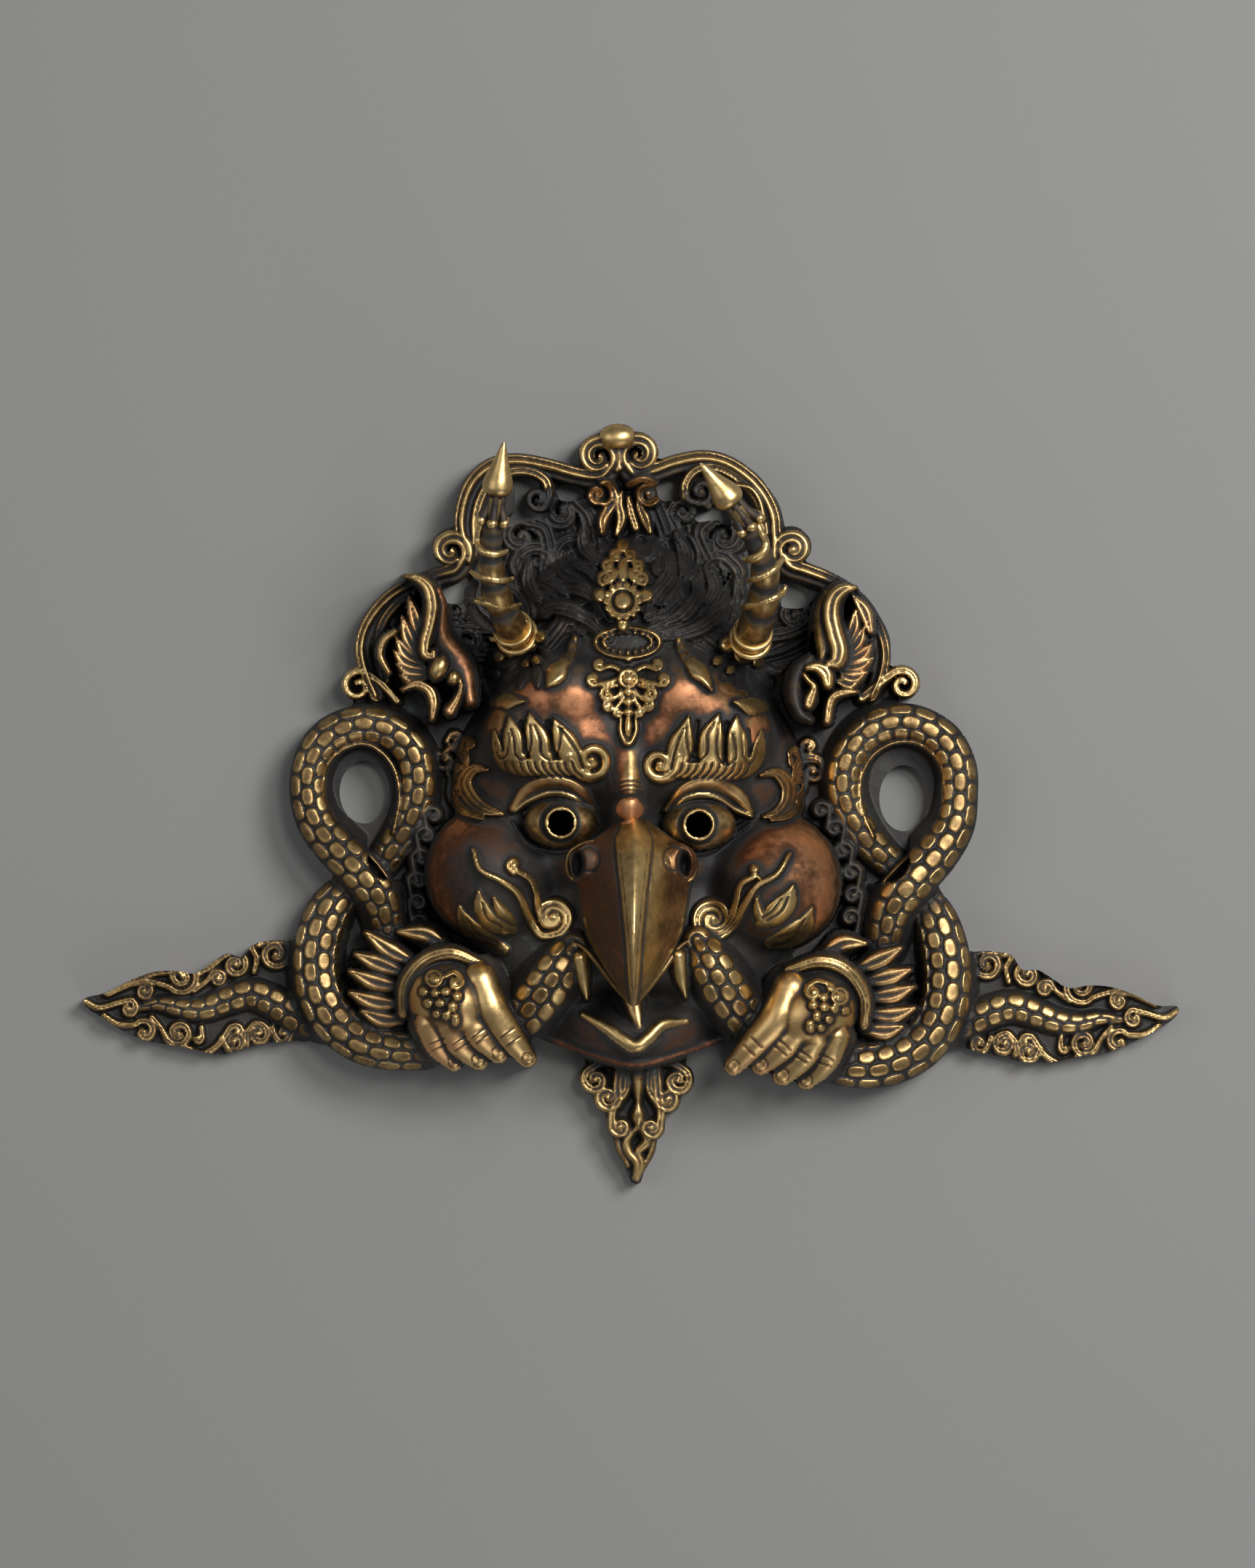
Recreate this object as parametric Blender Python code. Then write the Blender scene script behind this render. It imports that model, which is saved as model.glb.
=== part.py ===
"""Garuda wall mask: one hollow-backed casting in copper alloy, lying on its flat back.

The front is a height map made by laying rounded strokes and mounds on a ground plate, as a modeller
lays rolls of wax. The horns and the beak stand clear of the map, so they are swept solids, and a
remesh fuses everything into one closed casting. X runs across, +Y to the crown, +Z out of the face.
"""

import math

import bpy
import numpy as np

# Driving sizes, in metres.
MASK_WIDTH = 0.285
WALL = 0.0032
PLATE_THICKNESS = 0.0060
TAIL_THICKNESS = 0.0045
PUPIL_RADIUS = 0.0034
HOLLOW_HALF_WIDTH = 0.044
HOLLOW_HALF_LENGTH = 0.050
GRID_CELL = 0.0010
VOXEL = 0.00085
TRIANGLES = 9300

# The carving is drawn on a board of this many units across; one unit is a millimetre on the real mask.
# Points are drawn where an eye high above the board sees them, so raised ones lie nearer its middle.
BOARD_WIDTH = 285.0
UNIT = MASK_WIDTH / BOARD_WIDTH
BOARD_X = 147.0
BOARD_Y = 103.0
EYE = (-1.0, 4.9, 1300.0)

# How the carving is laid, in board units: spacing of points along a stroke and an outline, fall of a
# stroke's skirt, fillet where forms meet, least half width of a stroke, and how near the outline a grid
# point, as a share of a cell, is drawn onto it.
NO_METAL = -20.0
STEP = 0.8
LOOP_STEP = 2.5
DRAFT = 3.0
BLEND = 0.9
THINNEST = 0.3
SKIRT = 1.6
NEIGHBOURHOOD = 60.0
SNAP = 0.55
LEAST_HOLLOW = 2.0
LEAST_SKIN = 1.0

# How near its lowest point the back counts as flat, in voxels, before and after the mesh is thinned out.
LEVEL_FIRST = 0.45
LEVEL_LAST = 0.75
CREASE = 35
BRASS = (0.53, 0.38, 0.17, 1.0)


def units(metres):
    return metres / UNIT


# Paths and outlines

def spline(p, step):
    """A Catmull-Rom curve from the second point to the last but one; every column is interpolated."""
    rows = []
    for a, b, c, d in zip(p, p[1:], p[2:], p[3:]):
        count = max(2, int(math.dist(b[:2], c[:2]) / step))
        t = np.arange(count)[:, None] / count
        square = 2 * a - 5 * b + 4 * c - d
        cube = 3 * b - a - 3 * c + d
        rows.append(0.5 * (2 * b + (c - a) * t + square * t**2 + cube * t**3))
    rows.append(p[-2:-1])
    return np.vstack(rows)


def smooth_path(points, step=STEP):
    p = np.asarray(points, float)
    return spline(np.vstack([2 * p[0] - p[1], p, 2 * p[-1] - p[-2]]), step)


def smooth_loop(points, step=LOOP_STEP):
    p = np.asarray(points, float)
    return spline(np.vstack([p[-1:], p, p[:2]]), step)


def scroll(centre, radius, start, turns, columns=(), inner=0.22, steps=14):
    """Points of a spiral that winds in from its outer radius; start is its first angle, in degrees."""
    count = max(4, int(abs(turns) * steps))
    rows = []
    for i in range(count + 1):
        share = i / count
        angle = math.radians(start + 360 * turns * share)
        r = radius * (1 - (1 - inner) * share)
        rows.append((centre[0] + r * math.cos(angle), centre[1] + r * math.sin(angle), *columns))
    return rows


def oval(x, y, rx, ry, count, columns):
    """A closed oval of that many points, each with the same further columns."""
    turns = np.linspace(0, 2 * math.pi, count)
    return [(x + rx * math.cos(t), y + ry * math.sin(t), *columns) for t in turns]


def widths(points, start, middle, end, lift):
    """Adds a half width and a lift to plain (x, y) points: a stroke that swells and tapers."""
    rows = []
    for i, (x, y) in enumerate(points):
        t = i / (len(points) - 1)
        w = start * (1 - t) ** 2 + 2 * middle * t * (1 - t) * 1.5 + end * t * t
        rows.append((x, y, w, lift))
    return rows


# Cross-sections of a stroke: v runs from -1 to 1 across it

def round_section(v):
    return np.sqrt(np.clip(1 - v * v, 0, 1))


def reeded_section(v):
    """Two rounded reeds with a hollow between them."""
    return np.sqrt(np.clip(1 - v**4, 0, 1)) * (0.80 - 0.20 * np.cos(2 * np.pi * v))


def flat_section(v):
    return np.sqrt(np.clip(1 - v**6, 0, 1))


class Relief:
    """Height of the front over a square grid, and how far each point lies inside the outline."""

    def __init__(self, cell):
        self.cell = cell
        self.x = np.arange(-BOARD_X, BOARD_X + cell, cell)
        self.y = np.arange(-BOARD_Y, BOARD_Y + cell, cell)
        self.X, self.Y = np.meshgrid(self.x, self.y, indexing="ij")
        self.z = np.full(self.X.shape, NO_METAL)
        self.edge = np.full(self.X.shape, NO_METAL)
        self.body = self.z

    def window(self, low, high):
        i0, j0 = (int(max(0, (low[k] + (BOARD_X, BOARD_Y)[k]) / self.cell)) for k in (0, 1))
        i1, j1 = (int((high[k] + (BOARD_X, BOARD_Y)[k]) / self.cell) + 2 for k in (0, 1))
        return slice(i0, i1), slice(j0, j1)

    def near(self, line, reach):
        """Window round a line, signed offset from it, and its columns there."""
        at = self.window(line[:, :2].min(0) - reach, line[:, :2].max(0) + reach)
        x, y = self.X[at].ravel(), self.Y[at].ravel()
        nearest = np.empty(x.size, int)
        for first in range(0, x.size, 20000):
            part = slice(first, first + 20000)
            nearest[part] = np.argmin(
                (x[part, None] - line[:, 0]) ** 2 + (y[part, None] - line[:, 1]) ** 2, axis=1
            )
        best = np.full(x.size, np.inf)
        side = np.zeros(x.size)
        columns = np.zeros((x.size, line.shape[1] - 2))
        for shift in (-1, 0):
            k = np.clip(nearest + shift, 0, len(line) - 2)
            a, b = line[k], line[k + 1]
            dx, dy = b[:, 0] - a[:, 0], b[:, 1] - a[:, 1]
            length = np.maximum(dx * dx + dy * dy, 1e-9)
            t = np.clip(((x - a[:, 0]) * dx + (y - a[:, 1]) * dy) / length, 0, 1)
            ox, oy = x - a[:, 0] - t * dx, y - a[:, 1] - t * dy
            distance = np.hypot(ox, oy)
            closer = distance < best
            best = np.where(closer, distance, best)
            side = np.where(closer, np.sign(dx * oy - dy * ox) * distance, side)
            mixed = a[:, 2:] + (b - a)[:, 2:] * t[:, None]
            columns = np.where(closer[:, None], mixed, columns)
        shape = self.X[at].shape
        return at, side.reshape(shape), [c.reshape(shape) for c in columns.T]

    def raise_to(self, at, height, blend=BLEND):
        """Takes the higher of the map and height, with a soft fillet where they meet."""
        old = self.z[at]
        soft = np.clip(blend - np.abs(old - height), 0, None)
        self.z[at] = np.where(height > NO_METAL, np.maximum(old, height) + soft**2 / (4 * blend), old)

    def stroke(self, points, depth=None, section=round_section, on_body=True, cuts=True, blend=BLEND):
        """A roll of wax along points of (x, y, half width, lift); lift is over the body or the board."""
        line = smooth_path(points)
        at, side, (half, lift) = self.near(line, line[:, 2].max() * SKIRT + DRAFT)
        half = np.maximum(half, THINNEST)
        deep = half if depth is None else depth
        v = np.abs(side) / half
        crest = lift + (self.body[at] if on_body else 0)
        beyond = np.clip(np.abs(side) - half, 0, None)
        height = crest - deep + deep * section(np.clip(v, 0, 1)) - DRAFT * beyond
        self.raise_to(at, np.where(v < SKIRT, height, NO_METAL), blend)
        if cuts:
            self.edge[at] = np.maximum(self.edge[at], half - np.abs(side))

    def mound(self, x, y, rx, ry, low, high, power=0.5, turn=0, blend=3.0):
        """An oval dome that rises from low to high."""
        c, s = math.cos(math.radians(turn)), math.sin(math.radians(turn))
        reach = max(rx, ry) + 1
        at = self.window((x - reach, y - reach), (x + reach, y + reach))
        dx, dy = self.X[at] - x, self.Y[at] - y
        rho = ((dx * c + dy * s) / rx) ** 2 + ((dy * c - dx * s) / ry) ** 2
        height = low + (high - low) * np.clip(1 - rho, 0, 1) ** power
        self.raise_to(at, np.where(rho < 1, height, NO_METAL), blend)

    def dent(self, x, y, rx, ry, depth, turn=0):
        """A soft oval hollow."""
        c, s = math.cos(math.radians(turn)), math.sin(math.radians(turn))
        reach = 1.6 * max(rx, ry)
        at = self.window((x - reach, y - reach), (x + reach, y + reach))
        dx, dy = self.X[at] - x, self.Y[at] - y
        rho = ((dx * c + dy * s) / rx) ** 2 + ((dy * c - dx * s) / ry) ** 2
        self.z[at] -= depth * np.exp(-1.4 * rho**1.5)

    def inside(self, outline):
        """Signed distance to a closed outline over the whole board, above 0 inside it."""
        line = smooth_loop(outline)
        at, side, _ = self.near(line, NEIGHBOURHOOD)
        x, y = self.X[at], self.Y[at]
        odd = np.zeros(x.shape, bool)
        for (ax, ay), (bx, by) in zip(line[:, :2], np.roll(line[:, :2], -1, axis=0)):
            if ay != by:
                odd ^= ((ay > y) != (by > y)) & (x < (bx - ax) * (y - ay) / (by - ay) + ax)
        distance = np.full(self.X.shape, NO_METAL)
        distance[at] = np.where(odd, np.abs(side), -np.abs(side))
        return distance

    def plate(self, outline, height):
        """A flat ground of that outline."""
        distance = self.inside(outline)
        self.z = np.where(distance > -2, np.maximum(self.z, height), self.z)
        self.edge = np.maximum(self.edge, distance)

    def opening(self, outline):
        """A pierced gap of that outline."""
        self.edge = np.minimum(self.edge, -self.inside(outline))

    def round_opening(self, x, y, rx, ry):
        rho = np.hypot((self.X - x) / rx, (self.Y - y) / ry)
        self.edge = np.minimum(self.edge, (rho - 1) * min(rx, ry))

    def underside(self, wall, half_width, half_length):
        """The hollow of the back: the front moved in by the wall, under the head only."""
        deep = self.z.copy()
        steps = int(wall / self.cell)
        for i in range(-steps, steps + 1):
            for j in range(-steps, steps + 1):
                away = math.hypot(i, j) * self.cell
                if away <= wall:
                    lowered = np.roll(self.z, (i, j), (0, 1)) - math.sqrt(wall * wall - away * away)
                    deep = np.minimum(deep, lowered)
        rho = (np.abs(self.X - HEAD_CENTRE[0]) / half_width) ** HOLLOW_SQUARENESS
        rho = rho + (np.abs(self.Y - HEAD_CENTRE[1]) / half_length) ** HOLLOW_SQUARENESS
        return np.where((rho < 1) & (deep > LEAST_HOLLOW), np.clip(deep, 0, None), 0.0)

    def solid(self, back):
        """Points and faces of the closed solid between the back and the front, cut to the outline."""
        gx, gy = np.gradient(self.edge, self.cell)
        steep = np.maximum(gx**2 + gy**2, 0.25)
        keep = self.edge > -SNAP * self.cell
        move = np.where(np.abs(self.edge) < SNAP * self.cell, self.edge, 0) / steep
        x, y = self.X - move * gx, self.Y - move * gy
        whole = keep[:-1, :-1] & keep[1:, :-1] & keep[:-1, 1:] & keep[1:, 1:]
        index = np.full(keep.shape, -1)
        used = np.zeros(keep.shape, bool)
        for i, j in ((0, 0), (1, 0), (0, 1), (1, 1)):
            used[i : i + whole.shape[0], j : j + whole.shape[1]] |= whole
        index[used] = np.arange(used.sum())
        count = int(used.sum())
        front = np.column_stack([x[used], y[used], np.maximum(self.z[used], back[used] + LEAST_SKIN)])
        rear = np.column_stack([x[used], y[used], back[used]])
        i, j = np.nonzero(whole)
        quads = np.column_stack([index[i, j], index[i + 1, j], index[i + 1, j + 1], index[i, j + 1]])
        ends = np.vstack([quads[:, [0, 1]], quads[:, [1, 2]], quads[:, [2, 3]], quads[:, [3, 0]]])
        keys = ends[:, 0] * count + ends[:, 1]
        border = ends[~np.isin(keys, ends[:, 1] * count + ends[:, 0])]
        walls = np.column_stack([border[:, 1], border[:, 0], border[:, 0] + count, border[:, 1] + count])
        return np.vstack([front, rear]), np.vstack([quads, quads[:, ::-1] + count, walls])


# Where things lie on the board. The casting leans a little to the left, so mirrored ornaments
# follow a leaning middle line.

HEAD_CENTRE = (-0.5, -13.0)
HOLLOW_SQUARENESS = 2.4
LEAN = -0.03
MIDDLE = -0.4


def middle(y):
    return MIDDLE + LEAN * y


def sided(side, points):
    """Right-hand points on either side of the leaning middle line; extra columns stay."""
    return [(middle(y) + side * x, y, *rest) for x, y, *rest in points]


GROUND_HALF = [
    (4, 89), (12, 88), (22, 90), (32, 87.5), (40, 80), (42.5, 72), (43, 63), (55, 58.5), (64, 52),
    (69, 43), (68.5, 33), (71, 26), (81, 18), (86, 4), (81, -9), (73, -19), (78, -28), (82, -42),
    (79, -55), (70, -63), (56, -65.5), (40, -63.5), (30, -61), (22, -61), (12, -65.5), (4, -67.5),
]
OPENINGS = [
    [(-31.5, 84.2), (-29.2, 84.4), (-27, 83), (-26, 81.8), (-27.8, 79.6), (-27.4, 77.2),
     (-25, 75.8), (-22, 76.4), (-20.8, 76.2), (-20.9, 74.2), (-24, 73.4), (-28.6, 73.2),
     (-32.8, 71.4), (-31.4, 74.5), (-30.8, 79)],
    [(-18.7, 82.4), (-13.4, 81.9), (-12.6, 80.4), (-14, 78.9), (-18.5, 79.2)],
    [(-50, 55.6), (-45.6, 56.4), (-41.4, 59.2), (-41.8, 55.8), (-43.2, 53), (-44.6, 51.4),
     (-48.8, 51.4)],
    [(-62.8, 47.2), (-60.2, 50.1), (-57.8, 49.8), (-57.8, 46.3), (-60.4, 46)],
    [(7.0, 82.8), (8.6, 83.8), (10.5, 83.6), (10.6, 79), (7, 79)],
    [(16.8, 75), (19.2, 75.6), (21.6, 78), (24.6, 76.2), (25.6, 74.4), (25.5, 70.6), (24.4, 70.6),
     (22, 73), (17.4, 73.6)],
    [(38.3, 59.4), (41, 58), (46, 54.6), (46, 52.6), (44, 50.8), (39, 51.3), (39.8, 54)],
    [(47.4, 44.6), (48.7, 44.4), (48.8, 40.6), (47.4, 38.2), (46.8, 41)],
]
LOOP_EYES = [(-69.5, 2.8, 6.5, 8.2), (71.0, 1.2, 6.4, 8.6)]

# Serpents, from tail to head: x, y, half width, crest height over the board.
LOOPS = [
    [(-66, -17, 4.4, 11), (-60.5, -9.5, 4.8, 13), (-57, -3, 4.9, 14.5), (-55.5, 5, 4.9, 15.5),
     (-57, 13, 4.9, 16), (-62.5, 18.6, 4.9, 16), (-70.5, 20.5, 4.9, 16), (-78.5, 17.5, 4.9, 16),
     (-83.2, 11, 4.8, 16), (-84.3, 3, 4.8, 16), (-82, -5.2, 5.1, 17), (-76.3, -12.3, 5.5, 19),
     (-69.3, -19, 5.7, 21), (-64.8, -26, 5.0, 20), (-63.3, -33, 4.4, 17)],
    [(69, -17, 4.4, 11), (62.5, -11, 4.8, 13), (58, -4.5, 4.9, 14.5), (55.4, 3, 4.9, 15.5),
     (56.2, 11, 4.9, 16), (60, 17, 4.9, 16), (66.5, 20.6, 4.9, 16), (74, 20.6, 4.9, 16),
     (81.2, 16.5, 4.9, 16), (85, 9.5, 4.9, 16), (85.4, 2, 4.9, 16), (84, -6, 5.4, 17),
     (79.3, -13.4, 5.9, 19), (72.8, -20.5, 6.1, 21), (67.6, -28, 5.4, 20), (65.4, -37, 4.6, 17)],
]
COILS = [
    [(-73, -21.5, 4.6, 13), (-78, -27, 5.6, 15), (-81, -33.5, 6.0, 16), (-82.2, -41, 6.0, 16.5),
     (-81.2, -49, 6.0, 17), (-77.5, -56.3, 6.0, 18), (-71, -61.8, 5.8, 20), (-63, -64.4, 5.3, 22),
     (-54, -64.8, 4.9, 23)],
    [(76.5, -25, 4.6, 13), (79.7, -31.5, 5.8, 15), (81.8, -40, 6.4, 16), (82, -49, 6.5, 17),
     (79.6, -57.4, 6.4, 18), (74, -64, 6.4, 19), (66, -67.7, 6.2, 21), (58, -68.5, 5.8, 22.5),
     (49, -67.5, 5.0, 23)],
]
NECKS = [
    [(-34, -61, 5.0, 24), (-28.5, -55.6, 6.2, 31), (-23, -49, 6.6, 36), (-18.5, -42.6, 6.0, 37),
     (-15, -37.5, 4.6, 34)],
    [(35, -61, 5.0, 24), (29.5, -55.2, 6.2, 31), (24.4, -48.6, 6.4, 36), (20.3, -41.6, 6.0, 37),
     (17, -36, 4.6, 34)],
]
TAILS = [
    [(-80, -58.5, 4.6, 10), (-87, -56, 4.8, 9.6), (-93, -52.2, 4.7, 9.4), (-99, -49.8, 4.4, 9.2),
     (-105, -51.3, 4.1, 9), (-111, -53.7, 3.5, 8.7), (-117, -53.6, 2.9, 8.3),
     (-123, -52.4, 2.1, 7.6), (-128.5, -53.5, 1.1, 6.4)],
    [(80, -58.5, 4.6, 10), (87, -57.5, 4.8, 9.6), (93, -54.8, 4.7, 9.4), (99, -53.2, 4.5, 9.2),
     (105, -54.8, 4.2, 9), (111, -57, 3.6, 8.7), (117, -57.4, 2.9, 8.3), (122, -56.2, 2.1, 7.6),
     (127.5, -56.6, 1.1, 6.4)],
]
TAIL_PLATES = [
    [(-84, -38), (-89.5, -36), (-95, -36), (-99, -37.3), (-101.2, -40.5), (-105, -39.2),
     (-109, -41.5), (-113.5, -44.5), (-118, -43.8), (-124, -44), (-130, -46), (-136.5, -49.4),
     (-142.1, -50.8), (-142.1, -53.2), (-137.2, -56.4), (-133, -59.2), (-127, -61.8), (-121, -63),
     (-115, -64), (-107, -65.6), (-101, -64), (-95, -62.6), (-89, -62), (-82, -60)],
    [(84, -40.5), (89.5, -38.8), (95, -38.8), (99.5, -40), (101.5, -43.4), (106, -43.6),
     (110, -46), (114, -48.3), (119, -47.6), (125, -48), (131, -50), (137, -52.8), (142.1, -53),
     (142.1, -55.4), (137.6, -58.8), (131, -62.2), (124, -65), (117, -66), (109, -67.6),
     (101, -67.4), (95, -66), (89, -64.4), (82, -61)],
]
# Flame scrolls on a tail: centre, radius, first angle, turns, and where the stroke starts.
TAIL_SCROLLS = [
    (92, -39, 3.0, 80, -1.3, (98, -43.5)), (103.6, -43.5, 3.0, 60, 1.2, (111, -45)),
    (117, -46.2, 3.0, 100, 1.2, (136, -51)), (126.5, -49.5, 1.9, 60, 1.1, (131, -48.5)),
    (131.8, -54, 2.2, 70, 1.2, (141, -53)), (98, -60.5, 3.0, -60, -1.3, (91, -61)),
    (105, -61.8, 3.0, -70, 1.1, (112, -56)), (118.5, -60, 3.0, -60, 1.2, (122, -55.5)),
    (127, -60.8, 2.4, -70, 1.2, (137, -57)),
]

# The left tail lies this much higher than the right one.
TAIL_RISE = 2.4

# The pierced frame: band and its end scroll, then the slimmer bands inside it.
ARCHES = [
    ([(-6, 86.3), (-12, 85.9), (-18, 87.3), (-25, 89.1), (-32, 89.2), (-38.5, 86.6), (-42.8, 81.5),
      (-44.2, 75.5), (-43, 70), (-41.5, 65)],
     2.6, 12.5),
    ([(-21.4, 79.5), (-22, 83.4), (-26, 86), (-32, 86.3), (-37, 83.3), (-39.8, 78.3), (-40.6, 73),
      (-40, 68)],
     1.9, 12.0),
    ([(-44.4, 66), (-44.8, 62), (-50, 59.8), (-57, 57.6), (-63.5, 54), (-68.4, 48.5), (-70.2, 42),
      (-69.6, 36), (-67, 31)],
     2.8, 12.5),
    ([(-56, 54.4), (-61, 51.8), (-65, 47.3), (-66.4, 42), (-66, 37), (-64, 32)], 1.8, 11.5),
    ([(-59, 45), (-62.6, 44), (-64.4, 40.5), (-63.4, 36), (-61, 31.5)], 1.4, 11.0),
    ([(0.5, 86.5), (6, 86.4), (12, 88.8), (18, 90.5), (25, 89.8), (31, 86.8), (35.4, 81.5),
      (37.6, 75), (37.4, 69.5), (36, 65)],
     2.6, 12.5),
    ([(14.6, 80.5), (14.6, 84.5), (18.5, 87.4), (24, 87), (29.4, 84), (33, 79), (34.4, 73),
      (34, 68)],
     1.9, 12.0),
    ([(39.2, 66.8), (40.4, 63), (46, 60.8), (53, 58.8), (59, 56), (64.4, 50.5), (66.8, 44),
      (66.8, 38), (64.5, 33)],
     2.8, 12.5),
    ([(57, 55.5), (61, 51.8), (63, 46.5), (63.3, 41), (62, 35)], 1.7, 11.5),
]
ARCH_SCROLLS = [
    ((-9.0, 90.4), 4.0, -60, 1.35), ((2.4, 90.6), 4.0, 240, -1.35), ((-24.4, 79.4), 3.0, 0, -1.2),
    ((17.6, 80.6), 3.0, 180, 1.2), ((-47.6, 65.8), 3.2, 0, 1.3), ((42.4, 66.4), 3.2, 180, -1.3),
    ((-71.4, 31.2), 3.3, 60, 1.2), ((70.6, 31.4), 3.3, 120, -1.2),
]
CROWN_KNOB = (-4.3, 94.6, 4.6, 3.9)
SCROLL_STEMS = [[(-69.5, 34), (-67, 31.5), (-63, 28)], [(68.6, 34.2), (65, 32.4), (60, 28.5)]]

# Hair: root, bend, bend, then the curl's centre, radius and turning sense, on the right-hand side.
LOCKS = [
    ([(9, 66), (13.5, 72), (13.5, 77.5)], (17, 76.5), 2.7, 1),
    ([(21, 60), (24, 67), (22, 72.5)], (27, 69.5), 2.6, -1),
    ([(9, 56), (15, 60), (17.5, 64.5)], (13, 65), 3.2, 1),
    ([(19, 48), (26, 54), (29.5, 60)], (24.5, 61), 3.0, 1),
    ([(33, 42), (41, 45.5), (46.5, 46)], (45, 49.5), 3.1, 1),
    ([(12, 45), (18, 48), (22, 52)], (20.5, 54), 2.6, 1),
    ([(5, 70), (8, 74), (7, 78)], (5.6, 80.6), 2.4, -1),
]

# Domes of the head: x, y, half sizes, height at the rim (None for the plate) and crest, fullness.
HEAD_MOUNDS = [
    (-1.6, 24, 38, 42, None, 40, 0.62), (-0.8, 4, 46, 38, None, 40, 0.55),
    (0.4, -34, 42, 34, None, 31, 0.45), (1, -56, 23, 13, 8, 32, 0.5),
]
BROW_MOUNDS = [(18, 19, 18.5, 15, 33, 43.5), (15, 29, 12, 9, 37, 45)]
CHEEK_HEIGHTS = (14, 41)
BRIDGE = [(-1.2, 22, 3.0, 1.4), (-0.8, 12, 3.6, 3.4), (-0.6, 2, 3.8, 6.5), (-0.4, -6, 4.2, 8)]

# An eye, measured from its pupil towards the temple: ball, then the lids and the fold of the brow.
EYEBALL = (9.0, 7.2, 33.0, 7.5)
UPPER_LID = [
    (-8.5, 0.5, 1.0, 3), (-4.5, 5.6, 1.3, 4.2), (1, 8, 1.5, 4.6), (6, 6.6, 1.4, 4.2),
    (11.5, 3.4, 0.9, 2.4),
]
LOWER_LID = [
    (-8.5, -0.5, 0.8, 2.4), (-5, -4.6, 1.0, 3), (1, -6, 1.1, 3.4), (6.4, -3.6, 1.0, 3),
    (10, 1, 0.8, 2),
]
EYE_FOLD = [(-9, 9, 1.6, 2.4), (1, 11.6, 2.6, 3.6), (10, 8, 1.6, 2.4)]
PUPIL_RING = (4.6, 0.8, 7.2)

# The face, on the right-hand side of the middle line.
FLAMES = [
    [(11, 11), (12.5, 16), (16, 21.5)], [(17, 10), (18.5, 16.5), (22.5, 23)],
    [(22.5, 10), (25, 16), (28.5, 22)], [(27.5, 9.5), (30.5, 14), (33, 19)],
]
BROW_CURL = ((9.0, 11.2), 3.3, 200, 1.15)
EYES = [(-18.3, -5.2), (17.6, -5.7)]
CHEEKS = [(-36.5, -18.5, 17.5, 18.0), (37.0, -20.5, 18.0, 18.0)]
MOUSTACHE = [
    (41, -13, 0.9, 1.6), (38, -18, 1.5, 2.0), (32, -21.5, 1.6, 2.2), (28.5, -27, 1.6, 2.3),
    (25, -32, 1.6, 2.4),
]
MOUSTACHE_INNER = [
    (30.5, -18.5, 1.0, 1.6), (27.6, -20, 1.1, 1.8), (26, -24.5, 1.1, 1.9), (25, -29, 1.1, 2.0),
]
CHEEK_FLAMES = [
    [(43.5, -26), (41, -34), (34.5, -38.5)], [(38.5, -24), (37.5, -30.5), (33, -33.5)],
    [(45, -31), (42.5, -37), (36, -42)],
]
LOWER_EARS = [
    (36, 7.5, 1.3, 2.0), (41.5, 5.5, 1.9, 2.6), (42, 0.5, 2.0, 2.6), (36.5, -3.5, 1.6, 2.0),
]
EAR_CRESTS = [
    (44.5, 15.5, 1.2, 2.4), (48.5, 11, 1.7, 3.0), (46.5, 6, 1.6, 3.0), (46.8, 1.5, 1.5, 2.8),
    (43, -2, 1.2, 2.0),
]

# Tall ears: rolled rim, outer shell and ruffles; x, y, half width, height over the board.
EAR_RIMS = [
    [(-58.8, 59, 0.7, 22), (-54, 57.6, 1.6, 26), (-51, 52.5, 1.8, 28), (-51.6, 46.5, 1.7, 28),
     (-53.2, 41, 1.8, 27), (-51.6, 37.6, 1.6, 26)],
    [(57.5, 56.8, 0.8, 22), (53, 55.4, 1.7, 26), (50.8, 50.5, 1.9, 28), (51.6, 44.5, 1.9, 28),
     (53.6, 39.5, 2.0, 27), (52.6, 36, 1.6, 26)],
]
EAR_SHELLS = [
    [(-51.5, 54, 2.0, 22), (-49.6, 46, 3.4, 24), (-47.2, 39, 4.2, 26), (-43.2, 32, 3.6, 26)],
    [(51, 53, 2.0, 22), (50.2, 46, 3.4, 24), (50.2, 40, 3.8, 26), (46, 33, 3.8, 26)],
]
EAR_ROOTS = [(-52.5, 34.5), (54.5, 34.0)]
EAR_LOBES = [
    [(-58.8, 48), (-61.2, 42.5), (-60.6, 37.5), (-57.5, 33), (-57, 29.6)],
    [(57.6, 51), (60.4, 46), (62.6, 40.5), (61.2, 35.5), (58.4, 31)],
]
EAR_KNOBS = [
    (-49.6, 34.6, 2.5, 29), (-46.4, 31.4, 1.9, 28), (49.8, 32.6, 2.4, 29), (47.2, 28.4, 1.9, 28),
]

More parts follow.
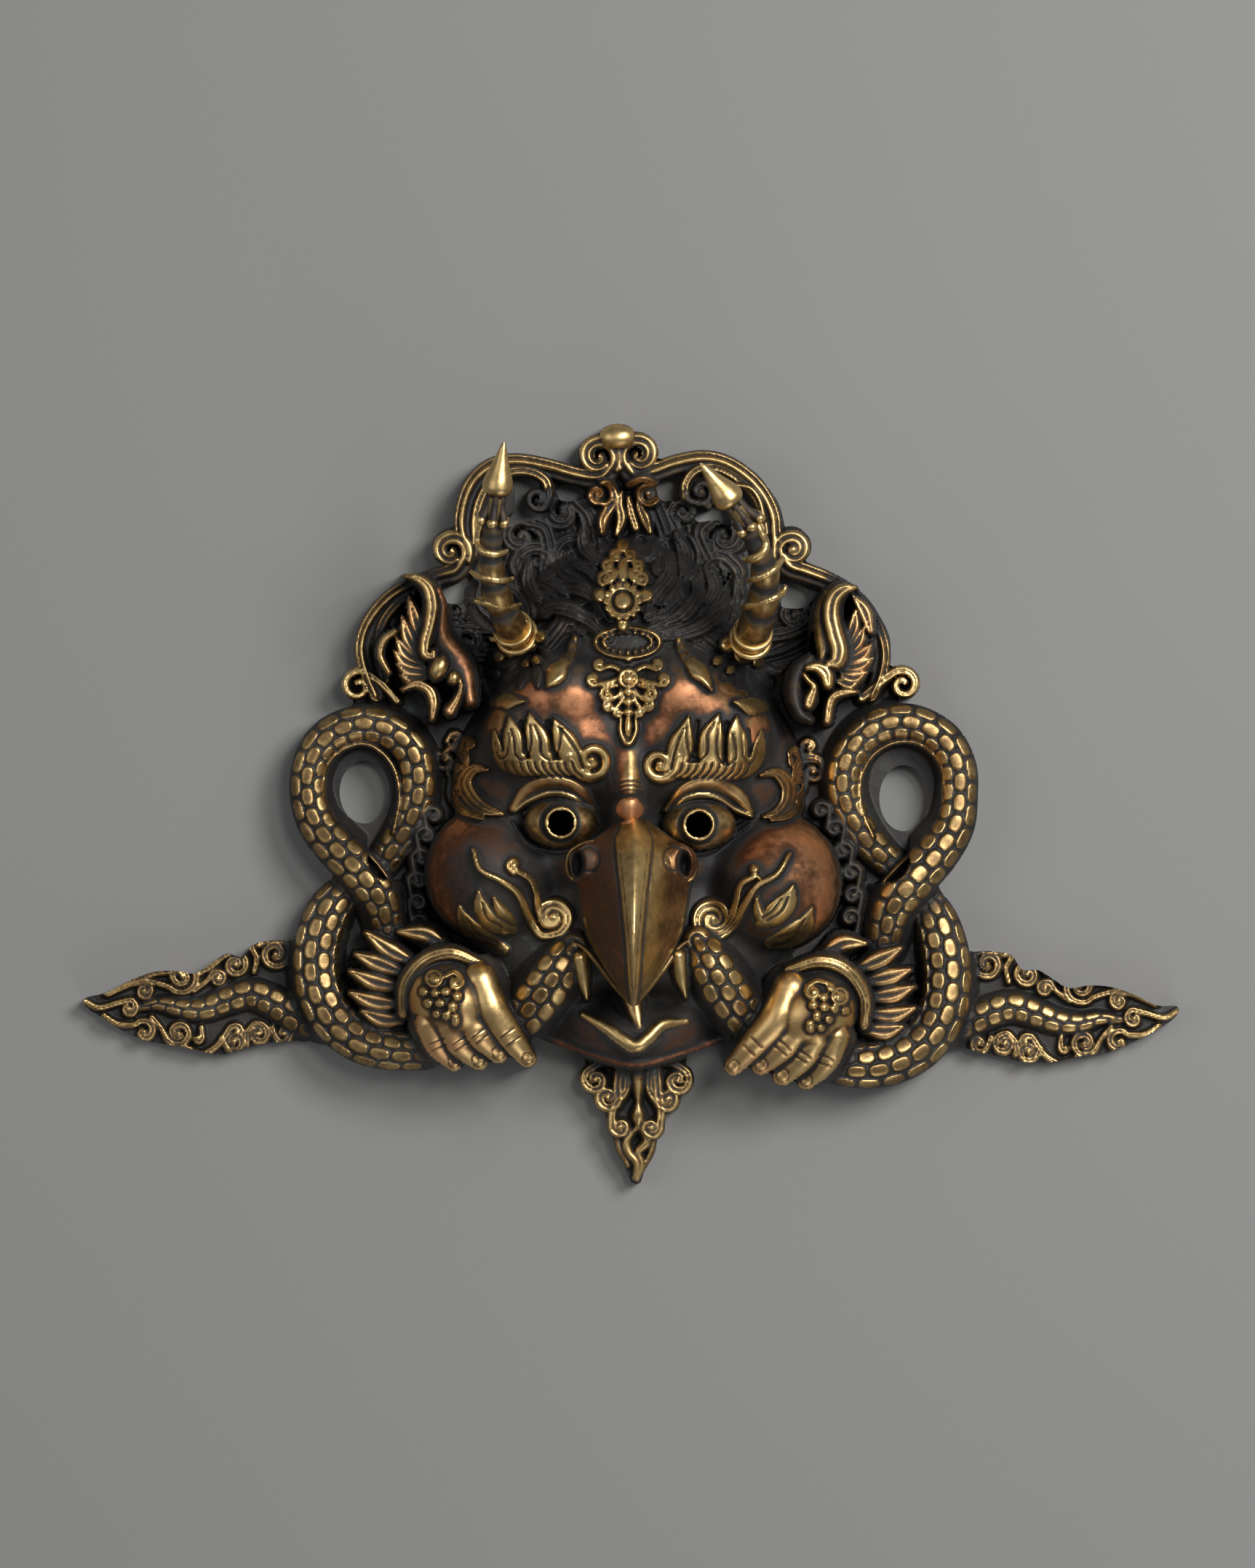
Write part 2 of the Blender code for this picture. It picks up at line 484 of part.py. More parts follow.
# Hands: palm, then fingers as x, y, half width, height.
PALMS = [(-46.5, -53.5, 12.5, 10.5, 35), (46.5, -56.0, 12.5, 10.5, 35)]
FINGERS = [
    [[(-41, -48, 3.6, 33), (-35.6, -57, 3.5, 34), (-30.5, -63, 2.9, 31), (-26.6, -67.4, 2.1, 28)],
     [(-45, -54, 3.4, 34), (-39.8, -61.4, 3.0, 33), (-35, -65.4, 2.4, 28)],
     [(-50, -56, 3.3, 33), (-44.6, -63, 2.9, 31), (-40, -67.2, 2.3, 26)],
     [(-54, -57, 3.0, 31), (-50, -63.8, 2.6, 29), (-45.6, -68.2, 2.1, 24)]],
    [[(42, -50, 3.6, 33), (37, -59, 3.5, 34), (30.5, -64.6, 2.9, 31), (26, -69.2, 2.2, 28)],
     [(46, -57, 3.4, 34), (39.6, -64.4, 3.0, 33), (34, -68.8, 2.4, 28)],
     [(50.5, -59, 3.3, 33), (44.6, -66.6, 2.9, 31), (39.4, -71.4, 2.3, 26)],
     [(54.5, -61, 3.0, 31), (50, -68, 2.6, 29), (45.4, -72.8, 2.1, 24)]],
]
CUFFS = [
    [(-59.4, -55, 1.3, 24), (-58.8, -47.5, 1.7, 27), (-54, -41.4, 1.8, 30), (-47, -39.2, 1.8, 31),
     (-39.5, -42, 1.3, 30)],
    [(60.6, -58, 1.3, 24), (60.6, -50.5, 1.7, 27), (56.4, -44, 1.8, 30), (49.5, -41.4, 1.8, 31),
     (41, -43.6, 1.3, 30)],
]
CUFF_RISE = 2.5
CUFF_LEAVES = [
    [(59, -41), (64, -38.5), (70, -34.5)], [(61, -44.5), (67, -44.5), (72, -41.5)],
    [(62, -49), (68, -49.6), (74, -47.5)], [(62, -53.5), (68, -54.6), (73.5, -53.5)],
    [(50, -39), (55, -37), (60, -36)],
]

# Mouth and jaw
LIP = [
    (-13, -54.6, 0.9, 27), (-6.5, -58.6, 1.3, 31), (1.4, -63.2, 1.7, 33), (8, -58.8, 1.3, 31),
    (15, -55.2, 0.9, 27),
]
TONGUE = [(-1.5, -48, 3.0, 27), (0.4, -53, 2.3, 29), (2.2, -58.6, 1.3, 30)]
FANGS = [
    [(-13.4, -40.5, 1.9, 37), (-12, -50.5, 0.6, 34)], [(12, -40, 1.9, 37), (14.2, -50, 0.6, 34)],
]
NOSTRILS = [(-12.6, -16.0), (12.9, -15.6)]

# Beak: middle line of its ridge (y, z), then its edge (x, y, z), from brow to tip.
BEAK_RIDGE = [
    (-4, 44), (-10, 51), (-18, 57), (-27, 61.5), (-37, 63.5), (-45.5, 61.5), (-51, 56), (-53.2, 49),
]
BEAK_EDGE = [
    (4.5, -5, 38), (10.5, -9.5, 36), (15, -14.5, 34), (15.4, -20, 33.5), (14.2, -28, 33.5),
    (12.4, -35, 34.5), (7.8, -43, 37.5), (3.4, -49.2, 42), (0.8, -52.8, 47),
]
BEAK_X = 0.6
BEAK_KEEL = 1.45

# Horns: x, y, z, radius; then the cap's base and tip.
HORNS = [
    [(-27, 41, 27, 5.2), (-30.3, 45.5, 35, 4.8), (-33.6, 50.5, 41, 4.2), (-35.8, 56, 46, 3.8),
     (-36.5, 62, 50, 3.6), (-36.6, 69, 53.5, 3.5), (-35.8, 76, 56.5, 3.3), (-35.2, 80, 58, 3.0)],
    [(29, 41.5, 27, 5.2), (31.6, 45.5, 35, 4.8), (33.8, 50, 41, 4.3), (34.6, 56, 46, 4.0),
     (34.5, 62, 50, 3.9), (32.7, 68, 53.5, 3.7), (29.4, 73.6, 56.5, 3.4), (27, 77.2, 58, 3.0)],
]
HORN_CAPS = [((-35.2, 80, 58), (-33.2, 94, 62)), ((26.8, 77.6, 58), (18, 88.5, 62))]
HORN_RINGS = (0.28, 0.44, 0.62, 0.9)
CAP_RADIUS = 4.1
CAP_SHAPE = [
    (0, 0.35), (0.04, 0.75), (0.12, 0.97), (0.25, 1), (0.45, 0.78), (0.7, 0.48), (0.9, 0.26),
    (1, 0.12),
]
RING_WIDTH = 1.0
CLAWS = [
    [(-14.5, 41, 1.3, 2.4), (-16.5, 37, 1.6, 3.0), (-19.5, 34, 2.6, 4.2), (-22, 30.4, 0.8, 2.4)],
    [(-38.5, 32, 1.3, 2.4), (-37, 27.6, 1.5, 3.0), (-32.6, 26.4, 2.5, 4.2), (-28, 26.6, 0.8, 2.4)],
    [(13, 41, 1.3, 2.4), (14.6, 37.4, 1.6, 3.0), (18, 34, 2.6, 4.2), (21, 29.6, 0.8, 2.4)],
    [(38.5, 31, 1.3, 2.4), (36.6, 26.4, 1.5, 3.0), (31.4, 26, 2.5, 4.2), (27, 26.4, 0.8, 2.4)],
]
HORN_BEADS = [
    (-27, 41.4, 1.9), (-23.8, 43.6, 1.4), (-31, 39.6, 1.7), (-34.6, 38, 1.3), (24.6, 41.2, 1.7),
    (28.8, 38.8, 2.0), (33, 37.2, 1.4),
]

# Crown jewel on the hair and the pendant under the jaw
JEWEL = (-2.4, 53.5)
FOREHEAD_RING = (-1, 41.8, 7.6, 3.6)
FOREHEAD_LEAF = [
    (-1.2, 38, 3.0, 2.2), (-1, 32, 4.6, 3.0), (-1, 26, 3.4, 2.6), (-1, 20, 1.5, 2.2),
    (-1, 16.4, 1.7, 2.4),
]
PENDANT = [
    (-10, -60), (-11.8, -69.6), (-9.6, -74), (-7.2, -77.6), (-6.6, -82), (-4.8, -86.6),
    (-3.8, -90.6), (-1.4, -95.4), (0, -98.9), (2.4, -98.9), (3.6, -95), (5.8, -90.4), (6.6, -87),
    (8.8, -82), (9.9, -77.6), (13.6, -73), (14.2, -69.4), (12, -60),
]
PENDANT_STROKES = [
    [(-10, -68.6, 1.2, 10), (-11, -71.6, 1.0, 9.6), (-9.2, -73.4, 0.9, 9), (-8.2, -71.8, 0.8, 9)],
    [(12, -68.6, 1.2, 10), (13.6, -71.6, 1.0, 9.6), (12.2, -74, 0.9, 9), (10.8, -72.4, 0.8, 9)],
    [(-5, -70, 1.2, 10.4), (-6, -74.5, 1.2, 9.6), (-5.2, -78, 1.0, 9), (-7.2, -76.4, 0.8, 8.6)],
    [(7, -70, 1.2, 10.4), (8, -73.5, 1.2, 9.6), (8.4, -77.8, 1.0, 9), (10.2, -76, 0.8, 8.6)],
    [(1.6, -69, 1.9, 11.6), (1.8, -75, 1.5, 11), (1.8, -81.6, 1.7, 10.4)],
    [(-1.8, -71, 0.9, 10), (-1.8, -77, 0.9, 9.4), (-6.2, -81.6, 1.0, 9), (-5, -85.8, 1.0, 8.6),
     (-2, -85.4, 0.9, 8.4)],
    [(4.8, -71, 0.9, 10), (5, -77, 0.9, 9.4), (8.6, -81.6, 1.0, 9), (7.4, -85.8, 1.0, 8.6),
     (4.2, -85, 0.9, 8.4)],
    [(1, -86, 1.1, 8.8), (0.8, -90, 1.2, 8.6), (3, -93.8, 1.2, 8.4), (1.6, -97.6, 1.0, 8)],
]


def lay_ground(relief):
    """The plate that everything stands on, and the head's swelling form."""
    plate = units(PLATE_THICKNESS)
    right = sided(1, GROUND_HALF)
    relief.plate(right + sided(-1, GROUND_HALF)[::-1], plate)
    for outline in TAIL_PLATES:
        relief.plate(outline, units(TAIL_THICKNESS))
    relief.plate(PENDANT, plate)
    for x, y, rx, ry, low, high, power in HEAD_MOUNDS:
        relief.mound(x, y, rx, ry, plate if low is None else low, high, power)
    for side in (-1, 1):
        for x, y, rx, ry, low, high in BROW_MOUNDS:
            relief.mound(middle(y) + side * x, y, rx, ry, low, high)
    for x, y, rx, ry in CHEEKS:
        relief.mound(x, y, rx, ry, *CHEEK_HEIGHTS, blend=1.5)


def lay_face(relief):
    """Sockets, eyes, lids, brows, bridge, cheeks' ornaments and the mouth."""
    for side, (x, y) in zip((-1, 1), EYES):
        relief.dent(x, y + 0.5, 14, 9.5, 7, -side * 8)
        relief.dent(x - side * 10, y + 1, 6, 9, 4)
    relief.body = relief.z.copy()
    relief.stroke(BRIDGE)
    for side, (x, y) in zip((-1, 1), EYES):
        half_x, half_y, rim, bulge = EYEBALL
        ball = relief.window((x - half_x, y - half_x), (x + half_x, y + half_x))
        away = np.hypot((relief.X[ball] - x) / half_x, (relief.Y[ball] - y) / half_y)
        height = rim + bulge * np.sqrt(np.clip(1 - away**2, 0, 1))
        relief.raise_to(ball, np.where(away < 1, height, NO_METAL))
        for fold in (UPPER_LID, LOWER_LID):
            relief.stroke([(x + side * dx, y + dy, *rest) for dx, dy, *rest in fold])
        radius, half, lift = PUPIL_RING
        relief.stroke(oval(x, y, radius, radius, 17, (half, lift)))
        relief.stroke([(x + side * dx, y + dy, *rest) for dx, dy, *rest in EYE_FOLD])
    for side in (-1, 1):
        for flame in FLAMES:
            relief.stroke(sided(side, widths(flame, 2.6, 1.7, 0.7, 2.6)), depth=1.8, section=flat_section)
        base = [(10, 9.5, 1.6, 2.6), (17, 8.4, 2.6, 2.8), (25, 8, 2.8, 2.8), (33, 10, 1.4, 2.2)]
        relief.stroke(sided(side, base), depth=1.8, section=flat_section)
        centre, radius, start, turns = BROW_CURL
        relief.stroke(sided(side, scroll(centre, radius, start, turns, (0.9, 2.2))))
        relief.stroke(sided(side, MOUSTACHE + scroll((21, -30.5), 3.9, -30, -1.3, (1.3, 2.4))[1:]))
        relief.stroke(sided(side, MOUSTACHE_INNER))
        relief.stroke(sided(side, scroll((31.6, -17), 1.6, 200, 1.0, (0.8, 1.6))))
        for flame in CHEEK_FLAMES:
            relief.stroke(sided(side, widths(flame, 0.8, 2.0, 0.9, 1.8)), depth=1.4)
        relief.stroke(sided(side, LOWER_EARS))
        relief.stroke(sided(side, EAR_CRESTS))
    relief.dent(0.8, -53, 12, 6, 9)
    relief.stroke(LIP, on_body=False)
    relief.stroke(TONGUE, on_body=False)
    for fang in FANGS:
        relief.stroke(fang, on_body=False)
    for x, y in NOSTRILS:
        relief.mound(x * 0.86, y, 6.4, 6.8, 30, 46.5, 0.5, blend=1.0)
        relief.dent(x * 1.02, y - 0.4, 2.0, 3.6, 12)


def lay_hair(relief):
    """Locks with curled ends, the crown jewel, the forehead leaf and the claws at the horns' roots."""
    for side in (-1, 1):
        for root, centre, radius, sense in LOCKS:
            first = math.degrees(math.atan2(root[-1][1] - centre[1], root[-1][0] - centre[0]))
            curl = scroll(centre, radius, first, sense * 1.2, (1.2, 3.2))
            relief.stroke(sided(side, widths(root, 2.6, 2.4, 1.6, 3.0) + curl[1:]), section=reeded_section)
    x, y = JEWEL
    relief.mound(x, y, 5.2, 5.2, 18, relief_height(relief, x, y) + 4.5, 0.5, blend=1.0)
    relief.stroke([(x, y + 3, 4.2, 3.4), (x, y + 9, 3.6, 3.2), (x, y + 16, 1.2, 2.6)], depth=2.6)
    relief.stroke([(x, y, 1.8, 6.5), (x, y - 0.3, 1.8, 6.5)])
    relief.stroke(FOREHEAD_LEAF, depth=2.2)
    relief.stroke(oval(*FOREHEAD_RING, 15, (0.9, 1.8)))
    for claw in CLAWS:
        relief.stroke(claw)
    for x, y, radius in HORN_BEADS:
        relief.stroke([(x - 0.2, y, radius, 3.6), (x + 0.2, y, radius, 3.6)])


def lay_frame(relief):
    """The pierced double arches with their scrolls, and the knob at the top."""
    for points, half, crest in ARCHES:
        rows = [(x, y, half, crest) for x, y in points]
        relief.stroke(rows, depth=4.0, section=reeded_section, on_body=False)
    for centre, radius, start, turns in ARCH_SCROLLS:
        relief.stroke(scroll(centre, radius, start, turns, (1.35, 12.5)), depth=3.0, on_body=False)
    for stem in SCROLL_STEMS:
        relief.stroke([(x, y, 1.5, 12.0) for x, y in stem], depth=3.0, on_body=False)
    x, y, rx, ry = CROWN_KNOB
    relief.mound(x, y, rx, ry, 6, 15, 0.5, blend=1.0)
    rho = np.hypot((relief.X - x) / rx, (relief.Y - y) / ry)
    relief.edge = np.maximum(relief.edge, (1 - rho) * ry)


def lay_serpents(relief):
    """Looped and coiled serpents, and the tails with their flame scrolls."""
    for side, tail in zip((-1, 1), TAILS):
        for x, y, radius, start, turns, root in TAIL_SCROLLS:
            drop = TAIL_RISE * (side < 0)
            curl = scroll((x, y + drop), radius, start, turns, (0.95, 7.2))
            path = [(root[0], root[1] + drop, 0.8, 6.6)] + curl
            if side < 0:
                path = [(-a, *rest) for a, *rest in path]
            relief.stroke(path, depth=2.2, on_body=False, cuts=False)
        relief.stroke(tail, on_body=False)
    for coil in COILS:
        relief.stroke(coil, on_body=False)
    for loop in LOOPS:
        relief.stroke(loop, on_body=False)


def lay_hands(relief):
    """Hands that grip the serpents, their cuffs and leaves, and the serpents' necks at the beak."""
    for neck in NECKS:
        relief.stroke(neck, on_body=False)
    for side, cuff in zip((-1, 1), CUFFS):
        for leaf in CUFF_LEAVES:
            row = [(side * x - (side < 0), y + CUFF_RISE * (side < 0)) for x, y in leaf]
            relief.stroke(widths(row, 1.4, 2.0, 0.8, 20), depth=2.4, on_body=False)
        relief.stroke(cuff, on_body=False)
    for (x, y, rx, ry, high), fingers in zip(PALMS, FINGERS):
        relief.mound(x, y, rx, ry, 14, high, 0.5, turn=-40 if x < 0 else 40, blend=1.0)
        for finger in fingers:
            relief.stroke(finger, on_body=False)


def lay_tall_ears(relief):
    for rim, shell, root, lobes in zip(EAR_RIMS, EAR_SHELLS, EAR_ROOTS, EAR_LOBES):
        relief.stroke(shell, depth=3.0, on_body=False)
        for x, y in lobes:
            middle_point = ((x + root[0]) / 2, (y + root[1]) / 2 + 0.6)
            rows = [(*root, 1.0, 20), (*middle_point, 1.7, 21), (x, y, 1.0, 20)]
            relief.stroke(rows, depth=2.0, on_body=False)
        relief.stroke(rim, depth=2.4, on_body=False)
    for x, y, radius, height in EAR_KNOBS:
        relief.stroke([(x, y - 0.5, radius, height), (x, y + 0.5, radius, height)], on_body=False)


def lay_pendant(relief):
    for stroke in PENDANT_STROKES:
        relief.stroke(stroke, depth=2.6, on_body=False, blend=0.4)


def relief_height(relief, x, y):
    i, j = int((x + BOARD_X) / relief.cell), int((y + BOARD_Y) / relief.cell)
    return relief.z[i, j]


def carve_relief():
    relief = Relief(units(GRID_CELL))
    lay_ground(relief)
    for outline in OPENINGS:
        relief.opening(outline)
    lay_face(relief)
    lay_frame(relief)
    lay_hair(relief)
    lay_tall_ears(relief)
    lay_serpents(relief)
    lay_hands(relief)
    lay_pendant(relief)
    for x, y, rx, ry in LOOP_EYES:
        relief.round_opening(x, y, rx, ry)
    for x, y in EYES:
        relief.round_opening(x, y, units(PUPIL_RADIUS), units(PUPIL_RADIUS))
    return relief


# Swept solids

def sweep(rows, sides=12):
    """Points and faces of a closed round tube through rows of (x, y, z, radius)."""
    centres, radii = rows[:, :3], rows[:, 3]
    tangents = np.gradient(centres, axis=0)
    tangents /= np.linalg.norm(tangents, axis=1)[:, None]
    across = np.cross(tangents, (0.0, 0.0, 1.0))
    across /= np.maximum(np.linalg.norm(across, axis=1), 1e-6)[:, None]
    up = np.cross(across, tangents)
    angles = np.linspace(0, 2 * math.pi, sides, endpoint=False)
    rings = (
        centres[:, None]
        + radii[:, None, None]
        * (np.cos(angles)[:, None] * across[:, None] + np.sin(angles)[:, None] * up[:, None])
    )
    points = np.vstack([rings.reshape(-1, 3), centres[:1], centres[-1:]])
    faces = []
    for i in range(len(rows) - 1):
        for j in range(sides):
            k = (j + 1) % sides
            faces.append((i * sides + j, i * sides + k, (i + 1) * sides + k, (i + 1) * sides + j))
    last = len(rows) * sides
    for j in range(sides):
        k = (j + 1) % sides
        faces.append((last, k, j))
        faces.append((last + 1, last - sides + j, last - sides + k))
    return points, faces


def horn_solids():
    """Each horn's stem, the wire wound round it, and its pointed cap."""
    solids = []
    for rows, (base, tip) in zip(HORNS, HORN_CAPS):
        stem = smooth_path(rows, 1.5)
        solids.append(sweep(stem))
        for share in HORN_RINGS:
            i = int(share * (len(stem) - 1))
            ring = np.array([stem[i - 1], stem[i], stem[i + 1]])
            spokes = ring[:, :3] - stem[i, :3]
            ring[:, :3] = stem[i, :3] + spokes * RING_WIDTH / np.linalg.norm(spokes[2])
            ring[:, 3] = stem[i, 3] + RING_WIDTH
            solids.append(sweep(ring))
        base, tip = np.array(base, float), np.array(tip, float)
        shares, swell = np.array(CAP_SHAPE).T
        solids.append(sweep(np.column_stack([base + (tip - base) * shares[:, None], swell * CAP_RADIUS])))
    return solids


def beak_solid(rows=28, across=20):
    """The hooked upper beak, lofted from its ridge to its two edges and closed below."""
    ridge, edge = smooth_path(BEAK_RIDGE, 0.4), smooth_path(BEAK_EDGE, 0.4)
    ridge = ridge[np.linspace(0, len(ridge) - 1, rows).astype(int)]
    edge = edge[np.linspace(0, len(edge) - 1, rows).astype(int)]
    turn = np.linspace(-math.pi / 2, math.pi / 2, across + 1)
    points = []
    for (ry, rz), (ex, ey, ez) in zip(ridge, edge):
        for a in turn:
            share = 1 - abs(math.sin(a)) ** BEAK_KEEL
            points.append((BEAK_X + ex * math.sin(a), ey + (ry - ey) * share, ez + (rz - ez) * share))
        for a in turn[-2:0:-1]:
            share = 0.25 * math.cos(a)
            points.append((BEAK_X + ex * math.sin(a), ey + (ry - ey) * share, ez + (rz - ez) * share))
    around = 2 * across
    faces = [
        (i * around + j, i * around + (j + 1) % around,
         (i + 1) * around + (j + 1) % around, (i + 1) * around + j)
        for i in range(rows - 1)
        for j in range(around)
    ]
    first, last = len(points), len(points) + 1
    points.append(tuple(np.mean(points[:around], axis=0)))
    points.append(tuple(np.mean(points[-around - 1 : -1], axis=0)))
    for j in range(around):
        k = (j + 1) % around
        faces.append((first, k, j))
        faces.append((last, (rows - 1) * around + j, (rows - 1) * around + k))
    return np.array(points), faces


# Object

def as_seen(points):
    """Board points moved to where they really are, for what the eye above sees at the drawn places."""
    near = (EYE[2] - points[:, 2:]) / EYE[2]
    return np.column_stack([EYE[:2] + (points[:, :2] - EYE[:2]) * near, points[:, 2]])


def make_mesh(name, points, faces):
    mesh = bpy.data.meshes.new(name)
    mesh.from_pydata([tuple(p) for p in as_seen(points) * UNIT], [], [tuple(map(int, f)) for f in faces])
    mesh.update()
    return mesh


def facing_out(points, faces):
    """The faces, turned round where a solid is inside out."""
    volume = 0.0
    for face in faces:
        for k in range(1, len(face) - 1):
            volume += np.dot(points[face[0]], np.cross(points[face[k]], points[face[k + 1]]))
    return [tuple(face[::-1]) for face in faces] if volume < 0 else faces


def patinated_brass():
    material = bpy.data.materials.new("cast_copper_alloy")
    material.use_nodes = True
    shader = material.node_tree.nodes["Principled BSDF"]
    shader.inputs["Base Color"].default_value = BRASS
    shader.inputs["Metallic"].default_value = 1.0
    shader.inputs["Roughness"].default_value = 0.42
    return material


def joined(solids):
    points, faces, count = [], [], 0
    for corners, sides in solids:
        sides = facing_out(corners, sides)
        faces += [tuple(int(k) + count for k in face) for face in sides]
        points.append(corners)
        count += len(corners)
    return np.vstack(points), faces


def evaluated_mesh(obj):
    bpy.context.view_layer.update()
    graph = bpy.context.evaluated_depsgraph_get()
    return bpy.data.meshes.new_from_object(obj.evaluated_get(graph))


def level_back(mesh, within):
    """Lays every point that is this near the lowest one on a single flat plane, at height 0."""
    corners = np.array([v.co for v in mesh.vertices])
    corners[:, 2] -= corners[:, 2].min()
    corners[corners[:, 2] < within, 2] = 0
    mesh.vertices.foreach_set("co", corners.ravel())
    return corners


def build_mask():
    """Fuses the relief, horns and beak, thins the mesh out, and centres it on its own footprint."""
    relief = carve_relief()
    back = relief.underside(units(WALL), units(HOLLOW_HALF_WIDTH), units(HOLLOW_HALF_LENGTH))
    points, faces = joined([relief.solid(back), beak_solid(), *horn_solids()])
    mask = bpy.data.objects.new("garuda_mask", make_mesh("garuda_mask", points, faces))
    bpy.context.scene.collection.objects.link(mask)
    fuse = mask.modifiers.new("fuse", "REMESH")
    fuse.mode = "VOXEL"
    fuse.voxel_size = VOXEL
    mask.data = evaluated_mesh(mask)
    mask.modifiers.clear()
    level_back(mask.data, LEVEL_FIRST * VOXEL)
    thin = mask.modifiers.new("thin", "DECIMATE")
    thin.ratio = TRIANGLES / (2 * len(mask.data.polygons))
    mask.data = evaluated_mesh(mask)
    mask.modifiers.clear()
    corners = level_back(mask.data, LEVEL_LAST * VOXEL)
    low, high = corners.min(0), corners.max(0)
    corners -= ((low[0] + high[0]) / 2, (low[1] + high[1]) / 2, 0)
    mask.data.vertices.foreach_set("co", corners.ravel())
    mask.data.materials.clear()
    mask.data.materials.append(patinated_brass())
    mask.data.shade_smooth()
    mask.data.set_sharp_from_angle(angle=math.radians(CREASE))


for old in list(bpy.data.objects):
    bpy.data.objects.remove(old)
build_mask()
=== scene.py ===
"""Looks of the garuda mask: the casting's fine relief, its rubbed patina with some painted shade and painted
highlights, the floor, lights and camera.

The front is a fine height map, made by laying rounded strokes on a ground plate as a modeller lays
rolls of wax. Beak and horns stand clear of it and are swept meshes. Board units are millimetres.
"""

import math

import bpy
import numpy as np
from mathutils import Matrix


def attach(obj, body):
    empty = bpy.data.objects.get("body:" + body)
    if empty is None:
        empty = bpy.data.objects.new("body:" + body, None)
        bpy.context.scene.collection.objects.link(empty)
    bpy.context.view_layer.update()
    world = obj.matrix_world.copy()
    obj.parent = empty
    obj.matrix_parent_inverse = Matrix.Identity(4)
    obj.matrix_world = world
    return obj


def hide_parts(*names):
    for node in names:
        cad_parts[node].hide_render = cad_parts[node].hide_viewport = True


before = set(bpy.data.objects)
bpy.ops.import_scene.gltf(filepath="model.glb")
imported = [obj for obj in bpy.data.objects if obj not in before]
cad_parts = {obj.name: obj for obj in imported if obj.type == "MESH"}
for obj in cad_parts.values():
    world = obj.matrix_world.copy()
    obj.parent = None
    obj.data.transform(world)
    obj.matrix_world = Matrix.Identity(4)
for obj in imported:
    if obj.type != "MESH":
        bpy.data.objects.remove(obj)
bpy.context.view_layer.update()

UNIT = 0.001
# Grid of the front and of the back, and half the board.
CELL = 0.36
BACK_CELL = 0.72
BOARD_X = 147.0
BOARD_Y = 103.0
# The camera over the board, and how much of the board it takes in.
EYE = np.array((-1.0, 4.9, 1300.0))
VIEW_HEIGHT_MM = 408.6
# Ground plates, the wall over the hollow back, and the height that stands for no metal.
PLATE = 6.0
TAIL_PLATE = 4.5
WALL = 3.2
NO_METAL = -20.0
# How steeply a stroke's foot falls away, and how softly strokes run together.
DRAFT = 3.0
BLEND = 0.5
HEAD_CENTRE = (-0.5, -13.0)
HOLLOW_HALF = (44.0, 50.0)
# The middle line of the face leans a little.
LEAN = -0.03
MIDDLE = -0.4
PIECES = 3
POINTS_A_TURN = 16

# How much metal shows through the patina, and how red that metal is. The darker skin finish also serves as
# painted shade.
FINISHES = {
    "ground": (0.08, 0.25),
    "hair": (0.06, 0.12),
    "bronze": (0.34, 0.25),
    "brass": (0.60, 0.08),
    "gold": (0.95, 0.0),
    "scale": (0.37, 0.18),
    "skin": (0.45, 0.74),
    "brow": (0.74, 0.95),
    "salmon": (0.71, 0.82),
    "tail": (0.42, 0.18),
    "hand": (0.84, 0.40),
    "leaf": (0.44, 0.42),
    "flame": (0.62, 0.2),
    "ear": (0.30, 0.70),
    "lid": (0.48, 0.42),
    # Darker copper skin; on the left cheek it is painted shade.
    "dark_skin_and_shade": (0.22, 0.85),
    "grey_skin": (0.16, 0.30),
    "dark": (0.0, 0.0),
}


# Paths and outlines

def spline(p, step):
    """A Catmull-Rom curve from the second point to the last but one; every column is interpolated."""
    rows = []
    for a, b, c, d in zip(p, p[1:], p[2:], p[3:]):
        count = max(2, int(math.dist(b[:2], c[:2]) / step))
        t = np.arange(count)[:, None] / count
        rows.append(
            0.5 * (2 * b + (c - a) * t + (2 * a - 5 * b + 4 * c - d) * t**2 + (3 * b - a - 3 * c + d) * t**3)
        )
    rows.append(p[-2:-1])
    return np.vstack(rows)


def smooth_path(points, step=0.5):
    p = np.asarray(points, float)
    return spline(np.vstack([2 * p[0] - p[1], p, 2 * p[-1] - p[-2]]), step)


def smooth_loop(points, step=1.5):
    p = np.asarray(points, float)
    return spline(np.vstack([p[-1:], p, p[:2]]), step)


def spiral(centre, start, turns, inner=0.25):
    """Points that wind in to centre from the point start; turns above 0 run anticlockwise."""
    dx, dy = start[0] - centre[0], start[1] - centre[1]
    radius, angle = math.hypot(dx, dy), math.atan2(dy, dx)
    count = max(5, int(abs(turns) * POINTS_A_TURN))
    rows = []
    for i in range(1, count + 1):
        share = i / count
        r = radius * (1 - (1 - inner) * share)
        a = angle + 2 * math.pi * turns * share
        rows.append((centre[0] + r * math.cos(a), centre[1] + r * math.sin(a)))
    return rows


def tapered(points, halves, lift):
    """Rows of x, y, half width and lift; halves are the half widths at the start, middle and end."""
    points = list(points)
    rows = []
    for i, (x, y) in enumerate(points):
        t = i / (len(points) - 1)
        rows.append((x, y, float(np.interp(t, (0, 0.5, 1), halves)), lift))
    return rows


def beside(points):
    """The points, each with the direction across the line there."""
    p = np.asarray(points, float)
    along = np.gradient(p, axis=0)
    along /= np.linalg.norm(along, axis=1)[:, None]
    return [(x, y, -dy, dx) for (x, y), (dx, dy) in zip(p, along)]


def middle(y):
    return MIDDLE + LEAN * y


def sided(side, points):
    """Right-hand points on either side of the leaning middle line; extra columns stay."""
    return [(middle(y) + side * x, y, *rest) for x, y, *rest in points]


def arc(x, y, rx, ry, start, end, count=13):
    """Points of an oval arc, in degrees."""
    angles = np.radians(np.linspace(start, end, count))
    return [(x + rx * math.cos(a), y + ry * math.sin(a)) for a in angles]


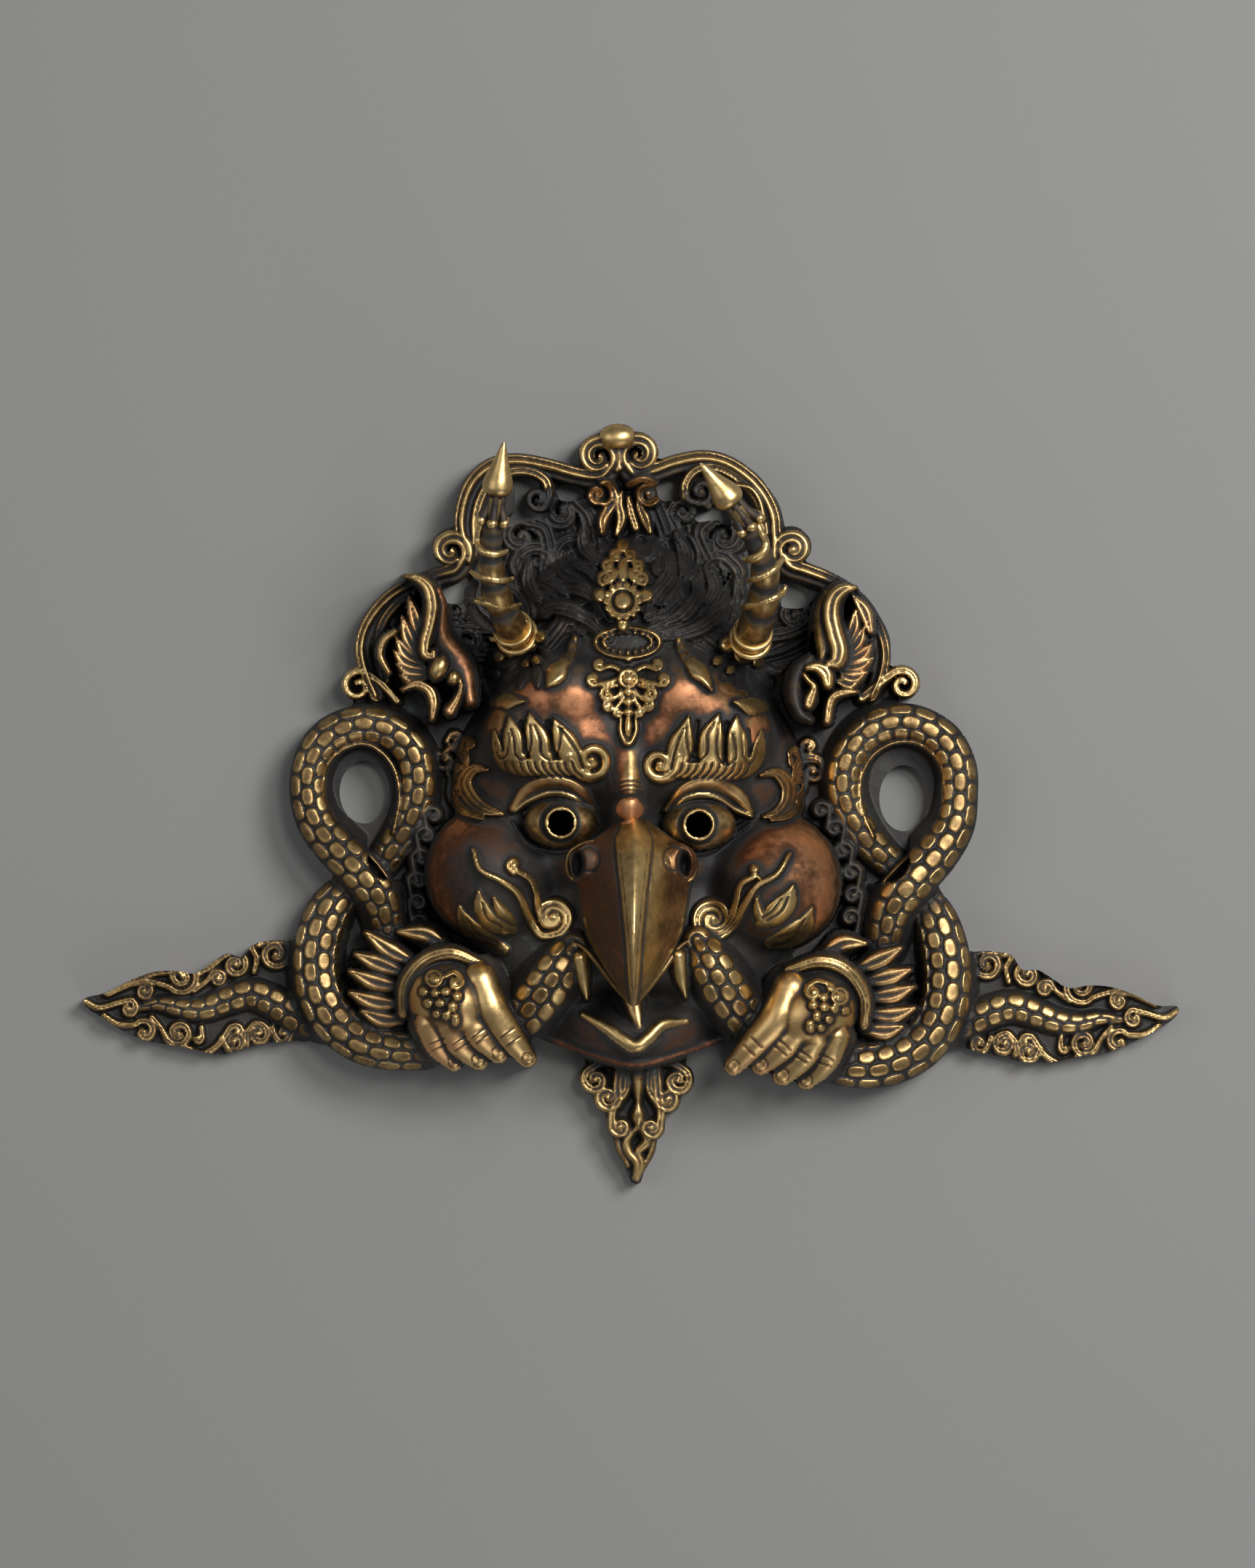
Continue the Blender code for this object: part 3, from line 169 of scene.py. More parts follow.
# Cross-sections: from the place across (-1 to 1), the run along and the half width, in millimetres, to
# a height from 0 to 1 and how bright that spot stays

def round_section(v, run, half):
    return np.sqrt(np.clip(1 - v * v, 0, 1)), 1.0


def dome_section(v, run, half):
    rise = (1 - v * v) ** 1.5
    return rise, 0.6 + 0.4 * rise


def flat_section(v, run, half):
    return np.sqrt(np.clip(1 - v**6, 0, 1)), 1.0


def reeded(count, cut=0.45):
    """That many rounded reeds side by side."""
    def section(v, run, half):
        reed = ((v + 1) / 2 * count) % 1 * 2 - 1
        rib = np.sqrt(np.clip(1 - reed**2, 0, 1))
        envelope = np.sqrt(np.clip(1 - v**4, 0, 1))
        return envelope * (1 - cut + cut * rib), 0.45 + 0.55 * rib
    return section


def banded(outer):
    """A rolled band: a thin ridge along the outer edge, a groove, a broad ridge and a dark slope."""
    def section(v, run, half):
        ridge = np.exp(-(((v * outer - 0.74) / 0.17) ** 2))
        broad = np.exp(-(((v * outer - 0.12) / 0.36) ** 4))
        rise = np.maximum(ridge, broad)
        return np.sqrt(np.clip(1 - v**8, 0, 1)) * (0.55 + 0.45 * rise), 0.5 + 0.5 * rise
    return section


def ringed(pitch, cut=0.4):
    """Rings across the stroke, as on a worm."""
    def section(v, run, half):
        ring = np.abs(np.cos(math.pi * run / pitch))
        return np.sqrt(np.clip(1 - v * v, 0, 1)) * (1 - cut + cut * ring), 0.4 + 0.6 * ring
    return section


def scaled(rows, length, swell=0.13):
    """Rows of rounded scales laid like bricks; a row is its middle and half width across the stroke."""
    def section(v, run, half):
        body = np.sqrt(np.clip(1 - v * v, 0, 1)) * (1 - swell)
        plate = np.zeros(v.shape)
        for k, (centre, wide) in enumerate(rows):
            across = (v - centre) / wide
            along = ((run / length + 0.5 * (k % 2)) % 1 - 0.5) * 2
            corners = np.abs(across) ** SCALE_SQUARE + np.abs(along * SCALE_REACH) ** SCALE_SQUARE
            rho = corners ** (1 / SCALE_SQUARE)
            plate = np.maximum(plate, np.clip((SCALE_REACH - rho) / SCALE_SLOPE, 0, 1))
        plate = plate * plate * (3 - 2 * plate)
        return body + swell * plate, 0.2 + 0.8 * plate
    return section


# How square a scale is, how far it reaches, and how softly its edge falls.
SCALE_SQUARE = 2.7
SCALE_REACH = 1.06
SCALE_SLOPE = 0.22
LOOP_SCALES = ((-0.66, 0.26), (-0.05, 0.36), (0.62, 0.30))
COIL_SCALES = ((-0.86, 0.17), (-0.36, 0.30), (0.26, 0.29), (0.80, 0.19))
NECK_SCALES = ((-0.64, 0.29), (-0.02, 0.30), (0.60, 0.28))
TAIL_SCALES = ((-0.42, 0.38), (0.42, 0.38))


class Board:
    """Height of the front over a square grid, the outline, and the finish of every spot."""

    def __init__(self, cell):
        self.cell = cell
        self.x = np.arange(-BOARD_X, BOARD_X + cell, cell)
        self.y = np.arange(-BOARD_Y, BOARD_Y + cell, cell)
        self.X, self.Y = np.meshgrid(self.x, self.y, indexing="ij")
        self.z = np.full(self.X.shape, NO_METAL)
        self.edge = np.full(self.X.shape, NO_METAL)
        self.wear_and_light = np.zeros(self.X.shape)
        self.red = np.zeros(self.X.shape)
        self.shade = np.ones(self.X.shape)
        self.body = self.z
        self.finish = "ground"

    def window(self, low, high):
        i0, j0 = (int(max(0, (low[k] + (BOARD_X, BOARD_Y)[k]) / self.cell)) for k in (0, 1))
        i1, j1 = (int((high[k] + (BOARD_X, BOARD_Y)[k]) / self.cell) + 2 for k in (0, 1))
        return slice(i0, i1), slice(j0, j1)

    def near(self, line, reach):
        """Window round a line, signed offset from it, distance along it, and its columns there."""
        at = self.window(line[:, :2].min(0) - reach, line[:, :2].max(0) + reach)
        x, y = self.X[at].ravel(), self.Y[at].ravel()
        nearest = np.empty(x.size, int)
        for first in range(0, x.size, 20000):
            part = slice(first, first + 20000)
            nearest[part] = np.argmin(
                (x[part, None] - line[:, 0]) ** 2 + (y[part, None] - line[:, 1]) ** 2, axis=1
            )
        lengths = np.hypot(*np.diff(line[:, :2], axis=0).T)
        along = np.concatenate([[0], np.cumsum(lengths)])
        best = np.full(x.size, np.inf)
        side, run = np.zeros(x.size), np.zeros(x.size)
        columns = np.zeros((x.size, line.shape[1] - 2))
        for shift in (-1, 0):
            k = np.clip(nearest + shift, 0, len(line) - 2)
            a, b = line[k], line[k + 1]
            dx, dy = b[:, 0] - a[:, 0], b[:, 1] - a[:, 1]
            length = np.maximum(dx * dx + dy * dy, 1e-9)
            t = np.clip(((x - a[:, 0]) * dx + (y - a[:, 1]) * dy) / length, 0, 1)
            ox, oy = x - a[:, 0] - t * dx, y - a[:, 1] - t * dy
            distance = np.hypot(ox, oy)
            closer = distance < best
            best = np.where(closer, distance, best)
            side = np.where(closer, np.sign(dx * oy - dy * ox) * distance, side)
            run = np.where(closer, along[k] + t * (along[k + 1] - along[k]), run)
            columns = np.where(closer[:, None], a[:, 2:] + (b - a)[:, 2:] * t[:, None], columns)
        shape = self.X[at].shape
        return at, side.reshape(shape), run.reshape(shape), [c.reshape(shape) for c in columns.T]

    def oval(self, x, y, rx, ry, turn, reach):
        """Window round an oval, and the places in it along and across the oval as shares of its halves."""
        c, s = math.cos(math.radians(turn)), math.sin(math.radians(turn))
        at = self.window((x - reach, y - reach), (x + reach, y + reach))
        dx, dy = self.X[at] - x, self.Y[at] - y
        return at, (dx * c + dy * s) / rx, (dy * c - dx * s) / ry

    def raise_to(self, at, height, shade=1.0, blend=BLEND):
        """Takes the higher of the map and height, softly, and gives what is raised its finish."""
        old = self.z[at]
        here = height > NO_METAL
        soft = np.clip(blend - np.abs(old - height), 0, None)
        take = np.where(here, np.clip((height - old) / 0.35 + 0.5, 0, 1), 0)
        self.z[at] = np.where(here, np.maximum(old, height) + soft**2 / (4 * blend), old)
        wear_and_light, red = FINISHES[self.finish]
        for field, value in ((self.wear_and_light, wear_and_light), (self.red, red), (self.shade, shade)):
            field[at] += take * (value - field[at])

    def stroke(self, points, depth=None, section=round_section, on_body=True, cuts=True, blend=BLEND):
        """A roll of wax along points of (x, y, half width, lift); lift is over the body or the board."""
        line = smooth_path(points)
        at, side, run, (half, lift) = self.near(line, line[:, 2].max() * 1.5 + 1)
        half = np.maximum(half, 0.2)
        deep = half if depth is None else depth
        v = side / half
        profile, shade = section(np.clip(v, -1, 1), run, half)
        crest = lift + (self.body[at] if on_body else 0)
        outside = np.clip(np.abs(side) - half, 0, None)
        height = crest - deep + deep * profile - DRAFT * outside
        shade = np.where(outside > 0, 0.2, shade)
        self.raise_to(at, np.where(np.abs(v) < 1.5, height, NO_METAL), shade, blend)
        if cuts:
            self.edge[at] = np.maximum(self.edge[at], half - np.abs(side))

    def curl(self, stem, centre, turns, halves, lift, ball=0.0, **how):
        """A band along the stem that winds into a scroll round centre, with a bead in its eye."""
        points = list(stem) + spiral(centre, stem[-1], turns)
        self.stroke(tapered(points, halves, lift), **how)
        if ball:
            self.bead(*centre, ball, lift + 0.3, on_body=how.get("on_body", True))

    def groove(self, points, half, deep):
        """A cut line, darker than what it is cut into."""
        line = smooth_path([(x, y, 0) for x, y in points])
        at, side, _, _ = self.near(line, half * 2.5)
        cut = np.exp(-((side / half) ** 2) * 1.4)
        self.z[at] -= deep * cut
        self.shade[at] *= 1 - 0.75 * cut

    def bead(self, x, y, radius, lift, ry=None, turn=0.0, on_body=True, sink=1.0):
        """A drop or ball; lift is its top over the body or the board."""
        ry = radius if ry is None else ry
        foot = 1.35
        at, u, v = self.oval(x, y, radius, ry, turn, max(radius, ry) * foot)
        rho = np.hypot(u, v)
        deep = min(radius, ry) * sink
        top = lift + (self.body[at] if on_body else 0)
        fall = DRAFT * deep * np.clip(rho - 1, 0, None)
        height = top - deep + deep * np.sqrt(np.clip(1 - rho**2, 0, 1)) - fall
        self.raise_to(at, np.where(rho < foot, height, NO_METAL), np.where(rho > 1.02, 0.25, 1.0), 0.25)

    def petal(self, x, y, angle, length, half, lift):
        """A leaf with a line down its middle, growing from x, y."""
        c, s = math.cos(math.radians(angle)), math.sin(math.radians(angle))
        points = [(x, y), (x + c * length / 2, y + s * length / 2), (x + c * length, y + s * length)]
        self.stroke(tapered(points, (half * 0.5, half, half * 0.35), lift), section=reeded(2, 0.3),
                    depth=half * 0.9, blend=0.25)

    def flower(self, x, y, ring, count, bead, lift, boss):
        """A boss in a ring of beads."""
        self.stroke([(*p, 0.45, lift) for p in arc(x, y, boss * 1.45, boss * 1.45, 0, 360, 17)], blend=0.2)
        self.bead(x, y, boss, lift + 0.9)
        for k in range(count):
            a = math.radians(360 * k / count)
            self.bead(x + ring * math.cos(a), y + ring * math.sin(a), bead, lift + 0.2)

    def mound(self, x, y, rx, ry, low, high, power=0.5, turn=0, blend=3.0):
        """An oval dome that rises from low to high."""
        at, u, v = self.oval(x, y, rx, ry, turn, max(rx, ry) + 1)
        rho = u**2 + v**2
        height = low + (high - low) * np.clip(1 - rho, 0, 1) ** power
        self.raise_to(at, np.where(rho < 1, height, NO_METAL), 1.0, blend)

    def dent(self, x, y, rx, ry, depth, turn=0, dark=0.0):
        """A soft oval hollow."""
        at, u, v = self.oval(x, y, rx, ry, turn, 1.7 * max(rx, ry))
        soft = np.exp(-1.4 * (u**2 + v**2) ** 1.5)
        self.z[at] -= depth * soft
        self.shade[at] *= 1 - dark * soft

    def tint(self, x, y, rx, ry, finish, turn=0, strength=1.0):
        """Gives a soft oval spot the colour of another finish."""
        at, u, v = self.oval(x, y, rx, ry, turn, 1.6 * max(rx, ry))
        take = strength * np.exp(-1.2 * (u**2 + v**2) ** 2)
        wear_and_light, red = FINISHES[finish]
        self.wear_and_light[at] += take * (wear_and_light - self.wear_and_light[at])
        self.red[at] += take * (red - self.red[at])

    def inside(self, outline, reach):
        """Signed distance to a closed outline, above 0 inside it, as far as reach."""
        line = smooth_loop(outline)
        at, side, _, _ = self.near(line, reach)
        x, y = self.X[at], self.Y[at]
        odd = np.zeros(x.shape, bool)
        for (ax, ay), (bx, by) in zip(line[:, :2], np.roll(line[:, :2], -1, axis=0)):
            if ay != by:
                odd ^= ((ay > y) != (by > y)) & (x < (bx - ax) * (y - ay) / (by - ay) + ax)
        return at, np.where(odd, np.abs(side), -np.abs(side))

    def plate(self, outline, height):
        at, distance = self.inside(outline, 4)
        self.z[at] = np.where(distance > -2, np.maximum(self.z[at], height), self.z[at])
        self.edge[at] = np.maximum(self.edge[at], distance)

    def opening(self, outline):
        at, distance = self.inside(outline, 3)
        self.edge[at] = np.minimum(self.edge[at], -distance)

    def round_opening(self, x, y, rx, ry):
        at = self.window((x - rx - 3, y - ry - 3), (x + rx + 3, y + ry + 3))
        rho = np.hypot((self.X[at] - x) / rx, (self.Y[at] - y) / ry)
        self.edge[at] = np.minimum(self.edge[at], (rho - 1) * min(rx, ry))

    def blurred(self, sigma, field=None):
        """A field, the height map if none is named, smoothed over the metal only."""
        field = self.z if field is None else field
        metal = (self.edge > -1.0).astype(float)
        reach = int(3 * sigma / self.cell) + 1
        kernel = np.exp(-0.5 * (np.arange(-reach, reach + 1) * self.cell / sigma) ** 2)
        kernel /= kernel.sum()
        sums = []
        for part in (field * metal, metal):
            for axis in (0, 1):
                part = sum(k * np.roll(part, i - reach, axis) for i, k in enumerate(kernel))
            sums.append(part)
        return np.where(metal > 0, sums[0] / np.maximum(sums[1], 1e-6), field)

    def finishes(self):
        """Bare metal share and redness per spot: crests are rubbed bright, hollows stay dark."""
        fine, broad = self.z - self.blurred(0.8), self.z - self.blurred(2.4)
        crest = np.clip(fine / 0.22, -1.6, 1.0) * 0.34 + np.clip(broad / 1.3, -1.4, 1.0) * 0.26
        wear_and_light = self.wear_and_light + crest * (0.35 + self.wear_and_light)
        return np.clip(wear_and_light * self.shade, 0, 1), self.red

    def underside(self):
        """The hollow of the back: the front moved in by the wall, under the head only."""
        deep = self.z.copy()
        steps = int(WALL / self.cell)
        for i in range(-steps, steps + 1):
            for j in range(-steps, steps + 1):
                away = math.hypot(i, j) * self.cell
                if away <= WALL:
                    lowered = np.roll(self.z, (i, j), (0, 1)) - math.sqrt(WALL * WALL - away * away)
                    deep = np.minimum(deep, lowered)
        rho = (np.abs(self.X - HEAD_CENTRE[0]) / HOLLOW_HALF[0]) ** 2.4
        rho = rho + (np.abs(self.Y - HEAD_CENTRE[1]) / HOLLOW_HALF[1]) ** 2.4
        return np.where((rho < 1) & (deep > 2), np.clip(deep, 0, None), 0.0)

    def trimmed(self):
        """Grid points drawn onto the outline, the cells that are metal, and the outline's slope."""
        gx, gy = np.gradient(self.edge, self.cell)
        steep = np.maximum(gx**2 + gy**2, 0.25)
        keep = self.edge > -0.55 * self.cell
        move = np.where(np.abs(self.edge) < 0.55 * self.cell, self.edge, 0) / steep
        whole = keep[:-1, :-1] & keep[1:, :-1] & keep[:-1, 1:] & keep[1:, 1:]
        return self.X - move * gx, self.Y - move * gy, whole, (gx, gy)


# Where things lie on the board, as an eye above sees them

GROUND_HALF = [
    (4, 89), (12, 88), (22, 90), (32, 87.5), (40, 80), (42.5, 72), (43, 63), (55, 58.5), (64, 52),
    (69, 43), (68.5, 33), (71, 26), (81, 18), (86, 4), (81, -9), (73, -19), (78, -28), (82, -42),
    (79, -55), (70, -63), (56, -65.5), (40, -63.5), (30, -61), (22, -61), (12, -65.5), (4, -67.5),
]
OPENINGS = [
    [(-30.6, 84.6), (-27, 84.8), (-23.8, 82.8), (-22.4, 79), (-20.8, 75.6), (-23, 73.9),
     (-28, 73.2), (-32.8, 71.8), (-30.8, 75.5), (-30.2, 80)],
    [(-18.9, 82.6), (-13.4, 82.2), (-12.4, 80.4), (-13.8, 78.8), (-18.7, 78.9)],
    [(-50, 55.6), (-45.6, 57), (-41.4, 59.8), (-41.4, 55.8), (-42.8, 52.8), (-45.6, 51.8),
     (-48.8, 52.4)],
    [(-62.8, 46.6), (-60.2, 50.3), (-57.6, 50), (-57.6, 46.2), (-60.4, 45.8)],
    [(6.6, 82.6), (9, 84), (12.8, 84.2), (13.2, 79.2), (10, 78.7), (7.4, 79)],
    [(16.8, 75), (18.6, 76.4), (21.4, 77.8), (25.6, 76), (25.8, 71.6), (22.6, 73.6), (17.2, 73.2)],
    [(38.2, 59.2), (41.6, 57.6), (46.4, 55.2), (46.4, 51.8), (43.6, 50.6), (39, 51.2), (39.4, 54)],
    [(47.2, 44.8), (48.8, 44.4), (48.8, 40.2), (47.2, 38), (46.4, 41)],
]
LOOP_EYES = [(-69.5, 2.8, 6.5, 8.2), (71.0, 1.2, 6.4, 8.6)]
LOOPS = [
    [(-66, -17, 4.4, 11), (-60.5, -9.5, 4.8, 13), (-57, -3, 4.9, 14.5), (-55.5, 5, 4.9, 15.5),
     (-57, 13, 4.9, 16), (-62.5, 18.6, 4.9, 16), (-70.5, 20.5, 4.9, 16), (-78.5, 17.5, 4.9, 16),
     (-83.2, 11, 4.8, 16), (-84.3, 3, 4.8, 16), (-82, -5.2, 5.1, 17), (-76.3, -12.3, 5.5, 19),
     (-69.3, -19, 5.7, 21), (-64.8, -26, 5.0, 20), (-63.3, -33, 4.4, 17)],
    [(69, -17, 4.4, 11), (62.5, -11, 4.8, 13), (58, -4.5, 4.9, 14.5), (55.4, 3, 4.9, 15.5),
     (56.2, 11, 4.9, 16), (60, 17, 4.9, 16), (66.5, 20.6, 4.9, 16), (74, 20.6, 4.9, 16),
     (81.2, 16.5, 4.9, 16), (85, 9.5, 4.9, 16), (85.4, 2, 4.9, 16), (84, -6, 5.4, 17),
     (79.3, -13.4, 5.9, 19), (72.8, -20.5, 6.1, 21), (67.6, -28, 5.4, 20), (65.4, -37, 4.6, 17)],
]
LOOP_RIMS = [
    [(-62, -8), (-60.4, 2), (-62.4, 10), (-68, 15), (-74, 14.5), (-79, 10), (-80.2, 3),
     (-78.4, -2.5), (-73, -9), (-67, -15), (-62.6, -21), (-60.6, -26), (-60, -31)],
    [(63, -9), (60.2, -2), (59.8, 6), (63, 12.4), (69, 15.8), (75.5, 15), (80.4, 10), (81.4, 2.5),
     (80, -4.5), (75.4, -11), (69, -17), (64, -23), (61.6, -29), (61.2, -35)],
]
COILS = [
    [(-73, -21.5, 4.6, 13), (-78, -27, 5.6, 15), (-81, -33.5, 6.0, 16), (-82.2, -41, 6.0, 16.5),
     (-81.2, -49, 6.0, 17), (-77.5, -56.3, 6.0, 18), (-71, -61.8, 5.8, 20), (-63, -64.4, 5.3, 22),
     (-54, -64.8, 4.9, 23)],
    [(76.5, -25, 4.6, 13), (79.7, -31.5, 5.8, 15), (81.8, -40, 6.4, 16), (82, -49, 6.5, 17),
     (79.6, -57.4, 6.4, 18), (74, -64, 6.4, 19), (66, -67.7, 6.2, 21), (58, -68.5, 5.8, 22.5),
     (49, -67.5, 5.0, 23)],
]
NECKS = [
    [(-34, -61, 5.0, 24), (-28.5, -55.6, 6.2, 31), (-23, -49, 6.6, 36), (-18.5, -42.6, 6.0, 37),
     (-15, -37.5, 4.6, 34)],
    [(35, -61, 5.0, 24), (29.5, -55.2, 6.2, 31), (24.4, -48.6, 6.4, 36), (20.3, -41.6, 6.0, 37),
     (17, -36, 4.6, 34)],
]
TAILS = [
    [(-80, -58.5, 4.6, 10), (-87, -56, 4.8, 9.6), (-93, -52.2, 4.7, 9.4), (-99, -49.8, 4.4, 9.2),
     (-105, -51.3, 4.1, 9), (-111, -53.7, 3.5, 8.7), (-117, -53.6, 2.9, 8.3),
     (-123, -52.4, 2.1, 7.6), (-128.5, -53.5, 1.1, 6.4)],
    [(80, -58.5, 4.6, 10), (87, -57.5, 4.8, 9.6), (93, -54.8, 4.7, 9.4), (99, -53.2, 4.5, 9.2),
     (105, -54.8, 4.2, 9), (111, -57, 3.6, 8.7), (117, -57.4, 2.9, 8.3), (122, -56.2, 2.1, 7.6),
     (127.5, -56.6, 1.1, 6.4)],
]
TAIL_PLATES = [
    [(-84, -38), (-89.5, -36), (-95, -36), (-99, -37.3), (-101.2, -40.5), (-105, -39.2),
     (-109, -41.5), (-113.5, -44.5), (-118, -43.8), (-124, -44), (-130, -46), (-136.5, -49.4),
     (-142.1, -50.8), (-142.1, -53.2), (-137.2, -56.4), (-133, -59.2), (-127, -61.8), (-121, -63),
     (-115, -64), (-107, -65.6), (-101, -64), (-95, -62.6), (-89, -62), (-82, -60)],
    [(84, -40.5), (89.5, -38.8), (95, -38.8), (99.5, -40), (101.5, -43.4), (106, -43.6),
     (110, -46), (114, -48.3), (119, -47.6), (125, -48), (131, -50), (137, -52.8), (142.1, -53),
     (142.1, -55.4), (137.6, -58.8), (131, -62.2), (124, -65), (117, -66), (109, -67.6),
     (101, -67.4), (95, -66), (89, -64.4), (82, -61)],
]
# Flame scrolls of a tail, drawn for the left one: where the stroke starts and bends, its eye and turns.
TAIL_SCROLLS = [
    ([(-96.6, -36.6), (-93, -35.9), (-90, -36.6)], (-92.8, -39.4), -1.45),
    ([(-98.3, -44.2), (-97.6, -40.6), (-98.9, -38)], (-97.2, -37.2), -0.6),
    ([(-112.6, -44.6), (-108.4, -41.9), (-105.8, -39.7), (-103, -39)], (-103.2, -42.2), -1.3),
    ([(-114, -49), (-110.8, -46.6), (-109.3, -44.6)], (-107.8, -45.8), -1.2),
    ([(-136.4, -50), (-130, -47.2), (-125.6, -46.6), (-120.6, -48)], (-117, -45.2), 1.5),
    ([(-137, -49.8), (-130.6, -46.8), (-125, -44.6), (-119, -43.6)], (-117.6, -44.4), -0.3),
    ([(-130.4, -47.4), (-127.6, -46.9)], (-127, -49), -1.1),
    ([(-142.2, -51.8), (-138.6, -53.4), (-134, -52.2), (-130.6, -51.4)], (-131, -53.6), -0.9),
    ([(-137.4, -55.4), (-133.8, -57.6), (-129.4, -57.8)], (-126.9, -59.6), -1.0),
    ([(-125, -55.8), (-122.6, -58.6), (-121, -61.6)], (-118, -60), 1.35),
    ([(-112, -58.4), (-111.8, -60.8)], (-113, -61.2), -0.6),
    ([(-116.4, -63.6), (-111.6, -65.2), (-107.6, -63), (-104.8, -59)], (-102.8, -59.9), -0.6),
    ([(-106.8, -61.2), (-105.4, -63.8)], (-103.4, -62.2), 1.1),
    ([(-100, -63), (-100.2, -60), (-98.4, -57.6)], (-97.2, -60.2), -1.3),
    ([(-93.6, -58.4), (-92.8, -61)], (-90.6, -60.2), 1.0),
]
TAIL_DROP = 2.6

# Main bands of the frame, each of them ending in its scroll: path, eye, turns, half widths, which side
# is the outer one, and the bead in the eye.
BANDS = [
    ([(-42, 65), (-43.9, 72), (-43.1, 78.5), (-40.5, 84), (-35.8, 87.7), (-29.6, 88.6),
      (-22, 87.3), (-14, 85.1), (-8.2, 84.6), (-5.0, 87.6)],
     (-8.6, 90.2), 1.15, (2.4, 2.7, 0.9), 1, 1.2),
    ([(37, 64), (36.9, 70.4), (36.3, 75.4), (33.6, 80.8), (29.6, 85.0), (24.4, 88.2), (18.6, 89.4),
      (12, 88.3), (6, 86.2), (1.4, 85), (-1.6, 88)],
     (1.9, 90.7), -1.15, (2.4, 2.8, 0.9), -1, 1.3),
    ([(-66.4, 28), (-68.8, 34), (-70, 40.4), (-68.2, 46.6), (-63.4, 52.6), (-57.2, 56.4),
      (-50, 59), (-45.6, 60.4), (-43.6, 63.6)],
     (-47.0, 65.6), 1.1, (2.0, 3.2, 1.1), 1, 1.2),
    ([(62.4, 28), (64.6, 33.4), (65.4, 39), (64, 44.6), (60.8, 50.4), (56.4, 54.8), (51, 57.8),
      (45.6, 59.9), (41, 61.6), (38.6, 65.4)],
     (42.0, 66.0), -1.1, (2.0, 3.3, 1.1), -1, 1.5),
]
# Slimmer bands inside them: path, half width, crest height, reeds.
ARCHES = [
    ([(-21.3, 80.4), (-22.4, 84), (-26, 86.2), (-31, 86.4), (-36.4, 83.8), (-39.4, 79),
      (-40.6, 73.5), (-40.4, 68)],
     1.6, 12.2, 2),
    ([(-57, 54.8), (-61.6, 51.4), (-64.9, 46.8), (-66, 42), (-65.6, 37), (-64, 32)], 1.6, 11.9, 2),
    ([(-60, 45.2), (-63.2, 43.6), (-64.4, 40), (-63.2, 36)], 1.2, 11.2, 2),
    ([(14, 79.8), (14.2, 83.4), (17, 86.8), (21.6, 87.4), (26.4, 85.4), (31, 81.4), (33.8, 76.4),
      (34.8, 70.4)],
     1.5, 12.3, 2),
    ([(27.4, 82.8), (31, 82), (33.4, 78.8), (34.6, 74)], 0.9, 13.4, 1),
    ([(55.6, 54.6), (59.8, 51.4), (62.4, 46.4), (63, 41), (61.8, 35)], 1.5, 11.9, 2),
]
# Small scrolls on the frame: finish, stem, eye, turns, half widths, bead in the eye.
FRAME_SCROLLS = [
    ("hair", [(-21.4, 81.5), (-21.6, 79), (-22.8, 76.9)], (-24.4, 79.3), -1.2, (1.1, 1.0, 0.7),
     0.9),
    ("hair", [(14.2, 81), (14.8, 79), (17.2, 78.1)], (18.2, 81.1), 1.2, (1.0, 0.9, 0.7), 0.9),
    ("hair", [(18.6, 78), (19.4, 77.4)], (20.3, 77.4), 0.4, (0.7, 0.8, 0.6), 0.8),
    ("brass", [(-61, 26.6), (-64.6, 30.6), (-68.2, 33.4)], (-71.2, 30.4), 1.2, (1.2, 1.0, 0.7),
     0.8),
    ("brass", [(60, 27.4), (64.4, 31), (68, 33.7)], (70.8, 30.8), -1.25, (1.5, 1.2, 0.8), 1.0),
]
CROWN_KNOB = (-3.6, 95.4, 4.8, 3.4)

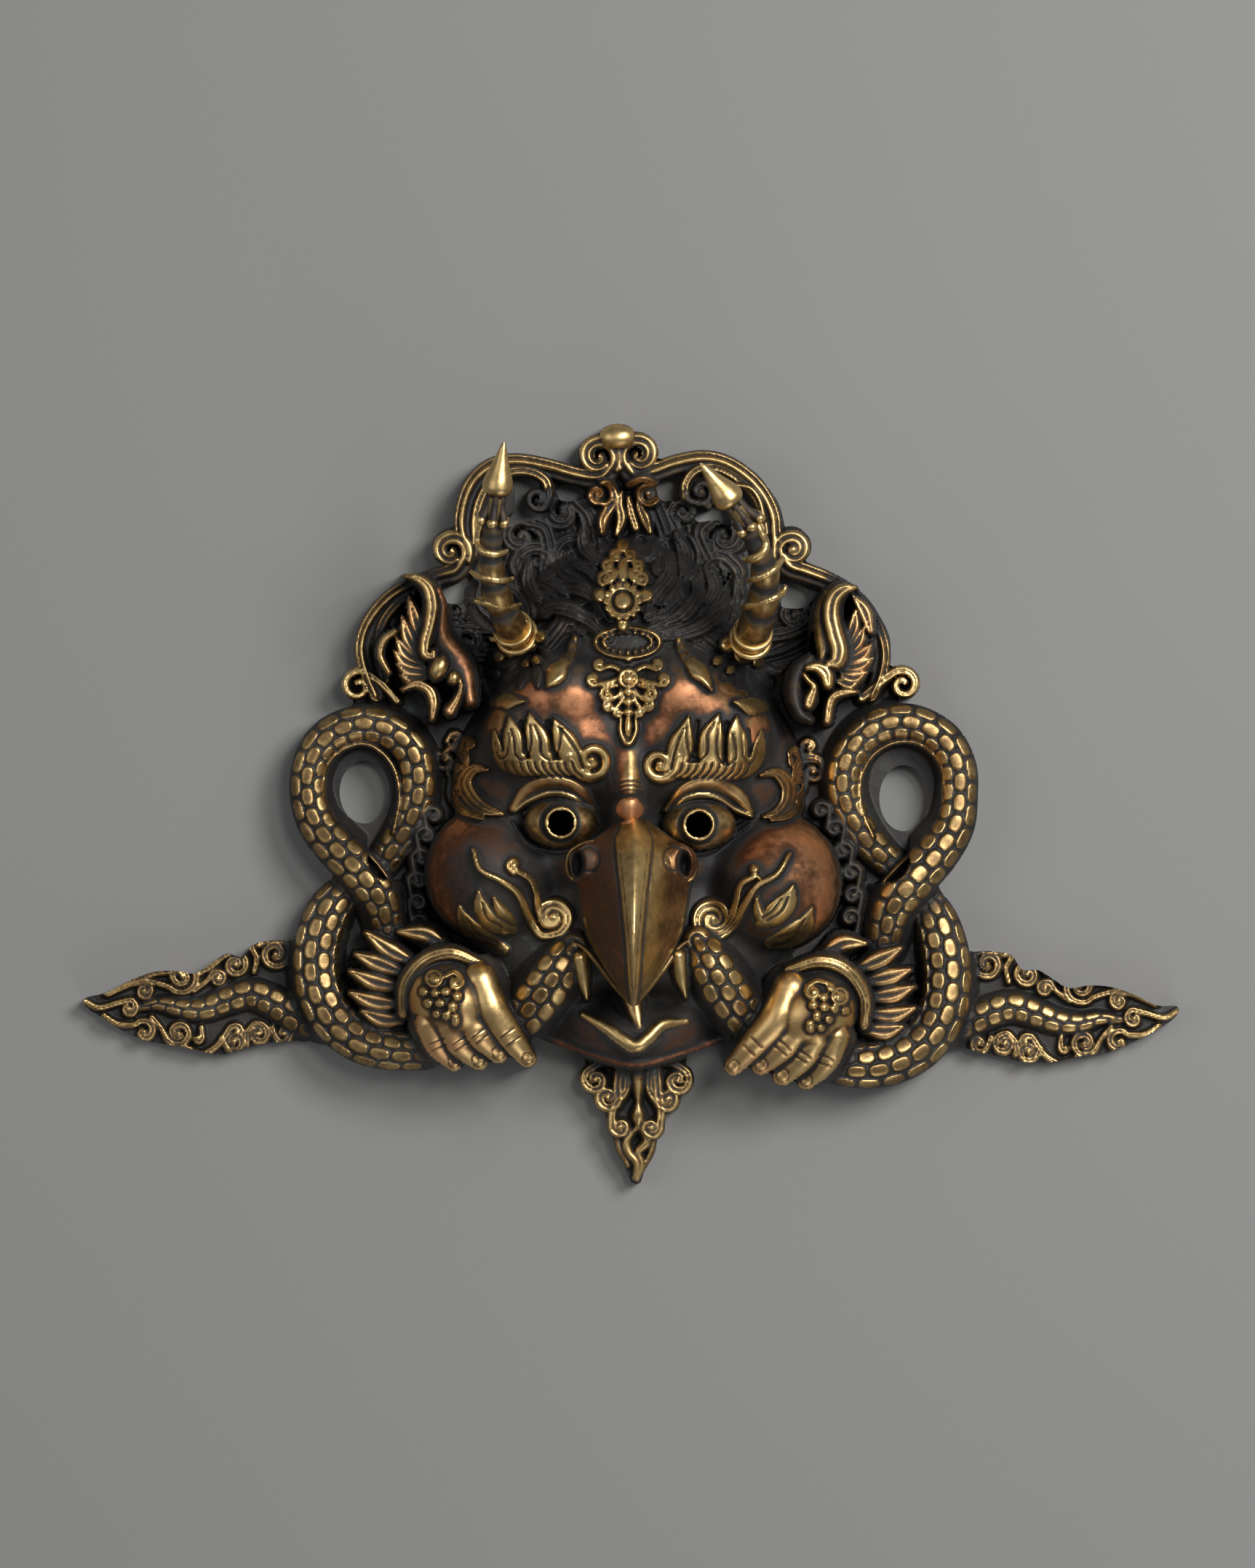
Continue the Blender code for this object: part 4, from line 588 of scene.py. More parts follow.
# Locks: stem, eye of the curl, turns and the half widths of the bundle of strands.
LOCKS = [
    ([(-10.6, 63), (-10.2, 69), (-11.3, 74.6), (-14.4, 78.2)], (-18, 75.8), 1.25, (3.2, 2.8, 0.7)),
    ([(-22.4, 61), (-21.6, 66), (-23, 71.2), (-27.2, 72.6)], (-29, 69.4), 1.1, (2.8, 2.4, 0.8)),
    ([(-8.6, 56.6), (-12.6, 58.6), (-17.6, 60.8), (-19.2, 64.6)], (-14.8, 64.6), -1.3,
     (2.6, 2.2, 0.8)),
    ([(-16, 49), (-20.6, 54.4), (-26.6, 57.6), (-29.4, 61.4)], (-24.4, 61.8), -1.25,
     (3.4, 2.2, 0.8)),
    ([(-22.6, 41.6), (-18.6, 46.6), (-18, 50.4), (-20, 53.8)], (-22.4, 51.2), 1.1, (2.6, 1.9, 0.9)),
    ([(-8.4, 49), (-8.6, 53), (-10.6, 56)], (-12.2, 54), 1.1, (1.8, 1.3, 0.7)),
    ([(-33, 37), (-38.6, 38.4), (-42.6, 38.2), (-45.8, 40)], (-42.6, 41.9), -1.2, (2.4, 1.7, 0.8)),
    ([(-37, 45.6), (-42.4, 45.8), (-47.6, 46.6)], (-46, 49.4), -1.25, (2.2, 1.6, 0.8)),
    ([(7.4, 61), (9.6, 66), (8.8, 71), (6.6, 77)], (6.2, 78), 0.2, (2.6, 2.8, 1.2)),
    ([(12.4, 67), (12.2, 71.4), (10.3, 75)], (13.6, 75.7), -1.3, (1.6, 1.3, 0.7)),
    ([(10, 53.6), (12.6, 59.4), (15.6, 63.6), (14.6, 67.2)], (10.9, 65), 1.3, (3.0, 2.2, 0.8)),
    ([(21.6, 62.4), (19.6, 66.4), (18.2, 70.6), (20.6, 73)], (24.2, 69.4), -1.1, (2.6, 2.8, 0.8)),
    ([(18.6, 50.4), (25, 54.6), (27.2, 59.6), (24.6, 63)], (22.1, 60.5), 1.25, (3.2, 2.2, 0.8)),
    ([(25, 41.6), (18.4, 46.4), (13.4, 51), (11.2, 56)], (11.6, 57), -0.2, (3.2, 3.0, 1.6)),
    ([(23, 46), (17.8, 46.8), (14.6, 50.4)], (18.2, 50.8), -1.25, (1.8, 1.4, 0.8)),
    ([(4.4, 48.4), (9.4, 50.2), (10.6, 54)], (7.8, 53.6), 1.2, (1.6, 1.2, 0.7)),
    ([(34, 43.4), (40.6, 44.4), (45.2, 46.6)], (42.4, 48.8), 1.35, (2.4, 1.7, 0.8)),
]
HAIR_FLOWS = [
    [(-6, 43), (-11, 46.6), (-17, 46), (-24, 41)], [(-5, 48), (-9, 52), (-14, 57), (-15, 62)],
    [(-13, 45), (-16, 51), (-22, 57), (-25, 65), (-22, 71)],
    [(-26, 45), (-29, 52), (-32, 58), (-31, 65), (-32, 70)],
    [(-5, 57), (-7, 63), (-9.4, 69), (-8.6, 76)], [(-4, 66), (-7, 70), (-9, 76), (-12, 80)],
    [(-30, 40), (-35, 43.6), (-41, 45.6), (-46, 45)], [(-36, 34), (-42, 35.6), (-47, 39)],
    [(-33, 46), (-38, 49), (-41, 52)], [(-14, 67), (-16.6, 71), (-15.4, 76)],
    [(-24, 72), (-20, 73), (-16, 72)], [(-18, 60), (-21, 66), (-19, 73)],
    [(5, 45), (10, 48), (16, 44), (22, 40)], [(4, 50), (8, 55), (12, 59), (17, 64)],
    [(8, 43.6), (14, 50), (20, 56), (24, 58)], [(17, 55), (19, 61), (17.4, 67), (17, 72)],
    [(5, 57), (7, 63), (8, 69), (7, 76)], [(12, 66), (15, 71), (12, 76)],
    [(21, 65), (24.6, 67), (27, 66)], [(25, 47), (28, 53), (28.6, 58), (28, 64)],
    [(34, 39), (40, 41.6), (46, 44)], [(36, 35), (42, 36), (46, 39)],
    [(24, 42), (20, 46), (17, 50)], [(37, 47), (40, 49), (43, 46)],
]
# Locks of four combed strands over the top of the head: where each runs, and its half width.
COMBED = [
    ([(-7, 44), (-11, 47.6), (-15.4, 50), (-20.4, 50.6), (-24.8, 48.4)], 2.4),
    ([(-5.4, 48), (-8, 52.6), (-12.6, 55.6), (-18, 56.6), (-23, 58.6)], 2.4),
    ([(-8, 57), (-10.6, 60.6), (-15, 62.4)], 2.0),
    ([(-28, 45), (-27, 50), (-29, 54.6), (-33, 57)], 2.2),
    ([(-24.6, 53), (-27, 57.4), (-26.6, 63)], 2.0), ([(-9, 63), (-12.4, 66.6), (-13, 71)], 2.0),
    ([(4, 44.6), (9.4, 46.4), (14, 49.4), (17, 54), (16.4, 59)], 2.4),
    ([(3.6, 50), (6, 55), (9.6, 59.4), (10, 64)], 2.2),
    ([(9, 43.4), (15, 44.4), (20.4, 47), (24.6, 51)], 2.4),
    ([(20, 52.6), (21.6, 57), (19.4, 61.6)], 2.0), ([(26.8, 48), (28, 53), (27.6, 58.6)], 2.0),
    ([(13.4, 60), (13.6, 65), (11.6, 70)], 2.0),
]
CROWN_LEAVES = [
    [(-7.6, 70.4, 0.7), (-7.2, 74, 1.5), (-5.4, 77.4, 1.7), (-4.5, 80, 1.5), (-5.6, 82.8, 1.1),
     (-7.8, 83.4, 0.5)],
    [(-3.8, 70, 0.7), (-2.6, 74, 1.5), (-3.2, 77.6, 1.3), (-2.6, 81, 0.5)],
    [(-0.8, 79.6, 0.6), (-0.2, 76, 1.2), (1.2, 71.6, 1.1)],
    [(1.8, 79.2, 0.6), (2.2, 77, 1.2), (3.6, 73.6, 1.4), (4.8, 70.4, 0.7)],
]
CROWN_CURLS = [
    ([(-0.4, 83), (3.2, 84.3), (6.8, 82.4)], (4.3, 80.6), -1.35, (0.9, 1.2, 0.8)),
    ([(-5.0, 79), (-6.6, 77.9), (-8.4, 78.2)], (-8.9, 80.3), -1.0, (0.7, 0.9, 0.9)),
]

# Domes of the head: finish, place, half sizes, heights of foot and top, and how full the dome is.
HEAD_DOMES = [
    ("hair", -1.6, 24, 38, 44, PLATE, 40, 0.8), ("skin", -0.8, 4, 46, 38, PLATE, 40, 0.55),
    ("dark", 0.4, -34, 42, 34, PLATE, 31, 0.45),
]
# Bosses of the brow: how far off the middle line, y, half sizes, heights of foot and top.
BROW_DOMES = [(18, 19, 18.5, 15, 33, 43.5), (15, 29, 12, 9, 37, 45)]
EYES = [(-18.3, -5.2), (17.6, -5.7)]
PUPIL = 3.3
# Half sizes of the eyeball, the height of its foot, and how far it bulges.
EYEBALL = (9.6, 6.6, 33, 7.0)
NOSE_BRIDGE = [
    (-1.2, 19, 3.6, -0.6), (-0.9, 12, 5.8, 1.8), (-0.6, 4, 4.8, 4.8), (-0.5, -2, 3.8, 7.2),
    (-0.4, -6, 4.2, 7.6),
]
NOSE_WRINKLES = (5.6, 4.4, 3.2)
CHEEKS = [(-36.5, -18.5, 17.5, 18.0), (37.0, -20.5, 18.0, 18.0)]
# Spots that tint the skin: rubbed to bright copper, left brown, or grey, and darker skin that also paints the
# shade of the left cheek; x, y, half sizes, finish, turn, strength.
SKIN_TINTS = [
    (-1, 26, 42, 15, "grey_skin", 0, 0.95), (-1, 8, 30, 8, "grey_skin", 0, 0.8),
    (-24.5, 27.5, 6, 6.5, "brow", 20, 0.8), (-14.2, 25.6, 6.4, 5.4, "salmon", -20, 1.0),
    (-10.4, 19.8, 4.0, 4.6, "salmon", -40, 0.95), (-6.6, 15.5, 3.4, 3, "brow", 0, 0.9),
    (12.4, 28, 6, 4.6, "salmon", 20, 1.0), (7.2, 21.5, 4.6, 6.2, "salmon", -40, 1.0),
    (19.4, 25.6, 7, 3.4, "salmon", -8, 0.9), (3.8, 15.8, 2.6, 3.4, "brow", -30, 0.9),
    # The two darker spots at x -38 and -46 are painted shade: the left cheek, turned from the light, is
    # darkened.
    (25, 29, 4, 3, "skin", -20, 0.7), (-38, -20, 19, 17, "dark_skin_and_shade", 0, 1.0),
    (-46, -16, 6, 12, "dark_skin_and_shade", 0, 0.8), (40, -12, 14, 8, "skin", 0, 0.8),
    (28, -22, 5, 8, "dark_skin_and_shade", 0, 0.7), (-26, -20, 5, 10, "grey_skin", 0, 0.8),
    (24, -18, 5, 6, "grey_skin", 0, 0.7),
]
# Brows, for the left then the right: flames that rise from a base band, the pits and thin lines cut in them.
BROW_FLAMES = [
    [[(-12, 8.4, 1.6), (-17, 9, 2.2), (-23, 9.2, 2.4), (-29, 9.4, 2.4), (-33, 11, 2.2),
      (-35.2, 15, 1.2), (-35.9, 18.4, 0.4)],
     [(-13.6, 8.6, 1.8), (-15.6, 12.6, 3.1), (-17.6, 16.2, 3.1), (-19.0, 19.0, 1.9),
      (-20.2, 21.8, 0.3)],
     [(-22.8, 10, 2.8), (-23.9, 14.4, 3.3), (-25.2, 18.2, 3.0), (-26.0, 20.8, 1.7),
      (-26.6, 23.4, 0.3)],
     [(-29.8, 10.4, 2.8), (-30.5, 14.6, 3.1), (-31, 17.8, 2.7), (-31.3, 20.2, 1.5),
      (-31.8, 22.6, 0.3)],
     [(-33.8, 11.4, 1.8), (-35, 15, 1.2), (-35.7, 18.8, 0.3)]],
    [[(9.6, 8.2, 1.6), (14, 8.4, 2.2), (20, 8.3, 2.4), (26, 8.1, 2.4), (31, 9.6, 2.2),
      (33.4, 13, 1.5), (34.2, 18, 0.5)],
     [(10.8, 8, 1.8), (12, 12, 3.1), (13.3, 16, 3.2), (14.2, 19.2, 1.8), (15.0, 22.6, 0.3)],
     [(20.8, 9, 2.9), (20.8, 14, 3.4), (21.2, 18, 3.0), (22, 20.6, 1.7), (22.7, 23.0, 0.3)],
     [(28, 9, 2.8), (27.6, 14, 3.0), (27.3, 17.8, 2.5), (27.2, 20.2, 1.4), (27.5, 22.6, 0.3)],
     [(32, 11, 1.6), (33.4, 15, 1.4), (34, 18.8, 0.4)]],
]
BROW_PITS = [
    [[(-21.9, 21), (-20.9, 17.4), (-20.8, 13.6)], [(-28.7, 21), (-27.9, 17.4), (-27.8, 13.2)],
     [(-33.5, 18.6), (-33.6, 13.6)]],
    [[(17.2, 21), (16.7, 17.4), (16.9, 13.6)], [(24.9, 20.6), (24.5, 16.4), (24.4, 12.8)],
     [(30.5, 18.8), (30.7, 12)]],
]
BROW_LINES = [
    [[(-18.2, 19.4), (-18.6, 15.6), (-19.4, 12.6), (-21.4, 11.2), (-23.5, 12.8), (-23.8, 16.4),
      (-25.2, 20)],
     [(-26.4, 20.2), (-26.2, 15.6), (-26.8, 12.6), (-28.6, 11.2), (-30.3, 12.8), (-30.6, 16),
      (-31.4, 19)],
     [(-32, 18), (-32, 14.6), (-32.6, 12.4), (-33.8, 11.4), (-35, 12.8), (-35.4, 16)],
     [(-12.6, 9), (-14, 13), (-16.4, 16.6), (-18.8, 19.8)]],
    [[(14.2, 19.8), (14.5, 15.6), (15.3, 12.6), (17.4, 11.2), (19.6, 12.6), (19.9, 15.6),
      (19.9, 18), (21.4, 20.8)],
     [(22.9, 20.6), (22.3, 16), (22.6, 12), (24.8, 9.8), (27.1, 11.6), (27.0, 15), (26.4, 18)],
     [(28.9, 19.4), (28.9, 14), (29.6, 11.4), (31, 10.2), (32.3, 12), (32.9, 15.4)],
     [(10.4, 8.8), (11.2, 12.6), (12.4, 16.6), (13.6, 19.4)]],
]
BROW_COMBS = [[(-15.5 - 1.95 * k, 10.6) for k in range(10)], [(13.3 + 1.95 * k, 10.2) for k in range(10)]]
BROW_SCROLLS = [
    ([(-16, 12), (-14.2, 8.4)], (-10.2, 11.1), 1.25), ([(12, 12), (10.6, 7.6)], (7.3, 10), -1.2),
]

# Eyes: the bulging fold over the lid, the lid's polished edge, and the thinner folds; x, y, half width.
EYE_FOLDS = [
    [("lid", 3.6,
      [(-31, -1.6, 1.0), (-26.4, 3.0, 2.4), (-19.5, 4.4, 2.8), (-13.6, 2.6, 2.2), (-10, -2, 1.0)]),
     ("gold", 4.6,
      [(-30.4, -2.2, 0.4), (-27, 0.2, 0.8), (-22, 2.1, 0.9), (-18, 2.1, 0.9), (-14, 0.5, 0.8),
       (-11.5, -2.8, 0.7), (-10.5, -6, 0.4)]),
     ("bronze", 4.0,
      [(-28, -2.8, 0.4), (-25, -0.8, 0.6), (-20, 0.5, 0.7), (-15.6, -0.6, 0.7), (-12.8, -4, 0.5)]),
     ("bronze", 2.6,
      [(-28.4, -4, 0.4), (-25, -7.6, 0.7), (-21, -9.7, 0.8), (-17, -10.2, 0.8), (-13, -8.9, 0.7),
       (-10.8, -6, 0.5)]),
     ("dark", 1.6,
      [(-31, -5, 0.4), (-26.6, -10.4, 0.7), (-20, -12.6, 0.8), (-14, -11.6, 0.7),
       (-10.6, -8.6, 0.5)])],
    [("lid", 3.6, [(31, -2.4, 1.0), (27, 2.0, 2.4), (20, 4.2, 2.8), (13.8, 2.8, 2.2), (9, -2, 1.0)]),
     ("gold", 4.6,
      [(8.8, -4.8, 0.5), (11, -1.6, 0.8), (14.5, 1.0, 0.9), (19, 1.8, 1.0), (23, 0.8, 0.9),
       (27, -1.8, 0.8), (31.4, -3.6, 0.4)]),
     ("bronze", 4.0,
      [(10.6, -5, 0.5), (12.8, -2, 0.7), (17, -0.4, 0.7), (21.4, -0.9, 0.7), (26, -3.6, 0.4)]),
     ("bronze", 2.6,
      [(9.4, -6.4, 0.5), (12, -9.4, 0.7), (16.5, -10.7, 0.8), (21, -9.6, 0.8), (25, -6.6, 0.7),
       (28.6, -4.4, 0.4)]),
     ("dark", 1.6,
      [(7.8, -8, 0.4), (12, -12, 0.7), (17, -13.2, 0.8), (22, -12, 0.7), (27, -8.4, 0.6),
       (31, -5.6, 0.4)])],
]
MOUSTACHES = [
    ([(-41.2, -12.2), (-39.4, -17.4), (-34.2, -20.2), (-29.6, -23.6), (-26.8, -29.4),
      (-23.6, -34.4), (-19.4, -34.2)],
     (-20.6, -29.8), 1.15, (0.6, 2.1, 1.5)),
    ([(-29.6, -17.8), (-26.2, -20), (-24.6, -24), (-24.2, -28), (-22.4, -31.6)], (-20.6, -29.8),
     0.6, (0.9, 1.2, 0.8)),
    ([(41.2, -13.4), (38, -18.6), (32.8, -21.6), (29.6, -26.4), (26.8, -31.8), (22.6, -35),
      (18.4, -33.8)],
     (21.2, -30.2), -1.15, (0.6, 2.1, 1.6)),
    ([(31.6, -19.4), (28.4, -21.4), (27.2, -26), (25.8, -30.2), (23.6, -32.8)], (21.4, -30.4),
     -0.6, (0.9, 1.2, 0.8)),
]
MOUSTACHE_BEADS = [((-30.6, -18.4), (-30.2, -16.2)), ((33.2, -19.6), (31.9, -17.4))]
CHEEK_FLAMES = [
    [(-39.8, -23.0, 0.4), (-38.9, -27.4, 2.2), (-35.6, -31.2, 2.9), (-30.8, -33.2, 1.2)],
    [(-44.8, -27.0, 0.4), (-42.8, -31.8, 2.1), (-38.8, -35.8, 3.0), (-33.2, -38.4, 1.6)],
    [(-35.8, -24.6, 0.4), (-34.2, -27.8, 1.6), (-31, -31.0, 1.1)],
    [(42.2, -21.4, 0.4), (40.6, -25.6, 2.6), (37.2, -29.2, 2.9), (33.2, -31.8, 1.2)],
    [(47.2, -27.6, 0.4), (45, -32.2, 2.4), (41, -35.2, 2.9), (36, -36.6, 1.4)],
    [(32.6, -24.8, 0.4), (33.0, -28.4, 1.4), (34.2, -31.6, 0.9)],
]
CHEEK_LINES = [
    [(-38.9, -26), (-37.6, -30), (-33.8, -32.4)], [(-36.8, -26.8), (-34.6, -30.0), (-31.2, -31.8)],
    [(-43.0, -30), (-39.8, -34.2), (-35.4, -36.2)],
    [(-41.8, -33.6), (-38.2, -37.4), (-33.6, -39.2)], [(40.9, -24.4), (39.0, -28.2), (35.2, -30.8)],
    [(39, -25.2), (36.4, -28.4), (34, -30)], [(45.4, -30.2), (42.6, -33.6), (38.4, -35)],
    [(43.4, -34), (40.2, -36.4), (36.8, -37.2)],
]
# Small scroll ears below the horns: crescents of three reeds, then curls with a bead.
SIDE_CRESCENTS = [
    [(-37.4, 8.6, 0.6), (-41, 8.8, 1.6), (-43.6, 5.6, 2.3), (-42.2, 1.6, 2.4), (-38.6, -1.4, 1.9),
     (-33.6, -2.8, 0.7)],
    [(-47.4, 5.8, 0.7), (-47, 1.8, 1.4), (-43.8, -1.8, 1.5), (-39, -3.8, 0.9)],
    [(-49.4, 12.6, 0.6), (-46.4, 14.4, 1.5), (-43.6, 12.8, 1.6), (-43, 9.6, 0.9)],
    [(33.8, 7.2, 0.6), (37.8, 7.8, 1.6), (40.8, 4.6, 2.2), (40.6, 0.4, 2.1), (38, -2.6, 1.6),
     (34.6, -3.6, 0.7)],
    [(36.6, -4.4, 0.7), (40.4, -3.2, 1.4), (43.4, -0.9, 1.6), (43.8, 0.2, 1.2)],
    [(42.2, 4, 0.6), (43, 8.8, 1.3), (45.4, 11.6, 1.7), (49, 11, 1.4), (50, 8, 0.8)],
]
SIDE_EARS = [
    ([(-50.4, 13), (-50.6, 10)], (-48.4, 11), 0.9, (0.8, 0.9, 0.6)),
    ([(-47.6, 9.6), (-47.6, 7.4)], (-45.6, 8.4), 1.1, (0.9, 0.9, 0.6)),
    ([(-48, 16), (-46.8, 18)], (-45.8, 16.4), -0.7, (0.9, 1.2, 0.7)),
    ([(-43.8, 13.4), (-44, 15.8)], (-42.4, 15.2), -0.9, (0.7, 0.9, 0.6)),
    ([(-47.6, 4.6), (-46.2, 2.2)], (-45.4, 3.8), 1.0, (0.7, 0.8, 0.5)),
    ([(49.8, 9.4), (49, 6.6)], (47.2, 8), -1.0, (0.9, 0.9, 0.6)),
    ([(43.4, 1.6), (45, 3.6), (45.4, 6.4)], (43.6, 6.2), 0.9, (1.0, 1.0, 0.6)),
    ([(44.4, 12), (44.4, 15)], (46.2, 14.6), -0.9, (0.9, 1.1, 0.7)),
    ([(41.6, 10), (41.2, 13)], (42.6, 13), -0.8, (0.7, 0.9, 0.6)),
]
SIDE_CURLS = [
    (-51.6, -3.4, 2.0), (-53.6, -8.6, 2.1), (-54.6, -14.4, 2.2), (-55.6, -20.4, 2.2),
    (-55.6, -26.2, 2.1), (-55, -31.4, 2.0), (49.4, -2, 2.0), (53, -6.8, 2.1), (55, -12.6, 2.2),
    (57.2, -18.2, 2.2), (57.6, -24.2, 2.1), (57, -30, 2.0),
]

# Tall ears: rolled back, rim with its hook, ruffle of leaves, waves and knobs below; x, y, half width.
EAR_BACKS = [
    ("ear",
     [(-50.2, 55.4, 0.8), (-49.6, 51, 1.9), (-49.8, 46, 2.2), (-48.8, 41.4, 3.0), (-46, 37, 3.4),
      (-43.6, 32.4, 2.8), (-42, 26.6, 1.8)]),
    ("bronze",
     [(50.8, 54.6, 0.8), (50.0, 50, 2.2), (49.9, 45, 2.5), (50.2, 40.6, 2.2), (49.6, 37.6, 1.2)]),
    ("hair",
     [(46.6, 37.6, 1.2), (43.4, 34, 1.9), (42.4, 28.6, 2.0), (43.8, 23.6, 1.6), (46.6, 21.6, 0.9)]),
]
EAR_RIMS = [
    [(-59.2, 59.2, 0.4), (-55.6, 58.4, 1.0), (-52.8, 55.8, 1.3), (-51.8, 51, 1.4),
     (-52.6, 46, 1.2), (-53.7, 41.8, 1.2), (-53.6, 38.8, 1.1), (-51.9, 38.2, 0.9),
     (-51.6, 39.4, 0.6)],
    [(58.6, 56.2, 0.4), (55.2, 55.6, 1.3), (52.7, 53.2, 1.7), (51.9, 49, 1.8), (52.9, 44, 1.8),
     (54, 40, 1.8), (53.4, 37, 1.7), (51.4, 36.2, 0.8)],
]
EAR_LEAVES = [
    [(-57.8, 53.4), (-56.4, 48), (-54.8, 42)], [(-59.6, 48.6), (-58.2, 43), (-55.4, 38.4)],
    [(-61.4, 43.2), (-58.8, 39), (-55, 36.6)], [(-61.9, 39.6), (-58.8, 36.8), (-54, 35.4)],
    [(-61.3, 36.2), (-58, 34.6), (-53.6, 34)], [(-60.3, 33.4), (-57.4, 32.6), (-53.6, 32.8)],
    [(57.6, 54), (60.6, 50), (62.2, 45)], [(58.2, 50.2), (57.9, 46), (56, 41.4)],
    [(60.6, 45.8), (59, 42), (56.2, 38.8)], [(62.6, 41.4), (60, 38.6), (56.2, 36.8)],
    [(62.8, 37.6), (59.4, 35.8), (55.8, 35)], [(61.2, 34), (58, 32.6), (55, 33.2)],
    [(59.2, 31.4), (56.6, 31), (54, 31.6)],
]
EAR_WAVES = [
    ("leaf", 24,
     [(-59.4, 29.6, 0.6), (-56, 31.0, 1.3), (-52.8, 29.6, 1.5), (-51.5, 26.4, 1.4),
      (-51.8, 22, 0.8)]),
    ("leaf", 24, [(58.6, 29, 0.6), (54.6, 28.7, 1.2), (52, 26.8, 1.3), (51, 21.4, 1.1)]),
    ("leaf", 27, [(-45.2, 33.4, 0.7), (-44.4, 30.4, 0.8), (-45.4, 27, 1.1), (-47.2, 24, 1.5)]),
    ("brass", 28, [(45.8, 35.2, 0.8), (48.4, 35.4, 1.5), (50.6, 33.8, 1.9), (51.2, 30.9, 1.3)]),
    ("leaf", 27,
     [(45.0, 33.4, 0.7), (46.2, 31.8, 0.8), (47.6, 30.2, 1.0), (46.6, 27, 1.6), (46.2, 25.6, 1.4)]),
    ("leaf", 24, [(-61.6, 44.6, 0.8), (-64.4, 42.4, 1.0), (-65.4, 38.4, 0.9), (-63.2, 34, 0.7)]),
]
EAR_KNOBS = [(-50.1, 35.3, 2.1, 3.2, -20), (-46.4, 32.6, 1.6, 1.9, 0)]

PALMS = [(-46.5, -52.0, 13.6, 11.4, 37), (46.8, -54.8, 13.6, 11.4, 37)]
FINGERS = [
    [[(-39.6, -46.5, 4.8, 34.5), (-36.6, -53.6, 4.6, 35.5), (-31.5, -61, 3.6, 33),
      (-27, -66.6, 2.5, 29.5)],
     [(-43, -56, 3.9, 34.6), (-39.4, -60.8, 3.6, 33.6), (-34.6, -65.2, 2.8, 29.5)],
     [(-47.5, -58, 3.8, 33.8), (-44.6, -62.8, 3.5, 32.2), (-39.8, -67.0, 2.8, 28)],
     [(-52.6, -57.6, 3.8, 32.4), (-50.4, -63.0, 3.4, 30.6), (-46.2, -67.4, 2.6, 26)]],
    [[(41.4, -48.8, 4.8, 34.5), (38, -56.4, 4.6, 35.5), (31.5, -63.4, 3.6, 33),
      (26.6, -68.6, 2.5, 29.5)],
     [(43.6, -59, 3.9, 34.6), (39.4, -63.8, 3.6, 33.6), (33.8, -68.2, 2.8, 29.5)],
     [(48, -61.2, 3.8, 33.8), (44.8, -66.2, 3.5, 32.2), (39.4, -71.0, 2.8, 28)],
     [(53, -60.8, 3.8, 32.4), (50.6, -67.2, 3.4, 30.6), (45.6, -72.2, 2.6, 26)]],
]
CUFFS = [
    [(-59.4, -55, 1.3, 24), (-58.8, -47.5, 1.7, 27), (-54, -41.4, 1.8, 30), (-47, -39.2, 1.8, 31),
     (-39.5, -42, 1.3, 30)],
    [(60.6, -58, 1.3, 24), (60.6, -50.5, 1.7, 27), (56.4, -44, 1.8, 30), (49.5, -41.4, 1.8, 31),
     (41, -43.6, 1.3, 30)],
]
# The ornament on the back of a hand: a ringed boss, a curl and a lozenge of beads; x, y, half sizes.
HAND_BOSSES = [(-51.4, -45.8), (54.4, -50.4)]
HAND_CURLS = [
    ([(-48.4, -45.2), (-46.2, -44.2), (-44.4, -45.6)], (-45.8, -46.8), -1.0),
    ([(51, -47), (48.4, -46.4), (46.2, -47.6)], (47.4, -49.2), 1.0),
]
HAND_BEADS = [
    (-54.2, -49.2, 1.2, 1.2), (-51.2, -49.6, 1.1, 1.1), (-48.4, -49.2, 1.4, 1.2),
    (-45.4, -50.4, 1.3, 1.3), (-53.0, -52.2, 1.2, 1.2), (-49.8, -52.2, 1.3, 1.1),
    (-46.6, -53.2, 1.3, 1.5), (-50.8, -55.0, 1.0, 1.0), (-48.2, -55.4, 1.2, 1.2),
    (-45.8, -56.6, 1.1, 1.7), (52.0, -48.0, 1.2, 1.2), (50.2, -50.6, 1.3, 1.1),
    (53.0, -53.6, 1.2, 1.2), (47.4, -52.6, 1.3, 1.3), (50.4, -53.2, 1.3, 1.3),
    (48.4, -55.6, 1.2, 1.4), (51.4, -56.4, 1.1, 1.1), (46.6, -58.2, 1.2, 1.7),
    (49.4, -58.6, 1.0, 1.0), (55.8, -54.2, 1.1, 1.1),
]
SPRAYS = [
    [(-58, -41), (-63, -38.6), (-69, -34)], [(-60.5, -44), (-66, -42), (-71.6, -39.6)],
    [(-61, -48), (-67, -46.8), (-73, -44)], [(-61.5, -52.4), (-67, -52), (-73, -49.6)],
    [(-48, -38), (-53.5, -34.4), (-60.6, -33.6)], [(-60, -56.6), (-65, -56.6), (-70, -54.4)],
    [(59.6, -43), (64.6, -41), (70, -38)], [(61.5, -46.6), (67, -45.4), (72.4, -43.6)],
    [(62.4, -50.6), (68, -50), (73.4, -48)], [(62.4, -55), (68, -55.4), (73.6, -53.6)],
    [(49.6, -40), (55, -36.8), (61, -36.6)], [(61, -59), (66, -59.6), (70.4, -58.4)],
]

